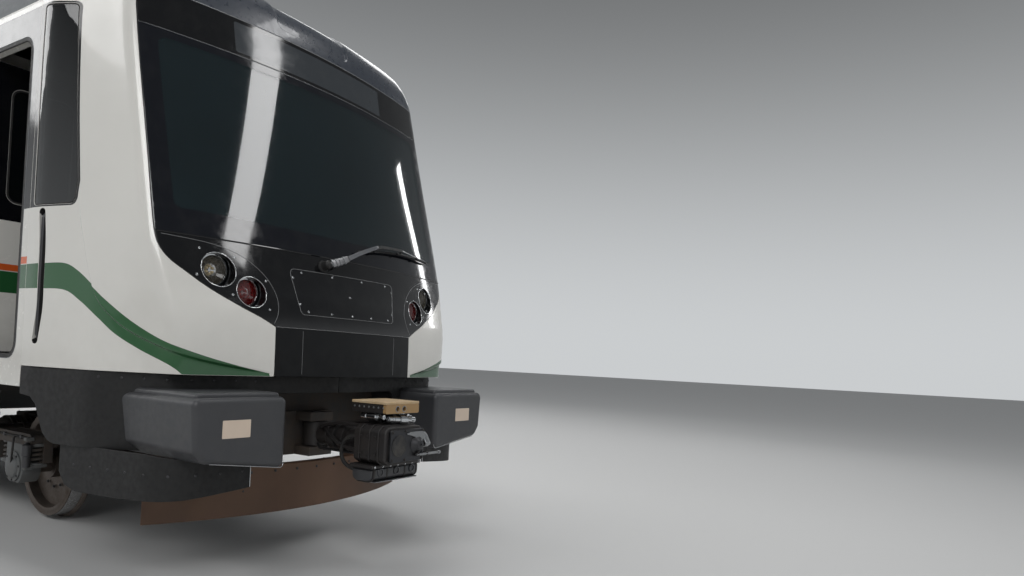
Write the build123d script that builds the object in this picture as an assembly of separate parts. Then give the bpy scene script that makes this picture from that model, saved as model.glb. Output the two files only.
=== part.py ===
from build123d import *
import os
from math import sin, cos, radians

os.makedirs("parts", exist_ok=True)

# Metro motor car with one driver's cab, in millimetres.
# +X points to the cab nose, +Y to the car's left, +Z up.
# Heights below are over the rail top; up() turns them into model heights,
# where zero is the lowest point of the wheel flanges.
# Setbacks are distances behind the front faces of the bumper covers; at() turns them into X.

# Driving dimensions
FLANGE_DEPTH = 28
COUPLED_LENGTH = 23300
COUPLER_REACH = 400
GANGWAY_REACH = 300
HALF_WIDTH = 1600
WALL = 60
SEAM = 0.3

SKIRT_HEIGHT = 1140
MASK_BOTTOM = 1275
FLOOR_TOP = 1300
FLOOR_THICKNESS = 60
WALL_TOP = 3650
BAND_BOTTOM = 2328
ROOF_CROWN = 4175
ROOF_THICKNESS = 50

MASK_REAR = 1540
MASK_THICKNESS = 45
GLASS_THICKNESS = 14

# The first doorway and the front bogie are set from the nose, the last ones from the rear wall
FIRST_DOOR = 4150
LAST_DOOR = 2610
DOOR_COUNT = 4
DOOR_WIDTH = 1400
DOOR_TOP = 3430
DOOR_THICKNESS = 36

CAB_DOOR_FRONT = 1657
CAB_DOOR_WIDTH = 650
CAB_DOOR_TOP = 3420
CAB_SILL = 1340
CAB_DOOR_GAP = 7
CAB_DOOR_THICKNESS = 40
CAB_DOOR_OPEN = 90
BULKHEAD = 2480
BULKHEAD_THICKNESS = 50

WHEEL_RADIUS = 430
TRACK_GAUGE = 1435
AXLE_RADIUS = 82
WHEELBASE = 2300
FRONT_BOGIE = 3950
REAR_BOGIE = 3450
BOLSTER_BOTTOM = 985

NOSE = COUPLED_LENGTH / 2 - COUPLER_REACH
REAR = -COUPLED_LENGTH / 2 + GANGWAY_REACH
DOOR_PITCH = (NOSE - FIRST_DOOR - REAR - LAST_DOOR) / (DOOR_COUNT - 1)
BOGIE_CENTRES = {"front": NOSE - FRONT_BOGIE, "rear": REAR + REAR_BOGIE}


def up(height):
    return FLANGE_DEPTH + height


def at(setback):
    return NOSE - setback


def block(x0, x1, y0, y1, h0, h1):
    """A box between two X values, two Y values and two heights over the rail."""
    size = Box(abs(x1 - x0), abs(y1 - y0), abs(h1 - h0))
    return Pos((x0 + x1) / 2, (y0 + y1) / 2, up((h0 + h1) / 2)) * size


def front_prism(points, x0, x1):
    """A prism along X from an outline in (y, height)."""
    face = make_face(Polyline(*[(x0, y, up(h)) for y, h in points], close=True))
    return extrude(face, amount=x1 - x0, dir=(1, 0, 0))


def side_prism(points, y0, y1):
    """A prism along Y from an outline in (x, height)."""
    face = make_face(Polyline(*[(x, y0, up(h)) for x, h in points], close=True))
    return extrude(face, amount=y1 - y0, dir=(0, 1, 0))


def rounded_side_prism(x0, x1, h0, h1, radius, y0, y1):
    """A prism along Y from a rectangle with rounded corners."""
    slab = block(x0, x1, y0, y1, h0, h1)
    return fillet(slab.edges().filter_by(Axis.Y), radius)


def tube(start, end, radius):
    """A round bar between two points given in model coordinates."""
    path = Line(start, end)
    return sweep(Plane(start, z_dir=path % 0) * Circle(radius), path=path)


def mirrored(piece):
    return mirror(piece, Plane.XZ)


def save(name, *pieces):
    solids = []
    for piece in pieces:
        solids.extend(piece.solids())
    export_step(Compound(children=solids), f"parts/{name}.step")


# Nose skin
# Each row is one level plan section of the nose: height over rail, setback of the middle,
# half width where the front arc ends, setback and half width where the pillar ends,
# and the half width of the body at that height.
FRONT_RADIUS = 5000
NOSE_ROWS = (
    (MASK_BOTTOM, 197, 1240, 900, 1505, HALF_WIDTH),
    (1600, 205, 1270, 905, 1510, HALF_WIDTH),
    (1820, 255, 1310, 920, 1512, HALF_WIDTH),
    (2135, 335, 1349, 950, 1515, HALF_WIDTH),
    (3480, 690, 1334, 1190, 1505, HALF_WIDTH),
    (WALL_TOP, 728, 1322, 1240, 1500, HALF_WIDTH),
    (3820, 762, 1290, 1275, 1478, 1580),
    (3980, 830, 1180, 1310, 1370, 1480),
    (4080, 950, 1010, 1340, 1215, 1320),
    (4140, 1120, 820, 1370, 1010, 1120),
)
PILLAR_TURN = (120, 78)
TAPER_START = 1420


def plan_section(row, inset):
    height, middle, front_half, pillar_setback, pillar_half, body_half = row
    front_half -= inset * 0.8
    pillar_half -= inset
    body_half -= inset
    middle += inset
    front_end = middle + front_half ** 2 / (2 * FRONT_RADIUS)
    turn_x, turn_y = PILLAR_TURN
    half = [
        (front_end, front_half),
        (front_end + turn_x * 0.36, front_half + turn_y * 0.66),
        (front_end + turn_x, front_half + turn_y),
        (pillar_setback, pillar_half),
        (TAPER_START, body_half),
        (MASK_REAR, body_half),
    ]
    z = up(height)
    left = [Vector(at(s), y, z) for s, y in half]
    right = [Vector(at(s), -y, z) for s, y in half]
    edges = [
        ThreePointArc(right[0], (at(middle), 0, z), left[0]),
        ThreePointArc(left[0], left[1], left[2]),
        Line(left[2], left[3]),
        Line(left[3], left[4]),
        Line(left[4], left[5]),
        Line(left[5], right[5]),
        Line(right[5], right[4]),
        Line(right[4], right[3]),
        Line(right[3], right[2]),
        ThreePointArc(right[2], right[1], right[0]),
    ]
    return make_face(edges)


def nose_body(inset):
    """The nose out to its skin, or to a surface that lies inset behind it."""
    rows = [list(row) for row in NOSE_ROWS]
    for row in rows[-4:]:
        row[0] -= inset * 0.7
    rows[0][0] -= inset
    return loft([plan_section(row, inset) for row in rows], ruled=True)


NOSE_OUTER = nose_body(0)
MASK_SHELL = NOSE_OUTER - nose_body(MASK_THICKNESS)
GLASS_SHELL = NOSE_OUTER - nose_body(GLASS_THICKNESS)

# Outlines on the nose, seen from the front, as (half width, height) of the right edge
SCREEN_BOTTOM = 2135
SCREEN_TOP = 3480
DISPLAY_TOP = 3760
SCREEN_EDGE = ((1344, SCREEN_BOTTOM), (1332, SCREEN_TOP))
DISPLAY_EDGE = ((1332, SCREEN_TOP), (1300, DISPLAY_TOP))
FAIRING_EDGE = ((1300, DISPLAY_TOP), (1268, 3830), (1150, 3980), (985, 4080), (800, 4150))
PANEL_EDGE = ((662, 1640), (955, 1765), (1205, 1975), (1344, SCREEN_BOTTOM))
LOWER_EDGE = ((662, MASK_BOTTOM - 10), (662, 1640))
HATCH_EDGE = ((415, 1705), (515, 2010))
FAIRING_REAR = 1400


def nose_region(edge, gap, rear=MASK_REAR):
    """Prism over the nose between an edge and its mirror image, drawn in by gap on all sides."""
    low = edge[0][1]
    high = edge[-1][1]
    right = []
    for y, h in edge:
        if h == low:
            h += gap
        if h == high:
            h -= gap
        right.append((y - gap, h))
    left = [(-y, h) for y, h in reversed(right)]
    return front_prism(right + left, at(rear - gap), at(-50))


screen = GLASS_SHELL & nose_region(SCREEN_EDGE, SEAM)
display = GLASS_SHELL & nose_region(DISPLAY_EDGE, SEAM)
fairing = MASK_SHELL & nose_region(FAIRING_EDGE, SEAM, FAIRING_REAR)
front_panel = MASK_SHELL & nose_region(PANEL_EDGE, SEAM)
lower_panel = MASK_SHELL & nose_region(LOWER_EDGE, SEAM)
hatch = front_panel & nose_region(HATCH_EDGE, SEAM)
front_panel -= nose_region(HATCH_EDGE, 0)

# Lamps, in pods of the front panel: half width, height, radius of the opening
LAMPS = {"headlamps": (1000, 1942, 108), "tail_lamps": (799, 1819, 100)}
lamp_nodes = {}
for lamp_name, (lamp_y, lamp_height, lamp_radius) in LAMPS.items():
    lamp_nodes[lamp_name] = []
    for side in (-1, 1):
        bore = Pos(at(700), side * lamp_y, up(lamp_height)) * Rot(0, 90, 0) * Cylinder(
            lamp_radius, 1600
        )
        plug = Pos(at(700), side * lamp_y, up(lamp_height)) * Rot(0, 90, 0) * Cylinder(
            lamp_radius - SEAM, 1600
        )
        lamp_nodes[lamp_name].append((front_panel & bore) & plug)
        front_panel -= bore

# The cab mask is what the black panels leave of the shell, with its side windows cut
QUARTER_LOW = BAND_BOTTOM + 22
QUARTER_TOP = 3560
QUARTER_WINDOW = (
    (at(1010), QUARTER_LOW),
    (at(1225), QUARTER_TOP),
    (at(MASK_REAR - 55), QUARTER_TOP),
    (at(MASK_REAR - 55), QUARTER_LOW),
)
mask = MASK_SHELL
for edge in (SCREEN_EDGE, DISPLAY_EDGE, FAIRING_EDGE, PANEL_EDGE, LOWER_EDGE):
    mask -= nose_region(edge, 0, FAIRING_REAR)
quarter_prism = side_prism(QUARTER_WINDOW, -HALF_WIDTH - 10, HALF_WIDTH + 10)
mask -= quarter_prism
seated = [(x - 0.4 if x > at(1300) else x + SEAM, h) for x, h in QUARTER_WINDOW]
quarter_glass = GLASS_SHELL & side_prism(
    [(x, h + SEAM if h == QUARTER_LOW else h - SEAM) for x, h in seated],
    -HALF_WIDTH - 10,
    HALF_WIDTH + 10,
)

save("cab_mask", mask)
save("windscreen", screen)
save("destination_glass", display)
save("roof_fairing", fairing)
save("front_panel", front_panel)
save("lower_front_panel", lower_panel)
save("front_hatch", hatch)
for lamp_name, lenses in lamp_nodes.items():
    save(lamp_name, *lenses)
save("quarter_windows", quarter_glass)

# Roof profile: half width and height of each point from the wall top to the crown
ROOF_ROWS = ((HALF_WIDTH, WALL_TOP), (1580, 3820), (1480, 3980), (1320, 4080), (1120, 4140))


def roof_section(inset, x):
    points = []
    for half, height in ROOF_ROWS:
        points.append(Vector(x, half - inset, up(height - inset * 0.7)))
    points[0] = Vector(x, HALF_WIDTH - inset, up(WALL_TOP))
    other = [Vector(p.X, -p.Y, p.Z) for p in points]
    edges = [
        ThreePointArc(points[0], points[1], points[2]),
        ThreePointArc(points[2], points[3], points[4]),
        ThreePointArc(points[4], (x, 0, up(ROOF_CROWN - inset)), other[4]),
        ThreePointArc(other[4], other[3], other[2]),
        ThreePointArc(other[2], other[1], other[0]),
        Line(other[0], points[0]),
    ]
    return make_face(edges)


BODY_FRONT = at(MASK_REAR)
BODY_LENGTH = BODY_FRONT - REAR
roof = extrude(roof_section(0, REAR), amount=BODY_LENGTH, dir=(1, 0, 0))
roof -= extrude(roof_section(ROOF_THICKNESS, REAR), amount=BODY_LENGTH, dir=(1, 0, 0))
save("roof", roof)

# Side walls with doorways, cab doorways and windows
INNER_HALF = HALF_WIDTH - WALL
DOOR_BOTTOM = FLOOR_TOP - 22
WINDOW_LOW = 2400
WINDOW_TOP = 3420
WINDOW_PIER = 130
WINDOW_MARGIN = 235
WINDOW_RADIUS = 70
WINDOW_LENGTH = (DOOR_PITCH - DOOR_WIDTH - WINDOW_PIER) / 2 - WINDOW_MARGIN
door_centres = [at(FIRST_DOOR + i * DOOR_PITCH) for i in range(DOOR_COUNT)]
window_centres = []
for door_x in door_centres[:-1]:
    middle = door_x - DOOR_PITCH / 2
    for side in (-1, 1):
        window_centres.append(middle + side * (WINDOW_LENGTH + WINDOW_PIER) / 2)
last_window = (door_centres[-1] - DOOR_WIDTH / 2 + REAR + WALL) / 2
REAR_WINDOW_LENGTH = 900
window_spans = [(x, WINDOW_LENGTH) for x in window_centres] + [(last_window, REAR_WINDOW_LENGTH)]
cab_door_x0 = at(CAB_DOOR_FRONT + CAB_DOOR_WIDTH)
cab_door_x1 = at(CAB_DOOR_FRONT)

wall = block(REAR + WALL, BODY_FRONT, INNER_HALF, HALF_WIDTH, SKIRT_HEIGHT, WALL_TOP)
for door_x in door_centres:
    half_door = DOOR_WIDTH / 2
    wall -= block(
        door_x - half_door, door_x + half_door, INNER_HALF - 1, HALF_WIDTH + 1, DOOR_BOTTOM, DOOR_TOP
    )
wall -= block(
    cab_door_x0 - CAB_DOOR_GAP,
    cab_door_x1 + CAB_DOOR_GAP,
    INNER_HALF - 1,
    HALF_WIDTH + 1,
    CAB_SILL,
    CAB_DOOR_TOP,
)
panes = []
for middle, length in window_spans:
    wall -= rounded_side_prism(
        middle - length / 2,
        middle + length / 2,
        WINDOW_LOW,
        WINDOW_TOP,
        WINDOW_RADIUS,
        INNER_HALF - 1,
        HALF_WIDTH + 1,
    )
    panes.append(
        rounded_side_prism(
            middle - length / 2 + SEAM,
            middle + length / 2 - SEAM,
            WINDOW_LOW + SEAM,
            WINDOW_TOP - SEAM,
            WINDOW_RADIUS,
            HALF_WIDTH - GLASS_THICKNESS,
            HALF_WIDTH,
        )
    )

# Passenger plug doors, shut and flush, two leaves to a doorway, each with its pane
LEAF_WINDOW = (430, 2420, 3300)
leaves = []
door_panes = []
for door_x in door_centres:
    for side in (-1, 1):
        leaf_middle = door_x + side * DOOR_WIDTH / 4
        half_leaf = DOOR_WIDTH / 4 - SEAM
        leaf = block(
            leaf_middle - half_leaf,
            leaf_middle + half_leaf,
            HALF_WIDTH - DOOR_THICKNESS,
            HALF_WIDTH,
            DOOR_BOTTOM + SEAM,
            DOOR_TOP - SEAM,
        )
        pane_width, pane_low, pane_top = LEAF_WINDOW
        leaf -= rounded_side_prism(
            leaf_middle - pane_width / 2,
            leaf_middle + pane_width / 2,
            pane_low,
            pane_top,
            WINDOW_RADIUS,
            HALF_WIDTH - DOOR_THICKNESS - 1,
            HALF_WIDTH + 1,
        )
        leaves.append(leaf)
        door_panes.append(
            rounded_side_prism(
                leaf_middle - pane_width / 2 + SEAM,
                leaf_middle + pane_width / 2 - SEAM,
                pane_low + SEAM,
                pane_top - SEAM,
                WINDOW_RADIUS,
                HALF_WIDTH - GLASS_THICKNESS,
                HALF_WIDTH,
            )
        )

save("side_wall_left", wall)
save("side_wall_right", mirrored(wall))
save("side_windows", *panes, *[mirrored(pane) for pane in panes])
save("passenger_doors_left", *leaves)
save("passenger_doors_right", *[mirrored(leaf) for leaf in leaves])
save("door_windows", *door_panes, *[mirrored(pane) for pane in door_panes])

# Cab doors: hinged at their rear edge and opening inwards
CAB_PANE = (420, 2420, 3250)
hinge_x = cab_door_x0
hinge_y = HALF_WIDTH - CAB_DOOR_THICKNESS
cab_leaf = block(
    cab_door_x0, cab_door_x1, hinge_y, HALF_WIDTH, CAB_SILL + CAB_DOOR_GAP, CAB_DOOR_TOP - CAB_DOOR_GAP
)
pane_width, pane_low, pane_top = CAB_PANE
cab_pane_middle = (cab_door_x0 + cab_door_x1) / 2
cab_leaf -= rounded_side_prism(
    cab_pane_middle - pane_width / 2,
    cab_pane_middle + pane_width / 2,
    pane_low,
    pane_top,
    WINDOW_RADIUS,
    hinge_y - 1,
    HALF_WIDTH + 1,
)
cab_pane = rounded_side_prism(
    cab_pane_middle - pane_width / 2 + SEAM,
    cab_pane_middle + pane_width / 2 - SEAM,
    pane_low + SEAM,
    pane_top - SEAM,
    WINDOW_RADIUS,
    HALF_WIDTH - GLASS_THICKNESS - 4,
    HALF_WIDTH - 4,
)


def swung(piece, x, y, degrees):
    return Pos(x, y, 0) * Rot(0, 0, degrees) * Pos(-x, -y, 0) * piece


# Hinges of the cab doors and the bulkhead door: the leaf carries the outer knuckles, and the
# middle one, with the pins, sits on an arm from a plate on the jamb
KNUCKLE = CAB_DOOR_GAP - SEAM
KNUCKLE_HEIGHT = 60
HINGE_PIN = 3
PIN_REACH = 25
HINGE_PLATE = (60, 10)
HINGE_HEIGHTS = (1560, 2330, 3200)


def upright(x, y, height, radius, length):
    return Pos(x, y, up(height)) * Cylinder(radius, length)


def hinged(leaf, x, y):
    """The leaf with its knuckles about the line x, y, cut free of the jamb's knuckles."""
    for height in HINGE_HEIGHTS:
        leaf += upright(x, y, height, KNUCKLE, 3 * KNUCKLE_HEIGHT)
        leaf -= upright(x, y, height, CAB_DOOR_GAP, KNUCKLE_HEIGHT + 2 * SEAM)
        leaf -= upright(x, y, height, HINGE_PIN + SEAM, KNUCKLE_HEIGHT + 2 * PIN_REACH + 2 * SEAM)
    return leaf


def jamb_hinge(height, face):
    """A jamb knuckle about the Z axis, for a jamb towards -X whose face lies at Y = -face."""
    plate_length, plate_depth = HINGE_PLATE
    low = height - KNUCKLE_HEIGHT / 2
    high = height + KNUCKLE_HEIGHT / 2
    knuckle = upright(0, 0, height, KNUCKLE, KNUCKLE_HEIGHT)
    knuckle += upright(0, 0, height, HINGE_PIN, KNUCKLE_HEIGHT + 2 * PIN_REACH)
    knuckle += block(-KNUCKLE, 0, -face - plate_depth, 0, low, high)
    knuckle += block(-plate_length, 0, -face - plate_depth, -face, low, high)
    return knuckle


cab_leaf = hinged(cab_leaf, hinge_x, hinge_y)
hinges = []
for height in HINGE_HEIGHTS:
    hinge = Pos(hinge_x, hinge_y, 0) * jamb_hinge(height, hinge_y - INNER_HALF)
    hinges.extend([hinge, mirrored(hinge)])
save("cab_door_left", cab_leaf, cab_pane)
open_door = [swung(mirrored(piece), hinge_x, -hinge_y, CAB_DOOR_OPEN) for piece in (cab_leaf, cab_pane)]
save("cab_door_right", *open_door)

# Rear end wall with its gangway opening, filling the body profile
GANGWAY_HALF = 700
GANGWAY_TOP = 3330
rear_wall = extrude(roof_section(ROOF_THICKNESS + SEAM, REAR), amount=WALL, dir=(1, 0, 0))
rear_wall += block(REAR, REAR + WALL - SEAM, -HALF_WIDTH, HALF_WIDTH, SKIRT_HEIGHT, WALL_TOP)
rear_wall -= block(REAR - 1, REAR + WALL + 1, -GANGWAY_HALF, GANGWAY_HALF, FLOOR_TOP, GANGWAY_TOP)
save("rear_end_wall", rear_wall)

# Floor, side sills and cross bearers, with the bolsters over the bogies
FLOOR_BOTTOM = FLOOR_TOP - FLOOR_THICKNESS
CAB_FLOOR_FRONT = at(560)
floor = block(REAR + WALL, BODY_FRONT, -INNER_HALF, INNER_HALF, FLOOR_BOTTOM, FLOOR_TOP)
floor += block(BODY_FRONT, CAB_FLOOR_FRONT, -1180, 1180, FLOOR_BOTTOM, FLOOR_TOP)
save("floor", floor)
SILL_WIDTH = 90
BEARER_PITCH = 1100
BEARER_WIDTH = 70
BEARER_BOTTOM = SKIRT_HEIGHT + 15
BOLSTER_HALF_LENGTH = 380
BOLSTER_HALF_WIDTH = 1240
PIVOT_PIN_RADIUS = 55
PIVOT_PIN_BOTTOM = 520
PIVOT_SEAT = 60
underframe = Part()
for side in (-1, 1):
    underframe += block(
        REAR + WALL, BODY_FRONT, side * INNER_HALF, side * (INNER_HALF - SILL_WIDTH),
        SKIRT_HEIGHT, FLOOR_BOTTOM,
    )
bearer_run = BODY_LENGTH - WALL - BEARER_WIDTH
bearer_count = round(bearer_run / BEARER_PITCH)
for i in range(bearer_count + 1):
    x = REAR + WALL + i * bearer_run / bearer_count
    underframe += block(x, x + BEARER_WIDTH, -INNER_HALF + 1, INNER_HALF - 1, BEARER_BOTTOM, FLOOR_BOTTOM)
bolsters = []
for centre in BOGIE_CENTRES.values():
    bolster = block(
        centre - BOLSTER_HALF_LENGTH, centre + BOLSTER_HALF_LENGTH,
        -BOLSTER_HALF_WIDTH, BOLSTER_HALF_WIDTH, BOLSTER_BOTTOM, FLOOR_BOTTOM,
    )
    underframe -= bolster
    bolster -= upright(centre, 0, BOLSTER_BOTTOM, PIVOT_PIN_RADIUS + SEAM, 2 * PIVOT_SEAT)
    pin_length = BOLSTER_BOTTOM + PIVOT_SEAT - SEAM - PIVOT_PIN_BOTTOM
    bolsters.append(bolster)
    bolsters.append(upright(centre, 0, PIVOT_PIN_BOTTOM + pin_length / 2, PIVOT_PIN_RADIUS, pin_length))
save("underframe", underframe)
save("bolsters", *bolsters)

# Centre sills that carry the coupler at the front and the drawbar at the rear
CENTRE_SILL_HALF = 190
CENTRE_SILL_BOTTOM = 980
SILL_OVERLAP = 400
CROSS_HEAD = 700
CROSS_HEAD_DEPTH = 120
CROSS_HEAD_HALF = 1150
CROSS_HEAD_BOTTOM = 760
cross_rear = CROSS_HEAD + CROSS_HEAD_DEPTH
front_mount = block(
    BODY_FRONT - SILL_OVERLAP, at(cross_rear), -CENTRE_SILL_HALF, CENTRE_SILL_HALF,
    CENTRE_SILL_BOTTOM, FLOOR_BOTTOM,
)
front_mount += block(
    at(cross_rear), at(CROSS_HEAD), -CROSS_HEAD_HALF, CROSS_HEAD_HALF, CROSS_HEAD_BOTTOM, FLOOR_BOTTOM
)
front_mount -= underframe
REAR_SILL_LENGTH = 700
rear_mount = block(
    REAR, REAR + REAR_SILL_LENGTH, -CENTRE_SILL_HALF, CENTRE_SILL_HALF, CENTRE_SILL_BOTTOM, SKIRT_HEIGHT
)
rear_mount += block(
    REAR + WALL, REAR + REAR_SILL_LENGTH, -CENTRE_SILL_HALF, CENTRE_SILL_HALF, SKIRT_HEIGHT, FLOOR_BOTTOM
)
rear_mount -= underframe

# Front skirt under the mask, black, set in a little from the mask
SKIRT_INSET = 22
SKIRT_BOTTOM = 800
SKIRT_PLAN = (MASK_BOTTOM, 330, 1210, 900, 1500, HALF_WIDTH)
skirt_plan = plan_section(SKIRT_PLAN, 0)
skirt_inner = plan_section(SKIRT_PLAN, SKIRT_INSET)
skirt_drop = MASK_BOTTOM - SKIRT_BOTTOM
skirt = extrude(skirt_plan - skirt_inner, amount=skirt_drop, dir=(0, 0, -1))
skirt -= block(at(700), at(-100), -640, 640, SKIRT_BOTTOM - 1, MASK_BOTTOM - 120)
skirt -= block(at(1600), at(1390), -1700, 1700, SKIRT_BOTTOM - 1, SKIRT_HEIGHT - 80)
save("front_skirt", skirt)

# Bumper covers: outline of the front face in (half width, height), then its depth
BUMPER_FACE = ((745, 1162), (1392, 1162), (1370, 860), (1310, 790), (745, 715))
BUMPER_DEPTH = 800
BUMPER_ROUND = 38
bumper = extrude(
    make_face(Polyline(*[(at(0), -y, up(h)) for y, h in BUMPER_FACE], close=True)),
    amount=BUMPER_DEPTH, dir=(-1, 0, 0),
)
bumper = fillet(bumper.edges().filter_by(Axis.X), BUMPER_ROUND)
bumper = fillet(bumper.faces().sort_by(Axis.X)[-1].edges(), BUMPER_ROUND * 0.8)
bumper -= extrude(plan_section(SKIRT_PLAN, -SEAM), amount=skirt_drop + 200, dir=(0, 0, -1))
save("bumper_covers", bumper, mirrored(bumper))

# Lower lips behind the bumpers and the curved obstacle deflector
DEFLECTOR = (300, 640, 1180)
deflector_low, deflector_high, deflector_half = DEFLECTOR
DEFLECTOR_SETBACK = 520
DEFLECTOR_RADIUS = 2600
DEFLECTOR_PLATE = 16
outer = Pos(at(DEFLECTOR_SETBACK + DEFLECTOR_RADIUS), 0, up((deflector_low + deflector_high) / 2))
height = deflector_high - deflector_low
deflector = outer * (
    Cylinder(DEFLECTOR_RADIUS, height) - Cylinder(DEFLECTOR_RADIUS - DEFLECTOR_PLATE, height)
)
deflector &= block(at(1400), at(0), -deflector_half, deflector_half, 0, 900)
HANGER_Y = 560
hanger_front = DEFLECTOR_SETBACK + HANGER_Y ** 2 / (2 * DEFLECTOR_RADIUS) + DEFLECTOR_PLATE / 2
for side in (-1, 1):
    deflector += block(
        at(CROSS_HEAD + 110), at(hanger_front), side * HANGER_Y - 50, side * HANGER_Y + 50, 420, 640
    )
    deflector += block(
        at(CROSS_HEAD + 110), at(CROSS_HEAD + 10), side * HANGER_Y - 50, side * HANGER_Y + 50, 640, 760
    )
save("obstacle_deflector", deflector)

# Wiper, parked along the foot of the windscreen
wiper_pivot = Vector(at(338), -20, up(2098))
wiper_tip = Vector(at(430), 905, up(2210))
wiper = Pos(wiper_pivot) * Rot(0, 90, 0) * Cylinder(30, 70)
wiper += tube(wiper_pivot + Vector(20, 0, 0), wiper_tip + Vector(24, 0, 0), 9)
wiper -= nose_body(-SEAM)
save("wiper", wiper)

# Grab rails beside the cab doors
GRAB_LOW = 1435
GRAB_TOP = 2265
rails = []
for setback in (CAB_DOOR_FRONT - 160 + 45, CAB_DOOR_FRONT + CAB_DOOR_WIDTH + 90):
    rail = block(at(setback + 12), at(setback - 12), INNER_HALF - 30, INNER_HALF - 6, GRAB_LOW, GRAB_TOP)
    rail += block(at(setback + 12), at(setback - 12), INNER_HALF - 6, INNER_HALF, GRAB_LOW, GRAB_LOW + 30)
    rail += block(at(setback + 12), at(setback - 12), INNER_HALF - 6, INNER_HALF, GRAB_TOP - 30, GRAB_TOP)
    rails.append(rail)

# Bulkhead behind the cab, with its hinged door
BULKHEAD_TOP = 3560
CEILING = 3500
CEILING_THICKNESS = 30
INNER_DOOR = (-330, 330, 3330)
door_y0, door_y1, inner_door_top = INNER_DOOR
bulkhead_x = at(BULKHEAD)
bulkhead = block(
    bulkhead_x - BULKHEAD_THICKNESS, bulkhead_x, -INNER_HALF + SEAM, INNER_HALF - SEAM,
    FLOOR_TOP, BULKHEAD_TOP,
)
bulkhead -= block(
    bulkhead_x - BULKHEAD_THICKNESS - 1, bulkhead_x + 1, door_y0, door_y1, FLOOR_TOP, inner_door_top
)
save("cab_bulkhead", bulkhead)
INNER_DOOR_THICKNESS = 36
bulkhead_rear = bulkhead_x - BULKHEAD_THICKNESS
inner_hinge_y = door_y0 + CAB_DOOR_GAP
inner_door = block(
    bulkhead_rear, bulkhead_rear + INNER_DOOR_THICKNESS,
    inner_hinge_y, door_y1 - CAB_DOOR_GAP,
    FLOOR_TOP + CAB_DOOR_GAP, inner_door_top - CAB_DOOR_GAP,
)
save("bulkhead_door", hinged(inner_door, bulkhead_rear, inner_hinge_y))
for height in HINGE_HEIGHTS:
    turned_hinge = mirror(jamb_hinge(height, 0), Plane.XZ)
    hinges.append(Pos(bulkhead_rear, inner_hinge_y, 0) * Rot(0, 0, 90) * turned_hinge)
save("door_hinges", *hinges)

# Driver's desk and seat
desk = block(at(1130), at(620), -1080, 1080, FLOOR_TOP, 2000)
desk -= block(at(1130) - 1, at(850), -420, 420, FLOOR_TOP - 1, 1900)
desk += block(at(1190), at(1130), -900, 900, 1950, 2030)
save("driver_desk", desk)
seat = Pos(at(1560), 0, up(FLOOR_TOP + 170)) * Cylinder(60, 340)
seat += Pos(at(1560), 0, up(FLOOR_TOP + 12)) * Cylinder(190, 24)
seat += block(at(1800), at(1320), -240, 240, FLOOR_TOP + 340, FLOOR_TOP + 440)
seat += block(at(1860), at(1790), -240, 240, FLOOR_TOP + 360, FLOOR_TOP + 1120)
save("driver_seat", seat)

# Ceiling
saloon_x0 = REAR + WALL + SEAM
saloon_x1 = bulkhead_x - BULKHEAD_THICKNESS
ceiling = block(saloon_x0, saloon_x1, -INNER_HALF, INNER_HALF, CEILING, CEILING + CEILING_THICKNESS)
save("saloon_ceiling", ceiling)

# Seats along the walls between the doors, and the grab poles
BENCH_MARGIN = 290
BENCH_LENGTH = DOOR_PITCH - DOOR_WIDTH - 2 * BENCH_MARGIN
BENCH_DEPTH = 430
BENCH_HEIGHT = 430
BENCH_BACK = 500
POLE_RADIUS = 18
POLE_Y = 640
benches = []
for door_x in door_centres[:-1]:
    middle = door_x - DOOR_PITCH / 2
    for side in (-1, 1):
        wall_y = side * INNER_HALF
        bench = block(
            middle - BENCH_LENGTH / 2, middle + BENCH_LENGTH / 2,
            wall_y, wall_y - side * BENCH_DEPTH,
            FLOOR_TOP + BENCH_HEIGHT - 60, FLOOR_TOP + BENCH_HEIGHT,
        )
        bench += block(
            middle - BENCH_LENGTH / 2, middle + BENCH_LENGTH / 2,
            wall_y, wall_y - side * 60,
            FLOOR_TOP + BENCH_HEIGHT, FLOOR_TOP + BENCH_HEIGHT + BENCH_BACK,
        )
        bench += block(
            middle - BENCH_LENGTH / 2, middle + BENCH_LENGTH / 2,
            wall_y, wall_y - side * 300, FLOOR_TOP, FLOOR_TOP + BENCH_HEIGHT - 60,
        )
        benches.append(bench)
save("bench_seats", *benches)
poles = []
for door_x in door_centres:
    for side in (-1, 1):
        pole = Pos(door_x, side * POLE_Y, up((FLOOR_TOP + CEILING) / 2)) * Cylinder(
            POLE_RADIUS, CEILING - FLOOR_TOP
        )
        poles.append(pole)
save("grab_poles", *poles)
save("cab_grab_rails", *rails, *[mirrored(rail) for rail in rails])

# Gangway bellows at the rear end
BELLOWS_STEPS = 5
bellows_pitch = GANGWAY_REACH / BELLOWS_STEPS
bellows = Part()
for i in range(BELLOWS_STEPS):
    x1 = REAR - i * bellows_pitch
    for inset, depth in ((0, bellows_pitch * 0.6), (45, bellows_pitch * 0.4)):
        x0 = x1 - depth
        ring = block(
            x0, x1, -GANGWAY_HALF - 110 + inset, GANGWAY_HALF + 110 - inset,
            SKIRT_HEIGHT + inset, GANGWAY_TOP + 110 - inset,
        )
        ring -= block(x0 - 1, x1 + 1, -GANGWAY_HALF, GANGWAY_HALF, FLOOR_TOP, GANGWAY_TOP)
        bellows += ring
        x1 = x0
save("gangway_bellows", bellows)

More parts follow.
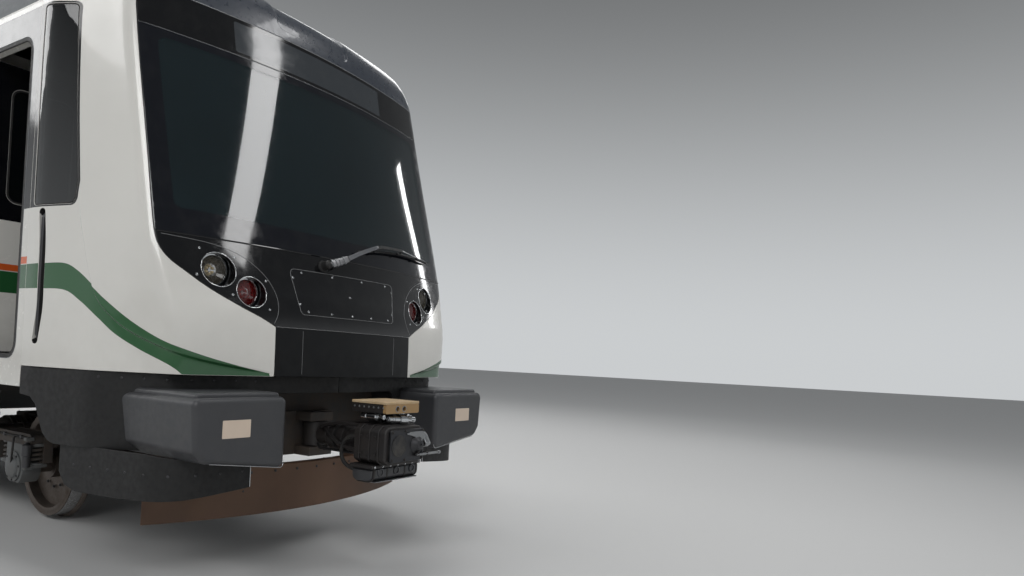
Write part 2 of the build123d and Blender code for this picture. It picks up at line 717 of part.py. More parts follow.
# Roof equipment: air conditioners, brake resistor case and the pantograph
# setback of the front, length, width and top of each case: the cab's and the saloon's
# air conditioners with the brake resistor between them
UNIT_ROWS = (
    (1960, 900, 1500, 4430),
    (8600, 3200, 1900, 4480),
    (12500, 2200, 1700, 4440),
    (16400, 3200, 1900, 4480),
)
units = []
SKIN_CUT = extrude(roof_section(-SEAM, REAR), amount=BODY_LENGTH, dir=(1, 0, 0))
for setback, length, width, top in UNIT_ROWS:
    unit = block(at(setback + length), at(setback), -width / 2, width / 2, 4000, top)
    unit = fillet(unit.edges().filter_by(Axis.X).sort_by(Axis.Z)[-2:], 60)
    units.append(unit - SKIN_CUT)
save("roof_units", *units)

# Pantograph: base on four insulators, two arms and the head, shown folded
PANTOGRAPH_FRONT = 3350
BASE_LENGTH = 2000
BASE_HALF = 480
BASE_CLEARANCE = 155
BASE_HEIGHT = ROOF_CROWN + BASE_CLEARANCE
BEAM = 50
PIVOT_RADIUS = 24
POST_FOOT = ROOF_CROWN - 175
base_x0, base_x1 = at(PANTOGRAPH_FRONT + BASE_LENGTH), at(PANTOGRAPH_FRONT)
base = block(base_x0, base_x1, -BASE_HALF, -BASE_HALF + BEAM, BASE_HEIGHT, BASE_HEIGHT + BEAM)
base += block(base_x0, base_x1, BASE_HALF - BEAM, BASE_HALF, BASE_HEIGHT, BASE_HEIGHT + BEAM)
for x in (base_x0, base_x1 - BEAM):
    base += block(x, x + BEAM, -BASE_HALF, BASE_HALF, BASE_HEIGHT, BASE_HEIGHT + BEAM)
for x in (base_x0 + 150, base_x1 - 150):
    for y in (-BASE_HALF + BEAM / 2, BASE_HALF - BEAM / 2):
        post = upright(x, y, (POST_FOOT + BASE_HEIGHT) / 2, 55, BASE_HEIGHT - POST_FOOT)
        base += post - SKIN_CUT
shaft_x = base_x0 + 170
shaft_height = BASE_HEIGHT + BEAM + 45
LUG_Y = 250
for side in (-1, 1):
    lug_y = side * LUG_Y
    base += block(shaft_x - 40, shaft_x + 40, lug_y - 15, lug_y + 15, BASE_HEIGHT + BEAM, shaft_height + 35)
    base += block(shaft_x - 40, shaft_x + 40, lug_y - 15, lug_y + 15, BASE_HEIGHT, BASE_HEIGHT + BEAM)
base += block(shaft_x - 40, shaft_x + 40, -BASE_HALF, BASE_HALF, BASE_HEIGHT, BASE_HEIGHT + BEAM)
base -= Pos(shaft_x, 0, up(shaft_height)) * Rot(90, 0, 0) * Cylinder(PIVOT_RADIUS + SEAM, 600)
base += block(base_x1 - 260, base_x1 - 200, -BASE_HALF, BASE_HALF, BASE_HEIGHT, BASE_HEIGHT + BEAM)
save("pantograph_base", base)
LOWER_ARM = 1560
UPPER_ARM = 1640
KNEE_RISE = 30
knee = (shaft_x + LOWER_ARM, shaft_height + KNEE_RISE)
lower_arm = Pos(shaft_x, 0, up(shaft_height)) * Rot(90, 0, 0) * Cylinder(PIVOT_RADIUS, 2 * LUG_Y + 60)
lower_arm += tube(
    Vector(shaft_x, 0, up(shaft_height)), Vector(knee[0], 0, up(knee[1])), 42
)
lower_arm += Pos(knee[0], 0, up(knee[1])) * Rot(90, 0, 0) * Cylinder(48, 120)
lower_arm -= Pos(knee[0], 0, up(knee[1])) * Rot(90, 0, 0) * Cylinder(20 + SEAM, 130)
save("pantograph_lower_arm", lower_arm)
head_pivot = (knee[0] - UPPER_ARM, knee[1] + 100)
UPPER_HALF = 150
upper_arm = Pos(knee[0], 0, up(knee[1])) * Rot(90, 0, 0) * Cylinder(20, 2 * UPPER_HALF + 30)
for side in (-1, 1):
    upper_arm += tube(
        Vector(knee[0], side * UPPER_HALF, up(knee[1])),
        Vector(head_pivot[0], side * 330, up(head_pivot[1])),
        20,
    )
upper_arm += Pos(head_pivot[0], 0, up(head_pivot[1])) * Rot(90, 0, 0) * Cylinder(16, 850)
save("pantograph_upper_arm", upper_arm)
HEAD_HALF = 800
STRIP_HEIGHT = head_pivot[1] + 95
head = Part()
for dx in (-190, 190):
    x = head_pivot[0] + dx
    head += block(x - 25, x + 25, -HEAD_HALF + 260, HEAD_HALF - 260, STRIP_HEIGHT - 20, STRIP_HEIGHT + 10)
    for side in (-1, 1):
        horn = [(side * (HEAD_HALF - 260), STRIP_HEIGHT - 20), (side * (HEAD_HALF - 260), STRIP_HEIGHT + 10),
                (side * HEAD_HALF, STRIP_HEIGHT - 120), (side * HEAD_HALF, STRIP_HEIGHT - 145)]
        head += front_prism(horn, x - 12, x + 12)
for side in (-1, 1):
    y = side * 400
    carrier = block(
        head_pivot[0] - 190, head_pivot[0] + 190, y - 12, y + 12, STRIP_HEIGHT - 60, STRIP_HEIGHT - 20
    )
    carrier += block(head_pivot[0] - 40, head_pivot[0] + 40, y - 12, y + 12, head_pivot[1] - 36, STRIP_HEIGHT - 20)
    carrier -= Pos(head_pivot[0], y, up(head_pivot[1])) * Rot(90, 0, 0) * Cylinder(16 + SEAM, 60)
    head += carrier
save("pantograph_head", head)

# Underfloor cases, evenly spaced between the bogies: length, half width and bottom
# of the traction inverter, auxiliary converter, battery, compressor and brake unit
CASE_ROWS = (
    (2600, 1200, 620),
    (2200, 1200, 640),
    (1500, 1150, 660),
    (1100, 700, 690),
    (1300, 1100, 660),
)
BOGIE_REACH = 1900
case_run = BOGIE_CENTRES["front"] - BOGIE_CENTRES["rear"] - 2 * BOGIE_REACH
case_gap = (case_run - sum(row[0] for row in CASE_ROWS)) / (len(CASE_ROWS) - 1)
cases = []
case_front = BOGIE_CENTRES["front"] - BOGIE_REACH
for length, half, low in CASE_ROWS:
    case = block(case_front - length, case_front, -half, half, low, BEARER_BOTTOM)
    cases.append(fillet(case.edges().filter_by(Axis.X).sort_by(Axis.Z)[:2], 50))
    case_front -= length + case_gap
save("underfloor_cases", *cases)

# Bogies
SIDE_BEAM_Y = (900, 1060)
BEAM_LOW = 560
BEAM_TOP = 720
CROSS_BEAM = (190, 330)
SPRING_RADIUS = 250
SPRING_Y = 980
AXLE_BOX_HALF = 140
half_base = WHEELBASE / 2
WHEEL_HALF_WIDTH = 68
HUB_RADIUS = 120
FLANGE_RADIUS = WHEEL_RADIUS + FLANGE_DEPTH
JOURNAL_RADIUS = AXLE_RADIUS - 12
JOURNAL_END = 1085
BOX_Y = (925, 1075)
PIVOT_BLOCK = (160, 150)


def turned(half):
    """A solid turned about the Y axis from an outline in (y, radius)."""
    return revolve(make_face(Polyline(*[(0, y, r) for y, r in half], close=True)), Axis.Y)


def wheelset(x):
    """Axle and two wheels, the wheels seated on the axle, about the axle line at x."""
    inner_face = TRACK_GAUGE / 2 - 38
    outer_face = inner_face + 2 * WHEEL_HALF_WIDTH
    bore = AXLE_RADIUS + SEAM
    seat_end = outer_face - 10
    half_axle = turned([
        (0, 0), (0, AXLE_RADIUS), (seat_end, AXLE_RADIUS), (seat_end, JOURNAL_RADIUS),
        (JOURNAL_END, JOURNAL_RADIUS), (JOURNAL_END, 0),
    ])
    wheel = turned([
        (inner_face - 40, bore), (inner_face - 40, HUB_RADIUS),
        (inner_face + 20, HUB_RADIUS), (inner_face + 45, 350), (inner_face, 365),
        (inner_face, FLANGE_RADIUS - 12), (inner_face + 14, FLANGE_RADIUS), (inner_face + 28, FLANGE_RADIUS - 8),
        (inner_face + 38, WHEEL_RADIUS + 4), (outer_face, WHEEL_RADIUS - 4), (outer_face, 365),
        (inner_face + 70, 350), (inner_face + 60, HUB_RADIUS), (seat_end, HUB_RADIUS), (seat_end, bore),
    ])
    pieces = (half_axle + mirrored(half_axle), wheel, mirrored(wheel))
    return [Pos(x, 0, up(WHEEL_RADIUS)) * piece for piece in pieces]


number = 0
for place, centre in BOGIE_CENTRES.items():
    bogie = Part()
    for side in (-1, 1):
        y0, y1 = (side * y for y in SIDE_BEAM_Y)
        profile = [
            (centre - half_base - 260, BEAM_TOP - 20), (centre - half_base - 260, BEAM_LOW + 60),
            (centre - half_base + 260, BEAM_LOW + 60), (centre - half_base + 420, BEAM_LOW - 120),
            (centre + half_base - 420, BEAM_LOW - 120), (centre + half_base - 260, BEAM_LOW + 60),
            (centre + half_base + 260, BEAM_LOW + 60), (centre + half_base + 260, BEAM_TOP - 20),
            (centre + half_base - 300, BEAM_TOP - 20), (centre + half_base - 450, BEAM_LOW + 60),
            (centre - half_base + 450, BEAM_LOW + 60), (centre - half_base + 300, BEAM_TOP - 20),
        ]
        beam = side_prism(profile, min(y0, y1), max(y0, y1))
        bogie += beam
    for end in (-1, 1):
        bogie += block(
            centre + end * CROSS_BEAM[0], centre + end * CROSS_BEAM[1],
            -SIDE_BEAM_Y[0], SIDE_BEAM_Y[0], BEAM_LOW - 120, BEAM_LOW + 60,
        )
    pivot_half, pivot_depth = PIVOT_BLOCK
    bogie += block(
        centre - CROSS_BEAM[0], centre + CROSS_BEAM[0], -pivot_half, pivot_half,
        BEAM_LOW + 60 - pivot_depth, BEAM_LOW + 60,
    )
    bogie -= upright(centre, 0, BEAM_LOW, PIVOT_PIN_RADIUS + SEAM, 2 * pivot_depth + 60)
    springs = []
    for side in (-1, 1):
        spring = Pos(centre, side * SPRING_Y, up((BEAM_LOW + 60 + BOLSTER_BOTTOM - SEAM) / 2)) * Cylinder(
            SPRING_RADIUS, BOLSTER_BOTTOM - SEAM - BEAM_LOW - 60
        )
        springs.append(spring)
    save(f"air_springs_{place}", *springs)
    motors = []
    for end in (-1, 1):
        axle_x = centre + end * half_base
        number += 1
        save(f"wheelset_{number}", *wheelset(axle_x))
        for side in (-1, 1):
            y0, y1 = (side * y for y in BOX_Y)
            box = block(
                axle_x - AXLE_BOX_HALF, axle_x + AXLE_BOX_HALF, y0, y1, WHEEL_RADIUS - 130, BEAM_LOW + 60
            )
            box -= Pos(axle_x, side * 1000, up(WHEEL_RADIUS)) * Rot(90, 0, 0) * Cylinder(
                JOURNAL_RADIUS + SEAM, 400
            )
            bogie += box
        motor_x = axle_x - end * 480
        motor = Pos(motor_x, end * 150, up(WHEEL_RADIUS + 30)) * Rot(90, 0, 0) * Cylinder(205, 620)
        motor += block(
            motor_x, centre + end * CROSS_BEAM[1], end * 150 - 200, end * 150 + 200,
            BEAM_LOW - 60, BEAM_LOW + 40,
        )
        motors.append(motor)
    save(f"bogie_frame_{place}", bogie)
    save(f"traction_motors_{place}", *motors)

# Front coupler, swinging on its pin behind the bumpers
COUPLER_HEIGHT = 840
COUPLER_PIN = 560
pin_x = at(COUPLER_PIN)
KNUCKLE_RADIUS = 85
fork_reach = KNUCKLE_RADIUS + 5
coupler_front = COUPLED_LENGTH / 2
COUPLER_PIN_RADIUS = 35
FORK_HALF = 160
FORK_ARMS = ((-160, -95), (95, 160))
front_mount += block(
    at(CROSS_HEAD), pin_x - fork_reach, -230, 230, COUPLER_HEIGHT - FORK_HALF, COUPLER_HEIGHT + FORK_HALF
)
front_mount += block(
    at(cross_rear), at(CROSS_HEAD), -230, 230, COUPLER_HEIGHT - FORK_HALF, CROSS_HEAD_BOTTOM
)
for low, high in FORK_ARMS:
    front_mount += block(
        pin_x - fork_reach, pin_x + 70, -110, 110, COUPLER_HEIGHT + low, COUPLER_HEIGHT + high
    )
front_mount -= upright(pin_x, 0, COUPLER_HEIGHT, COUPLER_PIN_RADIUS + SEAM, 400)
save("front_coupler_mount", front_mount)
coupler = upright(pin_x, 0, COUPLER_HEIGHT, COUPLER_PIN_RADIUS, 2 * FORK_HALF + 10)
coupler += upright(pin_x, 0, COUPLER_HEIGHT, KNUCKLE_RADIUS, 180)
coupler += Pos((pin_x + at(-60)) / 2 + 30, 0, up(COUPLER_HEIGHT)) * Rot(0, 90, 0) * Cylinder(
    70, at(-60) - pin_x - 60
)
HEAD_BACK = at(-40)
coupler += block(HEAD_BACK, coupler_front - 60, -210, 190, COUPLER_HEIGHT - 130, COUPLER_HEIGHT + 130)
coupler += side_prism(
    [(coupler_front - 60, COUPLER_HEIGHT - 20), (coupler_front, COUPLER_HEIGHT - 5),
     (coupler_front, COUPLER_HEIGHT + 5), (coupler_front - 60, COUPLER_HEIGHT + 60)],
    120, 190,
)
save("coupler_head", coupler)
electric = block(at(20), at(-300), -180, 180, 1050, 1135)
electric += block(at(-40), at(-160), -60, 60, COUPLER_HEIGHT + 130, 1050)
save("coupler_electric_box", electric)
lower_case = block(at(-60), at(-260), -230, 250, 590, COUPLER_HEIGHT - 130 - SEAM)
save("coupler_lower_case", lower_case)

# Rear drawbar, swinging on its pin under the gangway
DRAWBAR_PIN = 330
rear_pin_x = REAR + DRAWBAR_PIN
rear_mount += block(
    rear_pin_x + fork_reach, REAR + 560, -230, 230, COUPLER_HEIGHT - FORK_HALF, CENTRE_SILL_BOTTOM
)
for low, high in FORK_ARMS:
    rear_mount += block(
        rear_pin_x - 70, rear_pin_x + fork_reach, -110, 110, COUPLER_HEIGHT + low, COUPLER_HEIGHT + high
    )
rear_mount -= upright(rear_pin_x, 0, COUPLER_HEIGHT, COUPLER_PIN_RADIUS + SEAM, 400)
save("rear_drawbar_mount", rear_mount)
drawbar_end = -COUPLED_LENGTH / 2
drawbar = upright(rear_pin_x, 0, COUPLER_HEIGHT, COUPLER_PIN_RADIUS, 2 * FORK_HALF + 10)
drawbar += upright(rear_pin_x, 0, COUPLER_HEIGHT, KNUCKLE_RADIUS, 180)
drawbar += Pos((rear_pin_x + drawbar_end) / 2 - 30, 0, up(COUPLER_HEIGHT)) * Rot(0, 90, 0) * Cylinder(
    70, rear_pin_x - drawbar_end - 60
)
drawbar += Pos(drawbar_end + 20, 0, up(COUPLER_HEIGHT)) * Rot(0, 90, 0) * Cylinder(150, 40)
DRAWBAR_BOLTS = (8, 120, 11)
bolt_count, bolt_circle, bolt_radius = DRAWBAR_BOLTS
for i in range(bolt_count):
    angle = radians(360 * (i + 0.5) / bolt_count)
    hole = Pos(drawbar_end + 20, bolt_circle * cos(angle), up(COUPLER_HEIGHT) + bolt_circle * sin(angle))
    drawbar -= hole * Rot(0, 90, 0) * Cylinder(bolt_radius, 60)
save("rear_drawbar", drawbar)
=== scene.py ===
"""Dressed model of one metro car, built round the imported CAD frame.

Places are in millimetres: X forward, Y to the car's left, and heights over the rail top.
Shape.piece() turns them into Blender's metres, where zero is the tip of the wheel flanges.
"""

from math import atan2, ceil, cos, pi, radians, sin

import bpy
import numpy as np
from mathutils import Matrix, Vector
from mathutils.geometry import delaunay_2d_cdt


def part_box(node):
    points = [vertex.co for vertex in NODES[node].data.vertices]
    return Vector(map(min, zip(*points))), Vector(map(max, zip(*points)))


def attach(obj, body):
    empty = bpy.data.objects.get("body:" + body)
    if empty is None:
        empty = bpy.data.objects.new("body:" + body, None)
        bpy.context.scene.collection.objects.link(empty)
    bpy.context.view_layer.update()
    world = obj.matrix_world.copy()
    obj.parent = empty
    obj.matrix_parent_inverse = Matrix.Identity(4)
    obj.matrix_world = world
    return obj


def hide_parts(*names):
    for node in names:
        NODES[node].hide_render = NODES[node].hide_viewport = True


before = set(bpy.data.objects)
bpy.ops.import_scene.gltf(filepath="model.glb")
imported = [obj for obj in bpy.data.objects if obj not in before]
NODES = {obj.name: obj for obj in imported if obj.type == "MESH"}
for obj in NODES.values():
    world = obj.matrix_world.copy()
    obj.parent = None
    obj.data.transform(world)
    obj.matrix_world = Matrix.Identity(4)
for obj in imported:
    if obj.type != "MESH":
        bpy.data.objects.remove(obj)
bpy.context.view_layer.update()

FLANGE_DEPTH = 28


def span(node):
    """Lowest and highest X, Y and height of a CAD node, in millimetres."""
    low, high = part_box(node)
    x, y, z = ((low[i] * 1000, high[i] * 1000) for i in range(3))
    return x, y, (z[0] - FLANGE_DEPTH, z[1] - FLANGE_DEPTH)


NOSE = span("bumper_covers")[0][1]
REAR = span("rear_end_wall")[0][0]
HALF_WIDTH = span("side_wall_left")[1][1]


def at(setback):
    """X of a place that far behind the front faces of the bumper covers."""
    return NOSE - setback


# Mesh kit
SMOOTH_ANGLE = 50


def unit(v):
    v = np.asarray(v, float)
    return v / np.linalg.norm(v)


def corner_normals(verts, faces):
    """Normal of each face corner: the faces round it that turn by less than SMOOTH_ANGLE, by area."""
    sizes = np.array([len(f) for f in faces])
    flat = np.concatenate([np.asarray(f) for f in faces])
    face_of = np.repeat(np.arange(len(faces)), sizes)
    ends = np.cumsum(sizes)
    following = np.arange(len(flat)) + 1
    following[ends - 1] = ends - sizes
    a = verts[flat]
    b = verts[flat[following]]
    area = np.zeros((len(faces), 3))
    np.add.at(area, face_of, np.cross(a, b))
    length = np.linalg.norm(area, axis=1)
    length[length == 0] = 1
    normal = area / length[:, None]
    order = np.argsort(flat, kind="stable")
    sorted_vert = flat[order]
    sorted_face = face_of[order]
    corner_normal = normal[sorted_face]
    weighted = area[sorted_face]
    total = weighted.copy()
    limit = cos(radians(SMOOTH_ANGLE))
    shift = 1
    while True:
        same = sorted_vert[shift:] == sorted_vert[:-shift]
        if not same.any():
            break
        near = same & ((corner_normal[shift:] * corner_normal[:-shift]).sum(1) > limit)
        total[:-shift][near] += weighted[shift:][near]
        total[shift:][near] += weighted[:-shift][near]
        shift += 1
    size = np.linalg.norm(total, axis=1)
    bad = size < 1e-9
    total[bad] = corner_normal[bad]
    size[bad] = 1
    result = np.empty_like(total)
    result[order] = total / size[:, None]
    return result


class Shape:
    """Verts, faces, material slots and, where given, normals of one piece."""

    def __init__(self):
        self.verts = []
        self.faces = []
        self.slots = []
        self.normals = []
        self.count = 0

    def add(self, verts, faces, slot=0, normals=None):
        verts = np.asarray(verts, float).reshape(-1, 3)
        base = self.count
        for face in faces:
            self.faces.append([i + base for i in face])
            self.slots.append(slot)
            self.normals.append(None if normals is None else [normals[i] for i in face])
        self.verts.append(verts)
        self.count += len(verts)
        return self

    def grid(self, points, slot=0, closed=False, flip=False):
        """Quads over a table of points; closed joins the last column to the first."""
        points = np.asarray(points, float)
        rows, columns = points.shape[:2]
        faces = []
        for i in range(rows - 1):
            for j in range(columns if closed else columns - 1):
                k = (j + 1) % columns
                face = (i * columns + j, i * columns + k, (i + 1) * columns + k, (i + 1) * columns + j)
                faces.append(face[::-1] if flip else face)
        return self.add(points, faces, slot)

    def rings(self, rings, slot=0, caps=True):
        """A skin over closed rings of equal size, with flat ends."""
        rings = np.asarray(rings, float)
        count = rings.shape[1]
        self.grid(rings, slot, closed=True)
        base = self.count - rings.shape[0] * count
        if caps:
            self.faces.append([base + j for j in range(count)][::-1])
            last = base + (rings.shape[0] - 1) * count
            self.faces.append([last + j for j in range(count)])
            self.slots.extend([slot, slot])
            self.normals.extend([None, None])
        return self

    def box(self, x0, x1, y0, y1, h0, h1, bevel=4.0, slot=0):
        """A box with chamfered edges."""
        low = np.array([min(x0, x1), min(y0, y1), min(h0, h1)], float)
        high = np.array([max(x0, x1), max(y0, y1), max(h0, h1)], float)
        half = (high - low) / 2
        cut = min(bevel, *(half * 0.9))
        verts = []
        for sx in (-1, 1):
            for sy in (-1, 1):
                for sz in (-1, 1):
                    sign = np.array([sx, sy, sz])
                    for axis in range(3):
                        corner = half - cut
                        corner[axis] = half[axis]
                        verts.append(sign * corner + low + half)
        return self.add(verts, BOX_FACES, slot)

    def prism(self, outline, axis, start, end, bevel=3.0, slot=0):
        """An outline in the two other axes, drawn along X, Y or height, with chamfered ends."""
        outline = np.asarray(outline, float)
        inner = inset(outline, bevel)
        step = min(bevel, abs(end - start) * 0.45)
        if end < start:
            step = -step
        rings = []
        for place, ring in ((start, inner), (start + step, outline), (end - step, outline), (end, inner)):
            points = np.zeros((len(ring), 3))
            others = [i for i in range(3) if i != axis]
            points[:, others[0]] = ring[:, 0]
            points[:, others[1]] = ring[:, 1]
            points[:, axis] = place
            rings.append(points)
        rings = np.array(rings)
        turned = signed_area(outline) > 0
        if axis == 1:
            turned = not turned
        if end < start:
            turned = not turned
        if not turned:
            rings = rings[:, ::-1]
        return self.rings(rings, slot)

    def tube(self, path, radius, sides=12, slot=0, caps=True):
        """A round bar along a path; radius may be one number or one for each point."""
        path = np.asarray(path, float)
        radii = np.broadcast_to(np.asarray(radius, float), (len(path),))
        along = np.gradient(path, axis=0)
        along /= np.linalg.norm(along, axis=1)[:, None]
        side = np.cross(along[0], (0, 0, 1))
        if np.linalg.norm(side) < 0.1:
            side = np.cross(along[0], (0, 1, 0))
        side = unit(side)
        rings = []
        for point, direction, r in zip(path, along, radii):
            side = unit(side - direction * np.dot(side, direction))
            other = np.cross(direction, side)
            turns = np.arange(sides) * 2 * pi / sides
            rings.append([point + r * (cos(a) * side + sin(a) * other) for a in turns])
        return self.rings(rings, slot, caps)

    def lathe(self, profile, centre, axis, sides=32, slot=0, closed=True):
        """A profile of (along, radius) turned about an axis through centre; closed caps its ends."""
        axis = unit(axis)
        side = np.cross(axis, (0, 0, 1))
        if np.linalg.norm(side) < 0.1:
            side = np.cross(axis, (0, 1, 0))
        side = unit(side)
        other = np.cross(axis, side)
        turns = np.arange(sides) * 2 * pi / sides
        circle = np.array([cos(a) * side + sin(a) * other for a in turns])
        centre = np.asarray(centre, float)
        rings = [centre + axis * along + circle * max(r, 0.01) for along, r in profile]
        return self.rings(rings, slot, closed)

    def bolt(self, centre, axis, size, slot=0):
        """A bolt head on a washer, standing out along axis."""
        self.lathe([(0, size * 0.95), (size * 0.14, size * 0.95), (size * 0.18, size * 0.86)], centre, axis,
                   14, slot)
        head = [(size * 0.18, size * 0.62), (size * 0.6, size * 0.62), (size * 0.7, size * 0.5)]
        return self.lathe(head, centre, axis, 6, slot)

    def mirrored(self):
        """Adds the mirror image across the car's centre plane."""
        verts = np.concatenate(self.verts)
        faces = [list(face) for face in self.faces]
        slots = list(self.slots)
        normals = list(self.normals)
        base = self.count
        self.verts.append(verts * (1, -1, 1))
        self.count += len(verts)
        for face, slot, normal in zip(faces, slots, normals):
            self.faces.append([i + base for i in face][::-1])
            self.slots.append(slot)
            self.normals.append(None if normal is None else [n * (1, -1, 1) for n in normal][::-1])
        return self

    def join(self, other, mirror=False):
        """Adds a copy of another shape, or of its mirror image across the centre plane."""
        verts = np.concatenate(other.verts)
        if mirror:
            verts = verts * (1, -1, 1)
        base = self.count
        self.verts.append(verts)
        self.count += len(verts)
        for face, slot, normal in zip(other.faces, other.slots, other.normals):
            face = [i + base for i in face]
            if mirror and normal is not None:
                normal = [n * (1, -1, 1) for n in normal]
            if mirror:
                face = face[::-1]
                normal = None if normal is None else normal[::-1]
            self.faces.append(face)
            self.slots.append(slot)
            self.normals.append(normal)
        return self

    def turned(self, centre, axis, degrees):
        """Turns the whole shape about an axis through centre."""
        turn = np.array(Matrix.Rotation(radians(degrees), 3, Vector(axis)))
        centre = np.asarray(centre, float)
        self.verts = [(v - centre) @ turn.T + centre for v in self.verts]
        self.normals = [None if n is None else [turn @ m for m in n] for n in self.normals]
        return self

    def piece(self, name, body, materials, replaces=(), slot=None):
        """Makes the Blender object, in metres, and lets it ride on a CAD body."""
        verts = np.concatenate(self.verts)
        corners = corner_normals(verts, self.faces)
        start = 0
        for face, given in zip(self.faces, self.normals):
            if given is not None:
                corners[start : start + len(face)] = given
            start += len(face)
        place = (verts + (0, 0, FLANGE_DEPTH)) / 1000
        mesh = bpy.data.meshes.new(name)
        mesh.from_pydata(place.tolist(), [], self.faces)
        for m in materials:
            mesh.materials.append(m)
        mesh.polygons.foreach_set("material_index", self.slots)
        mesh.polygons.foreach_set("use_smooth", [True] * len(self.faces))
        mesh.update()
        mesh.normals_split_custom_set(corners.tolist())
        obj = bpy.data.objects.new(name, mesh)
        bpy.context.scene.collection.objects.link(obj)
        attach(obj, body)
        if replaces:
            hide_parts(*replaces)
        return obj


def box_faces():
    """Faces of the chamfered box, with three corners on each of its eight tips."""
    def index(sx, sy, sz, axis):
        return ((sx > 0) * 4 + (sy > 0) * 2 + (sz > 0)) * 3 + axis

    half = np.array([1.0, 1.0, 1.0])
    places = {}
    for sx in (-1, 1):
        for sy in (-1, 1):
            for sz in (-1, 1):
                for axis in range(3):
                    corner = half * 0.8
                    corner[axis] = 1.0
                    places[index(sx, sy, sz, axis)] = np.array([sx, sy, sz]) * corner
    faces = []
    for axis in range(3):
        a, b = [i for i in range(3) if i != axis]
        for sign in (-1, 1):
            face = []
            for sa, sb in ((-1, -1), (1, -1), (1, 1), (-1, 1)):
                s = [0, 0, 0]
                s[axis], s[a], s[b] = sign, sa, sb
                face.append(index(*s, axis))
            faces.append(face)
    for axis in range(3):
        a, b = [i for i in range(3) if i != axis]
        for sa in (-1, 1):
            for sb in (-1, 1):
                low, high = [0, 0, 0], [0, 0, 0]
                low[axis], low[a], low[b] = -1, sa, sb
                high[axis], high[a], high[b] = 1, sa, sb
                faces.append([index(*low, a), index(*high, a), index(*high, b), index(*low, b)])
    for sx in (-1, 1):
        for sy in (-1, 1):
            for sz in (-1, 1):
                faces.append([index(sx, sy, sz, axis) for axis in range(3)])
    facing = []
    for face in faces:
        p = [places[i] for i in face]
        outward = np.dot(np.cross(p[1] - p[0], p[2] - p[0]), sum(p)) > 0
        facing.append(tuple(face) if outward else tuple(face[::-1]))
    return facing


BOX_FACES = box_faces()


def signed_area(outline):
    x, y = np.asarray(outline, float).T
    return 0.5 * np.sum(x * np.roll(y, -1) - np.roll(x, -1) * y)


def circle(x, y, radius, steps=48):
    turns = np.arange(steps) * 2 * pi / steps
    return np.array([(x + radius * cos(a), y + radius * sin(a)) for a in turns])


def closed(loop):
    """The loop with its first point once more at its end."""
    return np.concatenate([loop, loop[:1]])


def distinct(outline):
    """A closed outline without points that repeat the one before."""
    outline = np.asarray(outline, float)
    return outline[np.linalg.norm(outline - np.roll(outline, 1, axis=0), axis=1) > 0.05]


def inset(outline, distance):
    """A closed outline drawn in by a distance, with its corners mitred."""
    outline = np.asarray(outline, float)
    if signed_area(outline) < 0:
        return inset(outline[::-1], distance)[::-1]
    before = outline - np.roll(outline, 1, axis=0)
    after = np.roll(outline, -1, axis=0) - outline
    before /= np.linalg.norm(before, axis=1)[:, None]
    after /= np.linalg.norm(after, axis=1)[:, None]
    n0 = np.stack([-before[:, 1], before[:, 0]], 1)
    n1 = np.stack([-after[:, 1], after[:, 0]], 1)
    middle = n0 + n1
    scale = np.maximum((middle * middle).sum(1), 0.6)
    return outline + middle * (2 * distance / scale)[:, None]


def rounded(corners, radius, steps=5):
    """A closed outline with its corners rounded; radius may be one number or one for each corner."""
    corners = [np.asarray(c, float) for c in corners]
    radii = radius if hasattr(radius, "__len__") else [radius] * len(corners)
    points = []
    for i, (corner, r) in enumerate(zip(corners, radii)):
        before = unit(corners[i - 1] - corner)
        after = unit(corners[(i + 1) % len(corners)] - corner)
        half = np.arccos(np.clip(np.dot(before, after), -1, 1)) / 2
        if r < 0.1 or half > 1.5:
            points.append(corner)
            continue
        reach = r / np.tan(half)
        middle = corner + unit(before + after) * r / np.sin(half)
        start = corner + before * reach - middle
        end = corner + after * reach - middle
        turn = atan2(start[0] * end[1] - start[1] * end[0], np.dot(start, end))
        for k in range(steps + 1):
            a = turn * k / steps
            points.append(middle + (start[0] * cos(a) - start[1] * sin(a),
                                    start[0] * sin(a) + start[1] * cos(a)))
    return np.array(points)


def rectangle(x0, x1, y0, y1, radius, steps=5):
    return rounded([(x0, y0), (x1, y0), (x1, y1), (x0, y1)], radius, steps)


def sampled(points, step, closed=False):
    """The same line with points at most a step apart."""
    points = [np.asarray(p, float) for p in points]
    if closed:
        points.append(points[0])
    result = [points[0]]
    for a, b in zip(points, points[1:]):
        count = max(1, ceil(np.linalg.norm(b - a) / step))
        result.extend(a + (b - a) * k / count for k in range(1, count + 1))
    if closed:
        result.pop()
    return np.array(result)


def run_along(line):
    """Distance of each point of a line from its start, along the line."""
    return np.concatenate([[0], np.cumsum(np.linalg.norm(np.diff(line, axis=0), axis=1))])


def curve_through(points, step=20):
    """A smooth line through points, by cubic pieces with centred slopes."""
    points = np.asarray(points, float)
    slopes = np.gradient(points, axis=0)
    result = []
    for i in range(len(points) - 1):
        a, b = points[i], points[i + 1]
        count = max(2, ceil(np.linalg.norm(b - a) / step))
        for k in range(count):
            u = k / count
            result.append(
                (2 * u**3 - 3 * u**2 + 1) * a + (u**3 - 2 * u**2 + u) * slopes[i]
                + (3 * u**2 - 2 * u**3) * b + (u**3 - u**2) * slopes[i + 1]
            )
    result.append(points[-1])
    return np.array(result)


